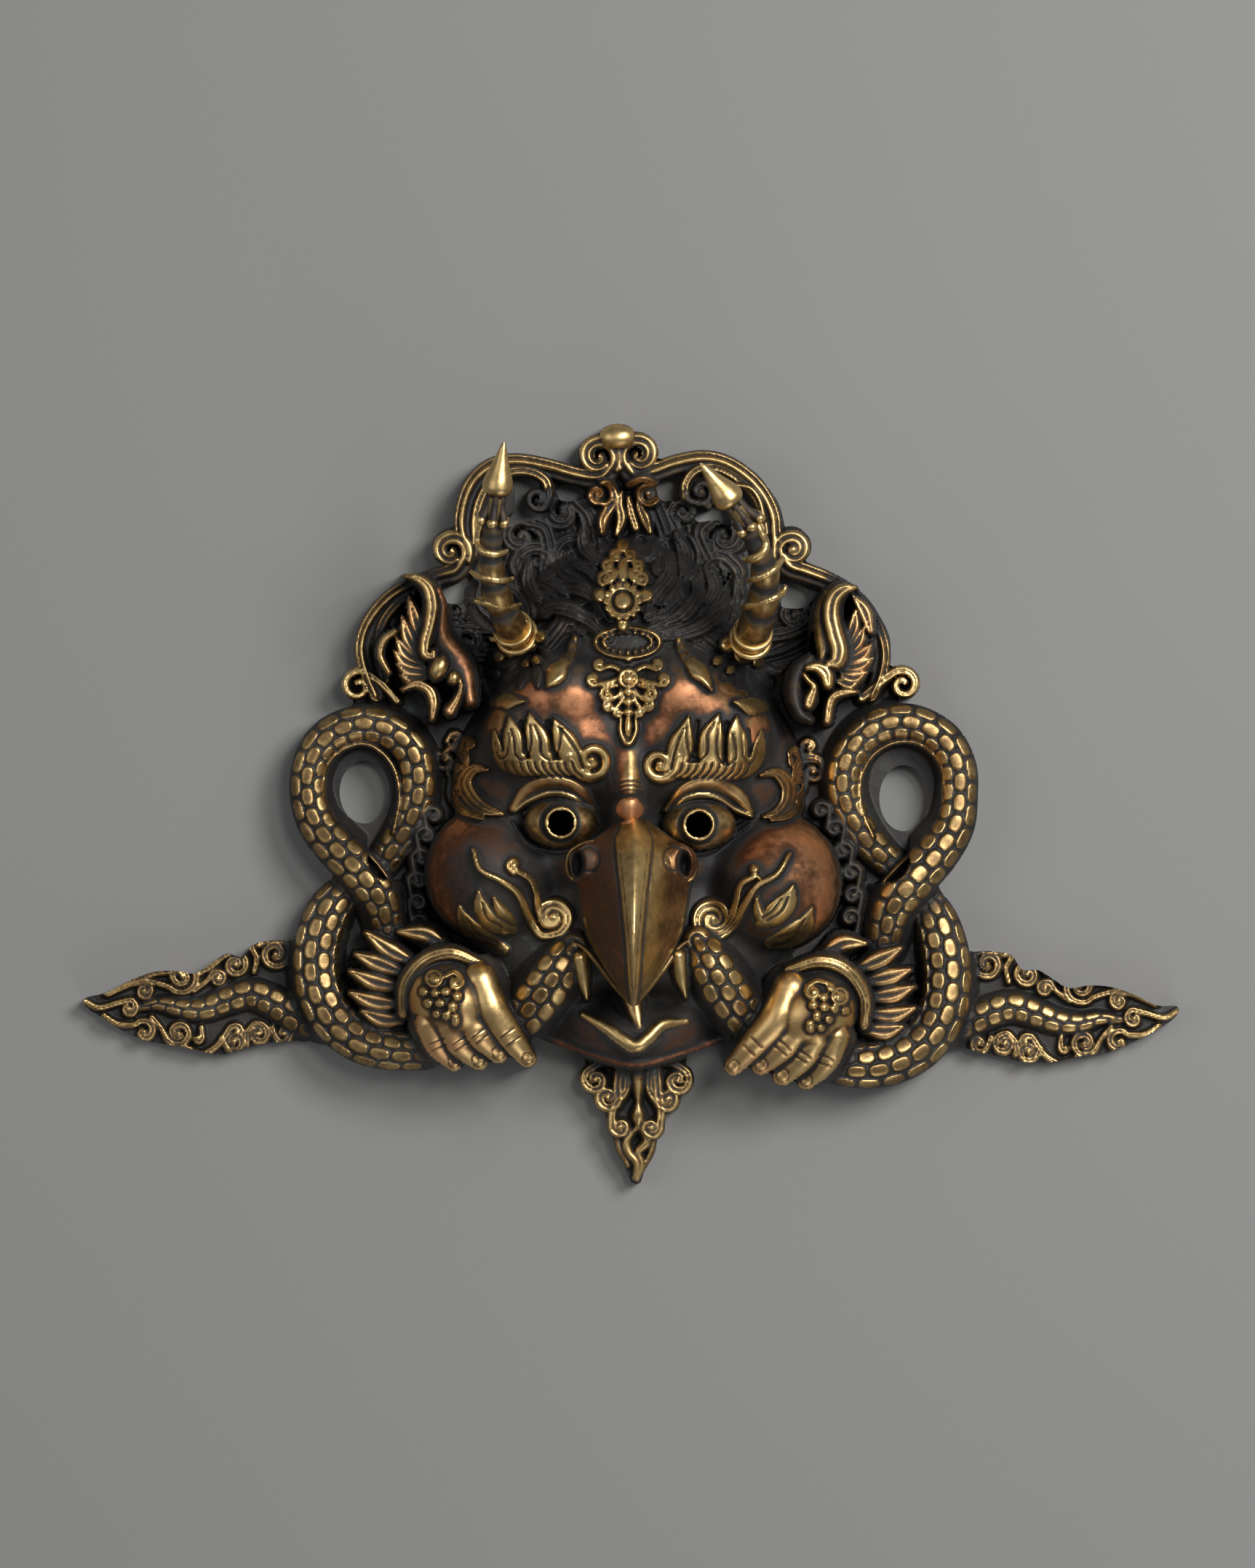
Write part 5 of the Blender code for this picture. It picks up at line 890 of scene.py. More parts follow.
CHIN_FOLD = [
    (-25, -60, 1.0, 18), (-12, -64.5, 1.2, 20), (1, -67.6, 1.4, 20), (13, -64.6, 1.2, 20),
    (25, -61, 1.0, 18),
]
LIP = [
    (-12.6, -55.2, 0.9, 27), (-6.5, -58.6, 1.5, 31), (-2.4, -61.6, 1.7, 32.5),
    (1.2, -63.4, 1.8, 33), (4.4, -61.2, 1.7, 32.5), (8.2, -57.8, 1.5, 31), (14.2, -57, 1.0, 27),
]
TONGUE = [(-1.0, -47, 3.0, 27), (0.6, -53, 2.3, 29), (2.0, -58.6, 1.2, 30)]
FANGS = [
    [(-13.4, -40.5, 1.9, 37), (-12.6, -46, 1.5, 36), (-11.6, -51, 0.4, 34)],
    [(12.2, -40, 1.9, 37), (13, -45.6, 1.5, 36), (14.2, -50.6, 0.4, 34)],
]

BEAK_RIDGE = [
    (-4, 44), (-10, 51), (-18, 57), (-27, 61.5), (-37, 63.5), (-45.5, 61.5), (-51, 56), (-53.2, 49),
]
BEAK_EDGE = [
    (4.5, -5, 38), (11, -9.8, 36), (16.2, -13.4, 34), (16.5, -17.4, 33.5), (15.2, -22, 33.5),
    (14.2, -28, 33.5), (12.4, -35, 34.5), (7.8, -43, 37.5), (3.4, -49.2, 42), (0.8, -52.8, 47),
]
BEAK_X = 0.6
BEAK_KEEL = 1.45
BEAK_ROWS = 170
BEAK_ACROSS = 120
# Half width of the raised band down the beak's ridge, by y.
BEAK_BAND = [
    (-54, 0.7), (-48, 1.4), (-42, 1.8), (-36, 2.2), (-30, 2.8), (-24, 3.4), (-18, 4.1), (-12, 4.7),
    (-9, 4.7), (-6, 3.4), (-4.4, 1.2),
]
# Nostrils: middle of the swollen wing, then of the slit; half sizes, heights of the wing, depth of the slit.
NOSTRILS = [(-12.0, -15.3, -14.0, -16.1), (12.0, -15.1, 13.7, -16.0)]
WING_HALF = (5.4, 5.8)
WING_HEIGHT = (35.5, 10.5)
SLIT_HALF = (1.7, 3.4)
SLIT_DEEP = 8

# Rims round the nostrils and along the cutting edge; x, y, z, radius.
BEAK_RIMS = [
    [(-9.6, -9.9, 40, 0.35), (-13.2, -10.9, 38.6, 0.6), (-15.9, -13.0, 37.2, 0.7),
     (-16.7, -16.2, 36.4, 0.7), (-15.9, -19.2, 36, 0.6), (-13.4, -20.6, 37, 0.35)],
    [(10.2, -10.1, 40, 0.35), (13.4, -11.2, 38.6, 0.6), (16.0, -13.2, 37.2, 0.7),
     (16.8, -16.2, 36.4, 0.7), (16.1, -19.4, 36, 0.6), (13.8, -20.9, 37, 0.35)],
    [(-15.4, -36.2, 33, 0.5), (-11.8, -38.4, 34.6, 0.8), (-7.6, -43.4, 37.4, 0.8),
     (-3.6, -48.6, 41.6, 0.7), (0.2, -52.4, 46.4, 0.6)],
    [(14.8, -36.0, 33, 0.5), (12.0, -38.2, 34.6, 0.8), (8.4, -43.4, 37.4, 0.8),
     (4.6, -48.4, 41.6, 0.7), (1.2, -52.4, 46.4, 0.6)],
]

HORNS = [
    [(-29.8, 43.6, 28, 4.0), (-31.8, 47, 35, 3.9), (-33.9, 51, 41, 3.7), (-35.6, 56, 46, 3.5),
     (-36.6, 62, 50, 3.1), (-36.4, 69, 53.5, 2.8), (-35.7, 76, 56.5, 2.4), (-35.2, 80, 58, 2.2)],
    [(31.0, 42.4, 28, 4.2), (32.2, 46, 35, 4.2), (33.8, 50.5, 41, 3.9), (34.8, 56, 46, 3.7),
     (34.6, 61.5, 50, 3.4), (32.4, 67.6, 53.5, 2.9), (29.4, 73.4, 56.5, 2.4), (27, 77.2, 58, 2.2)],
]
HORN_SIDES = 40
RING_SIDES = 12
# Rings at a horn's foot: which row of the stem they lie on, their radius and half thickness.
FOOT_RINGS = ((0, 4.9, 0.9), (5, 4.7, 0.7))
LAPPETS = 6
HORN_CAPS = [((-35.2, 80, 58), (-33.2, 94, 62)), ((26.8, 77.6, 58), (18, 88.5, 62))]
# Radius of a horn's cap, by the share of its length.
CAP_PROFILE = [
    (0.0, 1.6), (0.03, 2.9), (0.09, 3.8), (0.18, 4.1), (0.32, 3.7), (0.5, 2.7), (0.7, 1.75),
    (0.88, 1.05), (0.97, 0.6), (1.0, 0.15),
]
# What winds over a horn: its finish, and where it runs; x, y, half width.
HORN_WIRES = [
    [("gold",
      [(-39.0, 73.2, 0.8), (-39.8, 70.5, 0.9), (-39.9, 67.6, 1.0), (-38.6, 65.6, 1.1),
       (-36, 64.8, 1.0), (-33.6, 65, 0.8), (-32.2, 65.8, 0.5)]),
     ("gold",
      [(-42, 60.4, 0.5), (-40.2, 59.2, 0.8), (-37.5, 58.5, 0.95), (-34.5, 58, 0.95),
       (-32, 58, 0.8), (-30.8, 58.6, 0.5)]),
     ("gold",
      [(-41.6, 53.2, 0.5), (-40, 52.6, 0.9), (-37, 52, 1.05), (-33.5, 51.4, 1.05),
       (-30.6, 51.2, 0.8), (-28.9, 51.7, 0.5)]),
     ("gold",
      [(-36.4, 42.6, 0.6), (-34, 42.8, 1.0), (-31, 44.2, 1.1), (-28.6, 46.4, 1.0),
       (-27.4, 47.4, 0.6)]),
     ("brass", [(-36, 44.4, 0.5), (-33.6, 44.9, 0.8), (-30.8, 46.5, 0.9), (-28.6, 48.4, 0.6)]),
     ("hair", [(-40.8, 57.2, 1.2), (-42, 55, 1.6), (-41.8, 53, 1.4)]),
     ("hair", [(-41.4, 51.2, 1.2), (-40.2, 48.6, 1.6), (-37.6, 46.2, 1.4), (-35.4, 45.2, 1.0)])],
    [("gold",
      [(32.6, 73.4, 0.8), (33.5, 71, 1.0), (34.9, 68, 1.1), (34.6, 65.8, 1.2), (32.6, 64, 1.2),
       (30.4, 63.3, 0.9), (29.2, 63.6, 0.5)]),
     ("gold",
      [(39.6, 64, 0.6), (38.4, 62.2, 0.9), (36, 60, 1.0), (33, 58.6, 1.0), (30.4, 57.8, 0.6)]),
     ("gold",
      [(40.2, 56.6, 0.6), (39.4, 54.8, 0.9), (37, 53.4, 1.0), (33, 52, 1.1), (30.4, 51.2, 1.0),
       (28.6, 50.9, 0.6)]),
     ("gold", [(26.8, 44.8, 0.6), (28.4, 42.8, 1.0), (31.4, 40.8, 1.1), (34, 39.8, 0.8)]),
     ("gold", [(27.2, 46.4, 0.5), (29.6, 44.4, 0.9), (32.4, 42.6, 0.9), (35.6, 41.8, 0.6)])],
]
# Heights at which a horn is pinched and dark, under its wires.
HORN_WAISTS = [(42, 50.6, 57.6, 64, 67, 70, 73), (40, 50, 57, 63, 66.4, 69, 72)]
# Claws hung from the horns' foot: ringed cord, then the drop; x, y, half width.
CLAWS = [
    ([(-14.8, 43, 0.7), (-15.4, 41, 1.3), (-15.6, 39, 1.2), (-16.8, 37.4, 1.6)],
     [(-17.8, 36.4, 1.6), (-19.3, 34.2, 2.9), (-20.4, 32.2, 2.2), (-21.6, 30.6, 0.7)]),
    ([(-39.4, 31.6, 0.9), (-38.6, 28.6, 1.4), (-37, 26.6, 1.4), (-35, 26.2, 1.5)],
     [(-34.4, 26.2, 1.4), (-32.2, 26.4, 2.2), (-30, 26.4, 1.2), (-28, 26.4, 0.4)]),
    ([(12.4, 42.6, 0.8), (13.2, 40, 1.4), (14.2, 38, 1.5), (15.2, 37, 1.7)],
     [(15.8, 36.2, 1.8), (17.4, 34.4, 2.4), (19.2, 32.2, 1.6), (21, 29.2, 0.3)]),
    ([(38.6, 34, 0.9), (38.8, 30.4, 1.5), (37.4, 27.2, 1.6), (35, 25.6, 1.5)],
     [(34.4, 25.2, 1.5), (31.2, 25.2, 2.4), (29, 25.7, 1.5), (26.6, 26.4, 0.3)]),
]
# Beads and leaves round the horns' foot: x, y, radius; x, y, direction in degrees, length.
HORN_BEADS = [
    (-27.0, 41.3, 1.9), (-23.9, 43.4, 1.4), (-31.2, 39.4, 1.5), (-34.4, 38, 1.2),
    (-24.8, 37.2, 1.0), (-27.6, 36.2, 0.9), (25, 41.2, 1.8), (28.8, 38.5, 2.1), (32.9, 36.8, 1.3),
    (22.4, 37, 1.1), (25.8, 34.6, 1.0),
]
HORN_PETALS = [
    (-28, 39, 200, 7), (-27.5, 38, 225, 8), (-26.5, 37.6, 250, 8), (-25, 37.6, 275, 7.4),
    (-23.6, 38, 300, 6.6), (-22.8, 39, 330, 6), (26, 38.6, 210, 5.6), (27.4, 37.6, 235, 6.6),
    (29, 36.6, 258, 6.6), (30.8, 36, 280, 6.4), (32.6, 35.6, 300, 6), (34, 36, 325, 5.4),
]

# Jewels down the brow: curls of the crest, then the drop's scrolls and its pointed foot, for one side.
CREST_X = -2.2
CREST_CURLS = [(1.8, 64.6, 1.5), (3.7, 62.0, 1.6), (4.6, 58.6, 1.9)]
JEWEL_X = -0.8
JEWEL_SCROLLS = [
    ([(1.8, 32.6), (5, 31.4), (8.2, 30.8)], (9, 32.2), 1.0),
    ([(1.6, 34.2), (4.4, 35.6), (6.6, 35)], (7.4, 36.2), 1.0),
    ([(1.4, 31), (4, 30.4), (6.4, 29.6)], (5.4, 28.2), -1.0),
    ([(1.2, 30.4), (2.6, 28), (5, 26.6)], (5, 25.2), -1.0),
    ([(1.0, 29), (1.8, 26.6), (3.2, 24.6)], (2.6, 23.6), -1.0),
]
JEWEL_FOOT = [
    (1.9, 22.4, 0.5, 2.4), (2.0, 18.6, 0.6, 2.4), (0.8, 15.8, 0.6, 2.6), (0, 15.5, 0.7, 2.8),
]

PENDANT = [
    (-10, -60), (-11.8, -69.6), (-9.6, -74), (-7.2, -77.6), (-6.6, -82), (-4.8, -86.6),
    (-3.8, -90.6), (-1.4, -95.4), (0, -98.9), (2.4, -98.9), (3.6, -95), (5.8, -90.4), (6.6, -87),
    (8.8, -82), (9.9, -77.6), (13.6, -73), (14.2, -69.4), (12, -60),
]
PENDANT_SCROLLS = [
    ([(-3.0, -67.6), (-7.4, -67.4), (-11.2, -69.6)], (-9.4, -72.2), 1.2, (1.3, 1.6, 0.9)),
    ([(6.4, -67.8), (10, -67.6), (13.8, -69.6)], (12, -72.4), -1.2, (1.3, 1.6, 0.9)),
    ([(-3.0, -69), (-3.6, -73.4), (-3.6, -77.8)], (-6.2, -76.8), -1.1, (1.6, 1.8, 0.9)),
    ([(6.4, -69), (6.8, -73.4), (7.2, -78.2)], (9.4, -77.2), 1.1, (1.6, 1.8, 0.9)),
    ([(-1.2, -70), (-1.4, -75), (-4.6, -79.6), (-5.0, -84)], (-3.0, -84.4), 1.1, (1.2, 1.7, 0.9)),
    ([(4.6, -70), (4.8, -75), (7.6, -79.6), (7.4, -84)], (5.2, -84.6), -1.1, (1.2, 1.7, 0.9)),
]
PENDANT_STEMS = [
    [(1.6, -68.4, 1.9, 11.8), (1.7, -73, 1.5, 11.4), (1.8, -77, 0.8, 11), (1.8, -78.6, 0.8, 10.8),
     (1.8, -81.6, 1.7, 10.8), (1.7, -85.0, 0.6, 9.4)],
    [(1.4, -84.6, 0.8, 9.6), (-1.2, -88, 1.3, 9.6), (-0.8, -91, 1.4, 9.4), (1.4, -94, 1.2, 9.2),
     (1.0, -97.8, 0.8, 8.6)],
    [(2.0, -84.6, 0.8, 9.6), (4.2, -88, 1.4, 9.6), (1.8, -91, 1.2, 9.4), (2.8, -94.4, 1.1, 9.0),
     (1.4, -98, 0.8, 8.6)],
    [(-3.9, -86, 0.8, 8.8), (-3.2, -90, 1.0, 8.6), (-0.8, -94.6, 0.8, 8.4)],
    [(6.0, -87, 0.8, 8.8), (5.1, -91, 1.0, 8.6), (3.1, -95, 0.8, 8.4)],
]


# The casting's front

def lay_ground(board):
    board.finish = "ground"
    right = sided(1, GROUND_HALF)
    board.plate(right + sided(-1, GROUND_HALF)[::-1], PLATE)
    for outline in TAIL_PLATES:
        board.plate(outline, TAIL_PLATE)
    board.plate(PENDANT, PLATE)
    for finish, x, y, rx, ry, low, high, power in HEAD_DOMES:
        board.finish = finish
        board.mound(x, y, rx, ry, low, high, power)
    board.finish = "brow"
    for side in (-1, 1):
        for out, y, rx, ry, low, high in BROW_DOMES:
            board.mound(middle(y) + side * out, y, rx, ry, low, high)
    board.finish = "skin"
    for x, y, rx, ry in CHEEKS:
        board.mound(x, y, rx, ry, 14, 41, blend=1.5)
    board.finish = "dark_skin_and_shade"
    board.mound(1, -56, 23, 13, 8, 32)
    above_face = np.clip((board.Y - 34 + 0.004 * (board.X + 1) ** 2) / 4, 0, 1)
    board.wear_and_light += above_face * (FINISHES["hair"][0] - board.wear_and_light)
    board.red += above_face * (FINISHES["hair"][1] - board.red)


def soften_ground(board):
    """Domes flow into each other, and so do their finishes."""
    high = np.clip((board.z - PLATE - 1) / 3, 0, 1)
    for field, sigma in (("z", 1.8), ("wear_and_light", 1.6), ("red", 1.6)):
        old = getattr(board, field)
        setattr(board, field, old + high * (board.blurred(sigma, old) - old))
    # Tints of the skin; the darker spots on the left cheek are painted shade.
    for x, y, rx, ry, finish, turn, strength in SKIN_TINTS:
        board.tint(x, y, rx, ry, finish, turn, strength)


def lay_eyes(board):
    for side, (x, y) in zip((-1, 1), EYES):
        board.dent(x, y + 0.5, 14, 9.5, 7, -side * 8, dark=0.5)
        board.dent(x - side * 10, y + 1, 6, 9, 4, dark=0.7)
    board.body = board.z.copy()
    board.finish = "skin"
    board.stroke(NOSE_BRIDGE, section=dome_section, blend=5.0)
    # Painted highlight: a brass stripe down the right side of the nose bridge, where the light falls.
    board.tint(0.6, 9, 2.2, 7.5, "brass", 3, 0.85)
    board.tint(-3.6, 12.4, 2.6, 4, "brow", 0, 0.8)
    board.bead(-0.4, -1.6, 3.5, 8.4, 3.0, sink=0.5)
    for y in NOSE_WRINKLES:
        board.groove([(-3.4, y - 0.6), (-0.6, y + 0.3), (2.4, y - 0.4)], 0.25, 0.35)
    for (x, y), folds in zip(EYES, EYE_FOLDS):
        board.finish = "bronze"
        rx, ry, foot, bulge = EYEBALL
        at = board.window((x - 10, y - 9), (x + 10, y + 9))
        away = np.hypot((board.X[at] - x) / rx, (board.Y[at] - y) / ry)
        board.raise_to(at, np.where(away < 1, foot + bulge * np.sqrt(np.clip(1 - away**2, 0, 1)), NO_METAL))
        for finish, lift, rows in folds:
            board.finish = finish
            thick = rows[2][2] > 2
            depth, blend = (2.6, 1.2) if thick else (1.5, 0.3)
            board.stroke([(*row, lift) for row in rows], depth=depth, blend=blend)
        board.finish = "brass"
        board.stroke([(*p, 0.45, 41.2) for p in arc(x, y, 3.8, 3.8, 0, 360, 25)], on_body=False, blend=0.2)
        board.groove(arc(x, y, 5.4, 5.2, 60, 300, 17), 0.3, 0.4)


def lay_brows(board):
    """Flame brows: a flat plate of flames, cut by pits, thin lines and a comb of hairs, with a scroll."""
    board.finish = "gold"
    for side, flames, scroll in zip((-1, 1), BROW_FLAMES, BROW_SCROLLS):
        for rows in flames:
            board.stroke([(*row, 2.4) for row in rows], depth=1.8, section=flat_section, blend=0.25)
        stem, eye, turns = scroll
        board.curl(stem, eye, turns, (1.5, 1.2, 0.9), 2.9, ball=0.9, depth=1.8, blend=0.25)
    for pits, lines, comb, lean in zip(BROW_PITS, BROW_LINES, BROW_COMBS, (1, -1)):
        for pit in pits:
            board.groove(pit, 0.62, 1.6)
        for line in lines:
            board.groove(line, 0.32, 0.9)
        for x, y in comb:
            board.groove([(x, y), (x + lean * 0.8, y - 2.2), (x + lean * 2.8, y - 3.9)], 0.34, 0.8)


def lay_cheeks(board):
    board.finish = "gold"
    for stem, eye, turns, halves in MOUSTACHES:
        board.curl(stem, eye, turns, halves, 3.0, ball=1.0, depth=2.2, section=reeded(2, 0.3), blend=0.25)
    for (ax, ay), (x, y) in MOUSTACHE_BEADS:
        stem = [(ax, ay), (ax - 1.6, ay + 1.6)]
        board.curl(stem, (x, y), 0.6 if x > 0 else -0.6, (0.6, 0.7, 0.5), 2.4, depth=1.4, blend=0.2)
        board.bead(x, y, 1.2, 3.0)
    board.finish = "flame"
    for flame in CHEEK_FLAMES:
        board.stroke([(*row, 1.7) for row in flame], depth=1.4, blend=0.3)
    for line in CHEEK_LINES:
        board.groove(line, 0.32, 0.6)
    board.finish = "leaf"
    for crescent in SIDE_CRESCENTS:
        board.stroke([(*row, 3.6) for row in crescent], depth=3.0, section=reeded(3, 0.3), blend=0.3)
    for stem, eye, turns, halves in SIDE_EARS:
        board.curl(stem, eye, turns, halves, 3.4, ball=0.7, depth=2.6, section=reeded(2, 0.3), blend=0.25)
    board.finish = "hair"
    for x, y, radius in SIDE_CURLS:
        side = 1 if x > 0 else -1
        stem = [(x + side * 1.5, y - radius * 2.4), (x + side * (radius + 0.3), y)]
        board.curl(stem, (x, y), side * 1.2, (0.9, 0.8, 0.5), 14, ball=0.7, depth=2.0, on_body=False,
                   blend=0.3)


def lay_mouth(board):
    board.finish = "dark"
    board.dent(0.8, -52, 13, 6, 9, dark=0.8)
    board.finish = "dark_skin_and_shade"
    board.stroke(CHIN_FOLD, on_body=False, depth=1.6, blend=1.2)
    board.finish = "tail"
    board.stroke(LIP, on_body=False, blend=0.8)
    board.finish = "bronze"
    board.stroke(TONGUE, on_body=False, blend=0.6)
    board.finish = "gold"
    for fang in FANGS:
        board.stroke(fang, on_body=False)


def lay_frame(board):
    board.finish = "tail"
    for stem, eye, turns, halves, outer, knob in BANDS:
        board.curl(stem, eye, turns, halves, 12.8, knob, depth=4.2, on_body=False, section=banded(outer),
                   blend=0.3)
        away = np.subtract(stem[-1], eye)
        start = tuple(stem[-1] + away / np.linalg.norm(away) * 1.5)
        outer_turn = [start] + spiral(eye, start, turns * 0.85, inner=0.5)
        board.stroke(tapered(outer_turn, (0.8, 1.1, 0.8), 12.8), depth=1.6, on_body=False, blend=0.3)
    for points, half, crest, reeds in ARCHES:
        rows = [(x, y, half, crest) for x, y in points]
        board.stroke(rows, depth=4.0, section=reeded(reeds, 0.30), on_body=False)
    for finish, stem, eye, turns, halves, knob in FRAME_SCROLLS:
        board.finish = finish
        board.curl(stem, eye, turns, halves, 12.6, knob, depth=3.2, on_body=False, section=reeded(2, 0.25),
                   blend=0.3)
    board.finish = "gold"
    x, y, rx, ry = CROWN_KNOB
    board.bead(x, y, rx, 15, ry, on_body=False)
    at = board.window((x - rx - 1, y - ry - 1), (x + rx + 1, y + ry + 1))
    rho = np.hypot((board.X[at] - x) / rx, (board.Y[at] - y) / ry)
    board.edge[at] = np.maximum(board.edge[at], (1 - rho) * ry)


def lay_hair(board):
    board.finish = "hair"
    for flow in HAIR_FLOWS:
        board.stroke(tapered(flow, (1.8, 2.8, 1.4), 2.0), depth=2.6, section=reeded(3, 0.6), cuts=False,
                     blend=0.2)
    for stem, eye, turns, halves in LOCKS:
        board.curl(stem, eye, turns, halves, 4.4, ball=0.8, depth=3.8, section=reeded(3, 0.5), cuts=False,
                   blend=0.25)
    board.body = board.blurred(0.9)
    for run, half in COMBED:
        rows = tapered(run, (half * 0.6, half, half * 0.5), 1.7)
        board.stroke(rows, depth=2.4, section=reeded(3, 0.75), cuts=False, blend=0.15)
        for side in (-1.15, 1.15):
            edge = [(x + side * half * nx, y + side * half * ny) for x, y, nx, ny in beside(run)]
            board.groove(edge, 0.55, 1.3)
    board.bead(2.8, 66.8, 3.4, 4.6, sink=0.5)
    board.dent(2.6, 68.4, 1.2, 1.2, 2.0, dark=0.8)
    board.finish = "leaf"
    for leaf in CROWN_LEAVES:
        board.stroke([(*row, 5.6) for row in leaf], depth=2.4, section=reeded(2, 0.35), cuts=False, blend=0.3)
    for stem, eye, turns, halves in CROWN_CURLS:
        board.curl(stem, eye, turns, halves, 6.2, ball=0.7, depth=2.4, section=reeded(2, 0.35), cuts=False,
                   blend=0.3)


def lay_jewels(board):
    board.finish = "gold"
    x = CREST_X
    board.flower(x, 52.5, 4.3, 14, 0.8, 6.0, 2.4)
    board.bead(x, 67, 1.7, 5.6)
    for side in (-1, 1):
        board.bead(x + side * 5.9, 54, 1.7, 5.2)
        for dx, dy, r in CREST_CURLS:
            stem = [(x + side * (dx - 0.8), dy - 1.2), (x + side * (dx + r * 0.4), dy - r * 0.9)]
            board.curl(stem, (x + side * dx, dy), side * 1.1, (0.6, 0.6, 0.5), 5.2, 0.5, depth=1.4, blend=0.2)
        board.bead(x + side * 2.4, 59.2, 1.0, 5.6, 1.8, turn=side * 24)
    board.bead(x, 60.6, 1.3, 6.2, 2.8)
    board.bead(x, 46.6, 1.4, 4.6, 1.8)
    board.finish = "bronze"
    ring = arc(-1, 41.8, 8.4, 3.9, 0, 360, 29)
    board.stroke([(*p, 0.7, 2.2) for p in ring], depth=1.4, blend=0.25)
    for px, py in arc(-1, 41.9, 6.4, 2.6, 0, 343, 20):
        board.bead(px, py, 0.55, 1.9)
    board.finish = "gold"
    x = JEWEL_X
    board.bead(x, 37.6, 0.9, 2.4)
    board.flower(x, 32.4, 2.5, 0, 0.5, 4.2, 1.5)
    for side in (-1, 1):
        for points, eye, turns in JEWEL_SCROLLS:
            stem = [(x + side * px, py) for px, py in points]
            board.curl(stem, (x + side * eye[0], eye[1]), side * turns, (0.7, 0.8, 0.5), 2.7, 0.45, depth=1.5,
                       section=reeded(2, 0.35), blend=0.2)
        board.stroke([(x + side * px, *row) for px, *row in JEWEL_FOOT], depth=1.2, blend=0.2)
    for y in (29, 26.3, 23.6):
        board.bead(x, y, 1.2, 3.6)
    board.bead(x, 20, 0.8, 3.2, 2.6)
    for cord, drop in CLAWS:
        board.finish = "bronze"
        board.stroke([(*row, 2.6) for row in cord], section=ringed(2.1, 0.3), blend=0.3)
        board.finish = "gold"
        board.stroke([(*row, 3.6) for row in drop], depth=2.8, blend=0.3)
    board.finish = "hair"
    for px, py, angle, length in HORN_PETALS:
        board.petal(px, py, angle, length, 1.3, 2.4)
    board.finish = "gold"
    for px, py, r in HORN_BEADS:
        board.bead(px, py, r, 7.0)


def lay_tall_ears(board):
    for finish, rows in EAR_BACKS:
        board.finish = finish
        board.stroke([(*row, 25.5) for row in rows], depth=3.0, on_body=False, blend=0.6)
    board.finish = "leaf"
    for leaf in EAR_LEAVES:
        board.stroke(tapered(leaf, (0.4, 2.0, 1.1), 23.5), depth=2.6, on_body=False, section=reeded(2, 0.4),
                     blend=0.2)
    for finish, lift, wave in EAR_WAVES:
        board.finish = finish
        board.stroke([(*row, lift) for row in wave], depth=2.6, on_body=False, section=reeded(2, 0.18),
                     blend=0.3)
    board.finish = "tail"
    for rim in EAR_RIMS:
        rows = [(x, y, half * 1.3, 28) for x, y, half in rim]
        board.stroke(rows, depth=2.4, on_body=False, section=reeded(2, 0.2), blend=0.4)
    for x, y, rx, ry, turn in EAR_KNOBS:
        board.bead(x, y, rx, 30 if abs(x) > 48 else 28, ry, turn, on_body=False)


def lay_serpents(board):
    for side, tail in zip((-1, 1), TAILS):
        board.finish = "tail"
        for stem, eye, turns in TAIL_SCROLLS:
            if side > 0:
                stem = [(-x, y - TAIL_DROP) for x, y in stem]
                eye, turns = (-eye[0], eye[1] - TAIL_DROP), -turns
            board.curl(stem, eye, turns, (0.9, 1.4, 0.8), 7.2, 0.7, depth=2.2, on_body=False, cuts=False,
                       section=reeded(2, 0.35), blend=0.3)
        board.finish = "scale"
        board.stroke(tail, on_body=False, section=scaled(TAIL_SCALES, 4.2, 0.16))
    board.finish = "scale"
    for side, coil in zip((-1, 1), COILS):
        board.stroke(coil, on_body=False, section=scaled([(c * side, w) for c, w in COIL_SCALES], 5.6))
    for side, loop, rim in zip((-1, 1), LOOPS, LOOP_RIMS):
        board.finish = "scale"
        board.stroke(loop, on_body=False, section=scaled([(c * -side, w) for c, w in LOOP_SCALES], 5.4))
        board.finish = "bronze"
        board.stroke(tapered(rim, (0.5, 0.6, 0.5), 14.0), depth=1.4, on_body=False, cuts=False, blend=0.3)


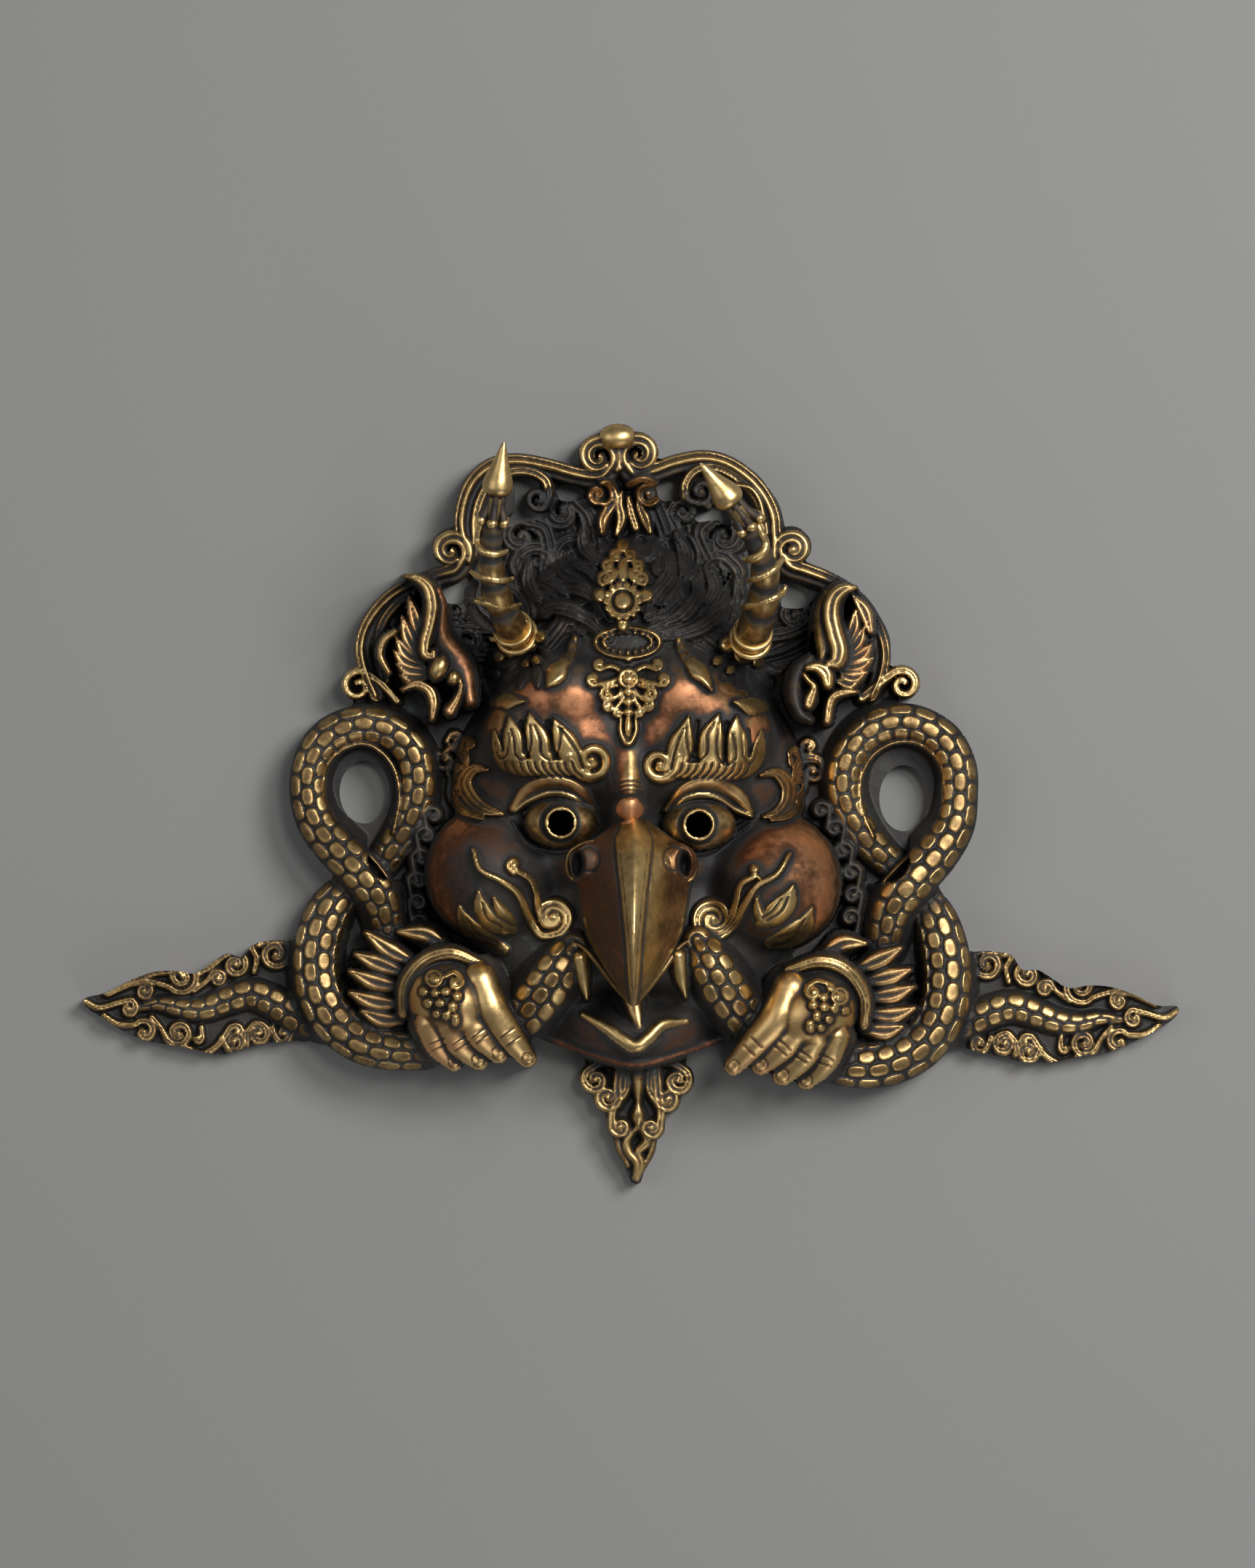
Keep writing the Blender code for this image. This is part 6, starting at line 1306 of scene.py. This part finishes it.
def lay_hands(board):
    board.finish = "scale"
    for neck in NECKS:
        board.stroke(neck, on_body=False, section=scaled(NECK_SCALES, 5.0, 0.13))
    board.finish = "leaf"
    for spray in SPRAYS:
        board.stroke(tapered(spray, (1.6, 2.7, 0.8), 20), depth=2.6, on_body=False, section=reeded(2, 0.25))
    board.finish = "tail"
    for cuff in CUFFS:
        board.stroke(cuff, on_body=False, section=reeded(3, 0.3))
    board.finish = "hand"
    for (x, y, rx, ry, high), fingers in zip(PALMS, FINGERS):
        board.mound(x, y, rx, ry, 14, high, 0.36, turn=-40 if x < 0 else 40, blend=1.0)
        for finger in fingers:
            board.stroke(finger, on_body=False, blend=1.0)
    board.body = board.z.copy()
    for finger in FINGERS[0] + FINGERS[1]:
        (ax, ay, *_), (bx, by, half, *_) = finger[-3:-1]
        length = math.hypot(bx - ax, by - ay)
        nx, ny = -(by - ay) / length, (bx - ax) / length
        for back in (-0.3, 0.3):
            cx, cy = bx + (ax - bx) * back / 2, by + (ay - by) * back / 2
            wrinkle = [(cx + way * nx * half * 0.6, cy + way * ny * half * 0.6) for way in (-1, 1)]
            board.groove(wrinkle, 0.28, 0.35)
        tx, ty, tip, _ = finger[-1]
        board.groove(arc(tx, ty, tip * 0.62, tip * 0.62, 0, 360), 0.22, 0.25)
    board.finish = "gold"
    for x, y in HAND_BOSSES:
        board.stroke([(*p, 0.4, 2.2) for p in arc(x, y, 2.0, 2.0, 0, 360, 17)], blend=0.2)
        board.bead(x, y, 1.3, 2.8)
    for stem, eye, turns in HAND_CURLS:
        board.curl(stem, eye, turns, (0.7, 0.8, 0.6), 2.2, 0.6, depth=1.4, blend=0.2)
    for x, y, rx, ry in HAND_BEADS:
        board.bead(x, y, rx, 2.2, ry)


def lay_pendant(board):
    board.finish = "tail"
    for stem, eye, turns, halves in PENDANT_SCROLLS:
        board.curl(stem, eye, turns, halves, 10.2, 0.7, depth=2.6, on_body=False, section=reeded(2, 0.35),
                   blend=0.25)
    for stem in PENDANT_STEMS:
        board.stroke(stem, depth=1.8, on_body=False, blend=0.25)


def carve():
    board = Board(CELL)
    lay_ground(board)
    soften_ground(board)
    for outline in OPENINGS:
        board.opening(outline)
    lay_eyes(board)
    lay_cheeks(board)
    lay_brows(board)
    lay_mouth(board)
    lay_frame(board)
    lay_hair(board)
    lay_jewels(board)
    lay_tall_ears(board)
    lay_serpents(board)
    lay_hands(board)
    lay_pendant(board)
    for x, y, rx, ry in LOOP_EYES:
        board.round_opening(x, y, rx, ry)
    for x, y in EYES:
        board.round_opening(x, y, PUPIL, PUPIL)
    return board


# Swept parts

def square_to(axis):
    """Two directions square to an axis and to each other."""
    across = np.cross(axis, (0, 0, 1.0))
    across /= np.linalg.norm(across)
    return across, np.cross(across, axis / np.linalg.norm(axis))


def sweep(rows, sides):
    """Points and faces of a closed round tube through rows of (x, y, z, radius)."""
    centres, radii = rows[:, :3], rows[:, 3]
    tangents = np.gradient(centres, axis=0)
    tangents /= np.linalg.norm(tangents, axis=1)[:, None]
    across = np.cross(tangents, (0.0, 0.0, 1.0))
    across /= np.maximum(np.linalg.norm(across, axis=1), 1e-6)[:, None]
    up = np.cross(across, tangents)
    angles = np.linspace(0, 2 * math.pi, sides, endpoint=False)
    out = np.cos(angles)[:, None] * across[:, None] + np.sin(angles)[:, None] * up[:, None]
    rings = centres[:, None] + radii[:, None, None] * out
    points = np.vstack([rings.reshape(-1, 3), centres[:1], centres[-1:]])
    faces = []
    for i in range(len(rows) - 1):
        for j in range(sides):
            k = (j + 1) % sides
            faces.append((i * sides + j, (i + 1) * sides + j, (i + 1) * sides + k, i * sides + k))
    last = len(rows) * sides
    for j in range(sides):
        k = (j + 1) % sides
        faces.append((last, j, k))
        faces.append((last + 1, last - sides + k, last - sides + j))
    return points, faces


def ball(centre, radii, axis, rows=10, sides=14):
    """An egg shape with its long axis along axis."""
    axis = np.asarray(axis, float) / np.linalg.norm(axis)
    shares = np.cos(np.linspace(math.pi, 0, rows + 1))
    centres = np.asarray(centre, float) + axis * radii[1] * shares[:, None] * 0.999
    return sweep(np.column_stack([centres, radii[0] * np.sqrt(np.clip(1 - shares**2, 0.0004, 1))]), sides)


class Solids:
    """Meshes gathered into one piece, with the finish of each."""

    def __init__(self):
        self.points, self.faces, self.wear_and_light, self.red, self.count = [], [], [], [], 0

    def add(self, solid, finish, wear_and_light=None, red=None):
        points, faces = solid
        base, base_red = FINISHES[finish]
        self.points.append(points)
        self.faces += [tuple(int(k) + self.count for k in face) for face in faces]
        self.wear_and_light.append(np.full(len(points), base) if wear_and_light is None else wear_and_light)
        self.red.append(np.full(len(points), base_red) if red is None else red)
        self.count += len(points)


def wound(stem, rows):
    """Lays (x, y, half width) rows on the horn's skin as an eye above sees them."""
    out = []
    for x, y, half in smooth_path(rows, 0.35):
        k = int(np.argmin((stem[:, 0] - x) ** 2 + (stem[:, 1] - y) ** 2))
        away, radius = math.hypot(stem[k, 0] - x, stem[k, 1] - y), stem[k, 3] + 0.35 * half
        drop = max(0.0, away - radius)
        out.append((x, y, stem[k, 2] + math.sqrt(max(radius**2 - away**2, 0)) - 1.2 * drop, half))
    return np.array(out)


def horn(stem_rows, cap, wires, waists):
    """One horn: its mottled stem, what winds over it, the lappets under the cap and the pointed cap."""
    solids = Solids()
    stem = smooth_path(stem_rows, 0.4)
    pinch = sum(np.exp(-(((stem[:, 1] - y) / 1.3) ** 2)) for y in waists)
    swept = stem.copy()
    swept[:, 3] += 0.35 - 0.55 * np.clip(pinch, 0, 1)
    bright = np.repeat(0.74 - 0.56 * np.clip(pinch, 0, 1), HORN_SIDES)
    solids.add(sweep(swept, HORN_SIDES), "brass", np.concatenate([bright, [0.1, 0.1]]))
    for finish, rows in wires:
        solids.add(sweep(wound(stem, rows), RING_SIDES), finish)
    for k, radius, thick in FOOT_RINGS:
        across, up = square_to(stem[k + 1, :3] - stem[k, :3])
        turns = np.linspace(0, 2 * math.pi, HORN_SIDES)[:, None]
        loop = stem[k, :3] + radius * (np.cos(turns) * across + np.sin(turns) * up)
        solids.add(sweep(np.column_stack([loop, np.full(HORN_SIDES, thick)]), RING_SIDES), "gold")
    base, tip = (np.array(p, float) for p in cap)
    axis = (tip - base) / np.linalg.norm(tip - base)
    across, up = square_to(axis)
    for k in range(LAPPETS):
        a = 2 * math.pi * (k + 0.5) / LAPPETS
        out = across * math.cos(a) + up * math.sin(a)
        root = base + axis * 0.4 + out * 1.8
        lap = base - axis * 3.4 + out * 2.2
        end = base - axis * 6.6 + out * 3.5
        rows = smooth_path([(*root, 1.0), (*lap, 1.0), (*end, 1.3)], 0.4)
        solids.add(sweep(rows, 14), "bronze")
        solids.add(ball(end, (1.4, 1.4), axis), "gold")
    profile = np.array(CAP_PROFILE)
    shares = np.linspace(0, 1, 60)
    radii = np.interp(shares, profile[:, 0], profile[:, 1])
    radii = np.convolve(np.pad(radii, 2, "edge"), np.ones(5) / 5, "valid")
    wear_and_light = np.repeat(0.95 - 0.5 * np.clip(1 - shares / 0.12, 0, 1), HORN_SIDES)
    cap_solid = sweep(np.column_stack([base + (tip - base) * shares[:, None], radii]), HORN_SIDES)
    solids.add(cap_solid, "gold", np.concatenate([wear_and_light, [0.5, 0.95]]))
    return solids


def nostril(x, y, z):
    """Height with the nostrils' swollen wings and their slits, and how bright the spot stays."""
    shade = 1.0
    for wing_x, wing_y, slit_x, slit_y in NOSTRILS:
        side = 1 if wing_x > 0 else -1
        wing = ((x - wing_x) / WING_HALF[0]) ** 2 + ((y - wing_y) / WING_HALF[1]) ** 2
        if wing < 1:
            swell = WING_HEIGHT[0] + WING_HEIGHT[1] * (1 - wing**1.5) ** 0.5
            z = max(z, swell) + 0.3 * math.exp(-(((z - swell) / 1.5) ** 2))
        slit = ((x - slit_x) / SLIT_HALF[0]) ** 2 + ((y - slit_y) / SLIT_HALF[1]) ** 2
        z -= SLIT_DEEP * math.exp(-1.3 * slit**2)
        shade *= 1 - math.exp(-1.1 * slit**2)
        lobe = math.hypot((x - wing_x + side * 1.0) / 1.0, (y - wing_y - 0.6) / 1.25)
        line = math.exp(-(((lobe - 2.6) / 0.25) ** 2)) * (y > wing_y - 4.4)
        z -= 0.6 * line
        shade *= 1 - 0.8 * line
    return z, shade


def beak():
    """The hooked upper beak: a keeled hood with a raised band down its ridge and a lip along its edge."""
    ridge, edge = smooth_path(BEAK_RIDGE, 0.1), smooth_path(BEAK_EDGE, 0.1)
    ridge = ridge[np.linspace(0, len(ridge) - 1, BEAK_ROWS).astype(int)]
    edge = edge[np.linspace(0, len(edge) - 1, BEAK_ROWS).astype(int)]
    band_y, band_half = np.array(BEAK_BAND).T
    turn = np.linspace(-math.pi / 2, math.pi / 2, BEAK_ACROSS + 1)
    points, wear_and_light, red = [], [], []
    for (ry, rz), (ex, ey, ez) in zip(ridge, edge):
        for a in turn:
            u = math.sin(a)
            x = ex * u
            share = 1 - abs(u) ** BEAK_KEEL
            y, z = ey + (ry - ey) * share, ez + (rz - ez) * share
            half = float(np.interp(y, band_y, band_half))
            over = 1 / (1 + math.exp(min((abs(x) - half) / 0.15, 60)))
            seam = math.exp(-(((abs(x) - half - 0.3) / 0.32) ** 2)) * (y < -6)
            seam += 0.5 * math.exp(-(((abs(x) - half + 1.0) / 0.22) ** 2)) * (y < -13)
            lip = math.exp(-(((ex - abs(x) - 0.9) / 0.55) ** 2)) if y < -30 else 0.0
            z, shade = nostril(BEAK_X + x, y, z)
            z += over * (0.4 + 0.5 * max(0, 1 - (x / half) ** 2)) - 0.55 * seam + 0.4 * lip
            points.append((BEAK_X + x, y, z))
            # Painted light: the right side, turned to the light, is made brighter, and the flank beside the
            # band on the right gets a painted highlight. The left side is redder, darker copper, partly the
            # metal's colour and partly painted shade.
            lit_flank_highlight = math.exp(-(((x - half - 2.4) / 2.4) ** 2)) if x > 0 else 0.0
            rubbed_and_lit = 0.48 + 0.34 * over - 0.6 * seam + 0.3 * lip + 0.12 / (1 + math.exp(-x / 1.5))
            wear_and_light.append((rubbed_and_lit + 0.3 * lit_flank_highlight) * shade)
            red.append((0.72 if x < 0 else 0.58) * (1 - over) * (1 - lip) * (1 - 0.8 * lit_flank_highlight))
        for a in turn[-2:0:-1]:
            share = 0.25 * math.cos(a)
            points.append((BEAK_X + ex * math.sin(a), ey + (ry - ey) * share, ez + (rz - ez) * share))
            wear_and_light.append(0.2)
            red.append(0.3)
    around = 2 * BEAK_ACROSS
    tip = (BEAK_ROWS - 1) * around
    faces = []
    for start in range(0, tip, around):
        for j in range(around):
            k = (j + 1) % around
            faces.append((start + j, start + k, start + around + k, start + around + j))
    first, last = len(points), len(points) + 1
    points.append(tuple(np.mean(points[:around], axis=0)))
    points.append(tuple(np.mean(points[tip : tip + around], axis=0)))
    wear_and_light += [0.3, 0.9]
    red += [0.3, 0.0]
    for j in range(around):
        k = (j + 1) % around
        faces.append((first, k, j))
        faces.append((last, tip + j, tip + k))
    solids = Solids()
    solids.add((np.array(points), faces), "brass", np.clip(np.array(wear_and_light), 0, 1), np.array(red))
    for rim in BEAK_RIMS:
        solids.add(sweep(smooth_path(rim), RING_SIDES), "brass")
    return solids


# Metal

TARNISH_DARK = (0.016, 0.015, 0.015)
TARNISH_PALE = (0.042, 0.039, 0.036)
VERDIGRIS = (0.10, 0.16, 0.14)
BRASS_DULL = (0.30, 0.185, 0.075)
BRASS_BRIGHT = (0.70, 0.50, 0.22)
COPPER_DULL = (0.22, 0.088, 0.045)
COPPER_BRIGHT = (0.74, 0.34, 0.17)
FLOOR_COLOUR = (0.25, 0.247, 0.24)
SKY_COLOUR = (0.62, 0.63, 0.65)
SKY_STRENGTH = 0.24
# Grain of the cast skin: how strong, and how deep in metres.
SKIN_STRENGTH = 0.35
SKIN_DEPTH = 0.00035


def node(tree, kind, **values):
    made = tree.nodes.new(kind)
    for name, value in values.items():
        setattr(made, name, value)
    return made


def cast_metal():
    """Dark patina over copper alloy, rubbed through to brass and to copper."""
    material = bpy.data.materials.new("cast_brass_patina")
    material.use_nodes = True
    tree = material.node_tree
    link = tree.links.new
    shader = tree.nodes["Principled BSDF"]
    place = node(tree, "ShaderNodeTexCoord")
    # This attribute holds the bare metal share; in a few spots it also carries painted shade and painted
    # highlights.
    wear_and_light = node(tree, "ShaderNodeAttribute", attribute_name="wear_and_light")
    red = node(tree, "ShaderNodeAttribute", attribute_name="red")

    def noise(scale, detail, roughness=0.6):
        made = node(tree, "ShaderNodeTexNoise")
        made.inputs["Scale"].default_value = scale
        made.inputs["Detail"].default_value = detail
        made.inputs["Roughness"].default_value = roughness
        link(place.outputs["Object"], made.inputs["Vector"])
        return made.outputs["Fac"]

    def ranged(value, low, high, new_low, new_high):
        made = node(tree, "ShaderNodeMapRange", interpolation_type="SMOOTHSTEP")
        link(value, made.inputs["Value"])
        numbers = {"From Min": low, "From Max": high, "To Min": new_low, "To Max": new_high}
        for socket, number in numbers.items():
            made.inputs[socket].default_value = number
        return made.outputs["Result"]

    def maths(operation, a, b):
        made = node(tree, "ShaderNodeMath", operation=operation)
        for socket, value in zip(made.inputs, (a, b)):
            if isinstance(value, (int, float)):
                socket.default_value = value
            else:
                link(value, socket)
        return made.outputs["Value"]

    def mixed(share, a, b):
        made = node(tree, "ShaderNodeMix", data_type="RGBA")
        link(share, made.inputs["Factor"])
        for socket, value in ((made.inputs["A"], a), (made.inputs["B"], b)):
            if isinstance(value, tuple):
                socket.default_value = (*value, 1.0)
            else:
                link(value, socket)
        return made.outputs["Result"]

    def varied(value, pattern, strength):
        return maths("ADD", value, maths("MULTIPLY", maths("SUBTRACT", pattern, 0.5), strength))

    blotches, grain, specks = noise(55, 4), noise(420, 5), noise(1500, 3)
    share = varied(varied(wear_and_light.outputs["Fac"], grain, 0.55), blotches, 0.35)
    bare = ranged(share, 0.22, 0.80, 0.0, 1.0)
    copper = ranged(varied(red.outputs["Fac"], blotches, 0.9), 0.25, 0.85, 0.0, 1.0)
    tarnish = mixed(ranged(blotches, 0.35, 0.65, 0.0, 1.0), TARNISH_DARK, TARNISH_PALE)
    green = ranged(maths("ADD", grain, blotches), 1.16, 1.34, 0.0, 0.35)
    tarnish = mixed(green, tarnish, VERDIGRIS)
    brass = mixed(ranged(share, 0.55, 1.05, 0.0, 1.0), BRASS_DULL, BRASS_BRIGHT)
    red_metal = mixed(ranged(share, 0.45, 0.95, 0.0, 1.0), COPPER_DULL, COPPER_BRIGHT)
    metal = mixed(copper, brass, red_metal)
    link(mixed(bare, tarnish, metal), shader.inputs["Base Color"])
    rough = varied(ranged(bare, 0.0, 1.0, 0.58, 0.38), grain, 0.22)
    rough = maths("ADD", rough, maths("MULTIPLY", copper, 0.14))
    link(rough, shader.inputs["Roughness"])
    link(ranged(bare, 0.0, 0.7, 0.35, 1.0), shader.inputs["Metallic"])
    bump = node(tree, "ShaderNodeBump")
    bump.inputs["Strength"].default_value = SKIN_STRENGTH
    bump.inputs["Distance"].default_value = SKIN_DEPTH
    link(maths("ADD", maths("MULTIPLY", grain, 0.7), maths("MULTIPLY", specks, 0.3)), bump.inputs["Height"])
    link(bump.outputs["Normal"], shader.inputs["Normal"])
    return material


# Pieces

def as_seen(points):
    """Board points moved to where they really are, for what the eye above sees at the drawn places."""
    near = (EYE[2] - points[:, 2:]) / EYE[2]
    return np.column_stack([EYE[:2] + (points[:, :2] - EYE[:2]) * near, points[:, 2]])


def make_piece(name, points, faces, wear_and_light, red, material, normals=None):
    """A piece of the casting; points are world millimetres, normals one row for each face corner."""
    mesh = bpy.data.meshes.new(name)
    mesh.from_pydata((points * UNIT).tolist(), [], faces if isinstance(faces, list) else faces.tolist())
    mesh.update()
    for label, values in (("wear_and_light", wear_and_light), ("red", red)):
        layer = mesh.attributes.new(label, "FLOAT", "POINT")
        layer.data.foreach_set("value", np.ascontiguousarray(values, dtype=np.float32))
    mesh.materials.append(material)
    mesh.shade_smooth()
    if normals is not None:
        mesh.normals_split_custom_set(normals.tolist())
    piece = bpy.data.objects.new(name, mesh)
    bpy.context.scene.collection.objects.link(piece)
    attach(piece, "root")
    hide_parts("garuda_mask")
    return piece


def numbered(whole):
    """Which grid points the metal cells use, and the numbers of each cell's corners."""
    used = np.zeros((whole.shape[0] + 1, whole.shape[1] + 1), bool)
    for i, j in ((0, 0), (1, 0), (0, 1), (1, 1)):
        used[i : i + whole.shape[0], j : j + whole.shape[1]] |= whole
    index = np.full(used.shape, -1)
    index[used] = np.arange(used.sum())
    i, j = np.nonzero(whole)
    return used, np.column_stack([index[i, j], index[i + 1, j], index[i + 1, j + 1], index[i, j + 1]])


def surface(board, back):
    """Front and rear points, their finishes, the quads of the front, the rim's edges and its slope."""
    x, y, whole, slope = board.trimmed()
    wear_and_light, red = board.finishes()
    used, quads = numbered(whole)
    front = np.column_stack([x[used], y[used], np.maximum(board.z[used], back[used] + 1.0)])
    rear = np.column_stack([x[used], y[used], back[used]])
    ends = np.vstack([quads[:, [0, 1]], quads[:, [1, 2]], quads[:, [2, 3]], quads[:, [3, 0]]])
    count = len(front)
    keys = ends[:, 0] * count + ends[:, 1]
    rim = ends[~np.isin(keys, ends[:, 1] * count + ends[:, 0])]
    out = -np.column_stack([slope[0][used], slope[1][used], np.zeros(count)])
    out /= np.maximum(np.linalg.norm(out, axis=1), 1e-6)[:, None]
    return front, rear, wear_and_light[used], red[used], quads, rim, out


def point_normals(points, quads):
    a, b = points[quads[:, 2]] - points[quads[:, 0]], points[quads[:, 3]] - points[quads[:, 1]]
    faces = np.cross(a, b)
    total = np.zeros(points.shape)
    for corner in range(4):
        for axis in range(3):
            total[:, axis] += np.bincount(quads[:, corner], faces[:, axis], len(points))
    return total / np.maximum(np.linalg.norm(total, axis=1), 1e-9)[:, None]


def build_casting(material):
    """The front and its edge in a few pieces side by side, the back as one, and the swept parts."""
    board = carve()
    back = board.underside()
    front, rear, wear_and_light, red, quads, rim, out = surface(board, back)
    front, rear = as_seen(front), as_seen(rear)
    low, high = front.min(0), front.max(0)
    shift = np.array(((low[0] + high[0]) / 2, (low[1] + high[1]) / 2, 0.0))
    front, rear = front - shift, rear - shift
    count = len(front)
    walls = np.column_stack([rim[:, 1], rim[:, 0], rim[:, 0] + count, rim[:, 1] + count])
    points = np.vstack([front, rear])
    faces = np.vstack([quads, walls])
    normals = np.vstack([point_normals(front, quads), out])
    wall_lit = np.vstack([out, out])
    corner_normals = np.concatenate([normals[quads], wall_lit[walls]])
    wear_and_light = np.concatenate([wear_and_light, np.clip(wear_and_light * 0.3, 0, 0.3)])
    red = np.concatenate([red, red])
    order = points[faces[:, 0], 0]
    cuts = np.quantile(order, np.linspace(0, 1, PIECES + 1)[1:-1])
    part_of = np.searchsorted(cuts, order)
    for k in range(PIECES):
        mine = part_of == k
        used, local = np.unique(faces[mine], return_inverse=True)
        local = local.reshape(-1, 4)
        make_piece("casting_front_%d" % (k + 1), points[used], local, wear_and_light[used], red[used], material,
                   corner_normals[mine].reshape(-1, 3))
    build_back(board, shift, material)
    for label, *parts in zip(("left", "right"), HORNS, HORN_CAPS, HORN_WIRES, HORN_WAISTS):
        add_solids("horn_" + label, horn(*parts), shift, material)
    add_solids("beak", beak(), shift, material)
    return shift


def build_back(fine, shift, material):
    """The plain back, at a coarser grid, with its hollow."""
    step = int(round(BACK_CELL / fine.cell))
    board = Board.__new__(Board)
    board.cell = fine.cell * step
    for name in ("X", "Y", "z", "edge", "wear_and_light", "red", "shade"):
        setattr(board, name, getattr(fine, name)[::step, ::step])
    back = board.underside()
    x, y, whole, _ = board.trimmed()
    used, quads = numbered(whole)
    points = as_seen(np.column_stack([x[used], y[used], back[used]])) - shift
    wear_and_light, red = np.full(len(points), 0.22), np.full(len(points), 0.3)
    piece = make_piece("casting_back", points, quads[:, [0, 3, 2, 1]], wear_and_light, red, material)
    piece.data.set_sharp_from_angle(angle=math.radians(40))


def add_solids(name, solids, shift, material):
    points = as_seen(np.vstack(solids.points)) - shift
    wear_and_light, red = np.concatenate(solids.wear_and_light), np.concatenate(solids.red)
    piece = make_piece(name, points, solids.faces, wear_and_light, red, material)
    piece.data.set_sharp_from_angle(angle=math.radians(50))


# Floor, lights and camera

# Softboxes: name, place in metres, side and power.
LIGHTS = [
    ("key_softbox", (0.62, 0.45, 1.0), 0.42, 11), ("top_softbox", (0.4, 0.3, 1.6), 0.3, 6),
    ("fill_softbox", (-0.9, 0.1, 1.0), 0.8, 2.5), ("low_rim", (0.4, -1.0, 0.5), 0.5, 2),
]


def pale_floor():
    bpy.ops.mesh.primitive_plane_add(size=6, location=(0, 0, 0))
    floor = bpy.context.object
    floor.name = "floor"
    material = bpy.data.materials.new("pale_floor")
    material.use_nodes = True
    shader = material.node_tree.nodes["Principled BSDF"]
    shader.inputs["Base Color"].default_value = (*FLOOR_COLOUR, 1)
    shader.inputs["Roughness"].default_value = 0.9
    floor.data.materials.append(material)


def lamp(name, place, size, power):
    """A soft square light that faces the middle of the mask."""
    data = bpy.data.lights.new(name, "AREA")
    data.size = size
    data.energy = power
    light = bpy.data.objects.new(name, data)
    light.location = place
    toward = -light.location
    light.rotation_euler = toward.to_track_quat("-Z", "Y").to_euler()
    bpy.context.scene.collection.objects.link(light)


def light_and_camera(shift):
    for light in LIGHTS:
        lamp(*light)
    world = bpy.data.worlds.new("studio")
    world.use_nodes = True
    background = world.node_tree.nodes["Background"]
    background.inputs["Color"].default_value = (*SKY_COLOUR, 1)
    background.inputs["Strength"].default_value = SKY_STRENGTH
    bpy.context.scene.world = world
    bpy.context.scene.view_settings.view_transform = "Standard"
    data = bpy.data.cameras.new("camera")
    data.sensor_width = 36
    data.lens = data.sensor_width * EYE[2] / VIEW_HEIGHT_MM
    data.clip_start = 0.05
    camera = bpy.data.objects.new("camera", data)
    camera.location = (EYE - shift) * UNIT
    bpy.context.scene.collection.objects.link(camera)
    bpy.context.scene.camera = camera


metal = cast_metal()
offset = build_casting(metal)
pale_floor()
light_and_camera(offset)
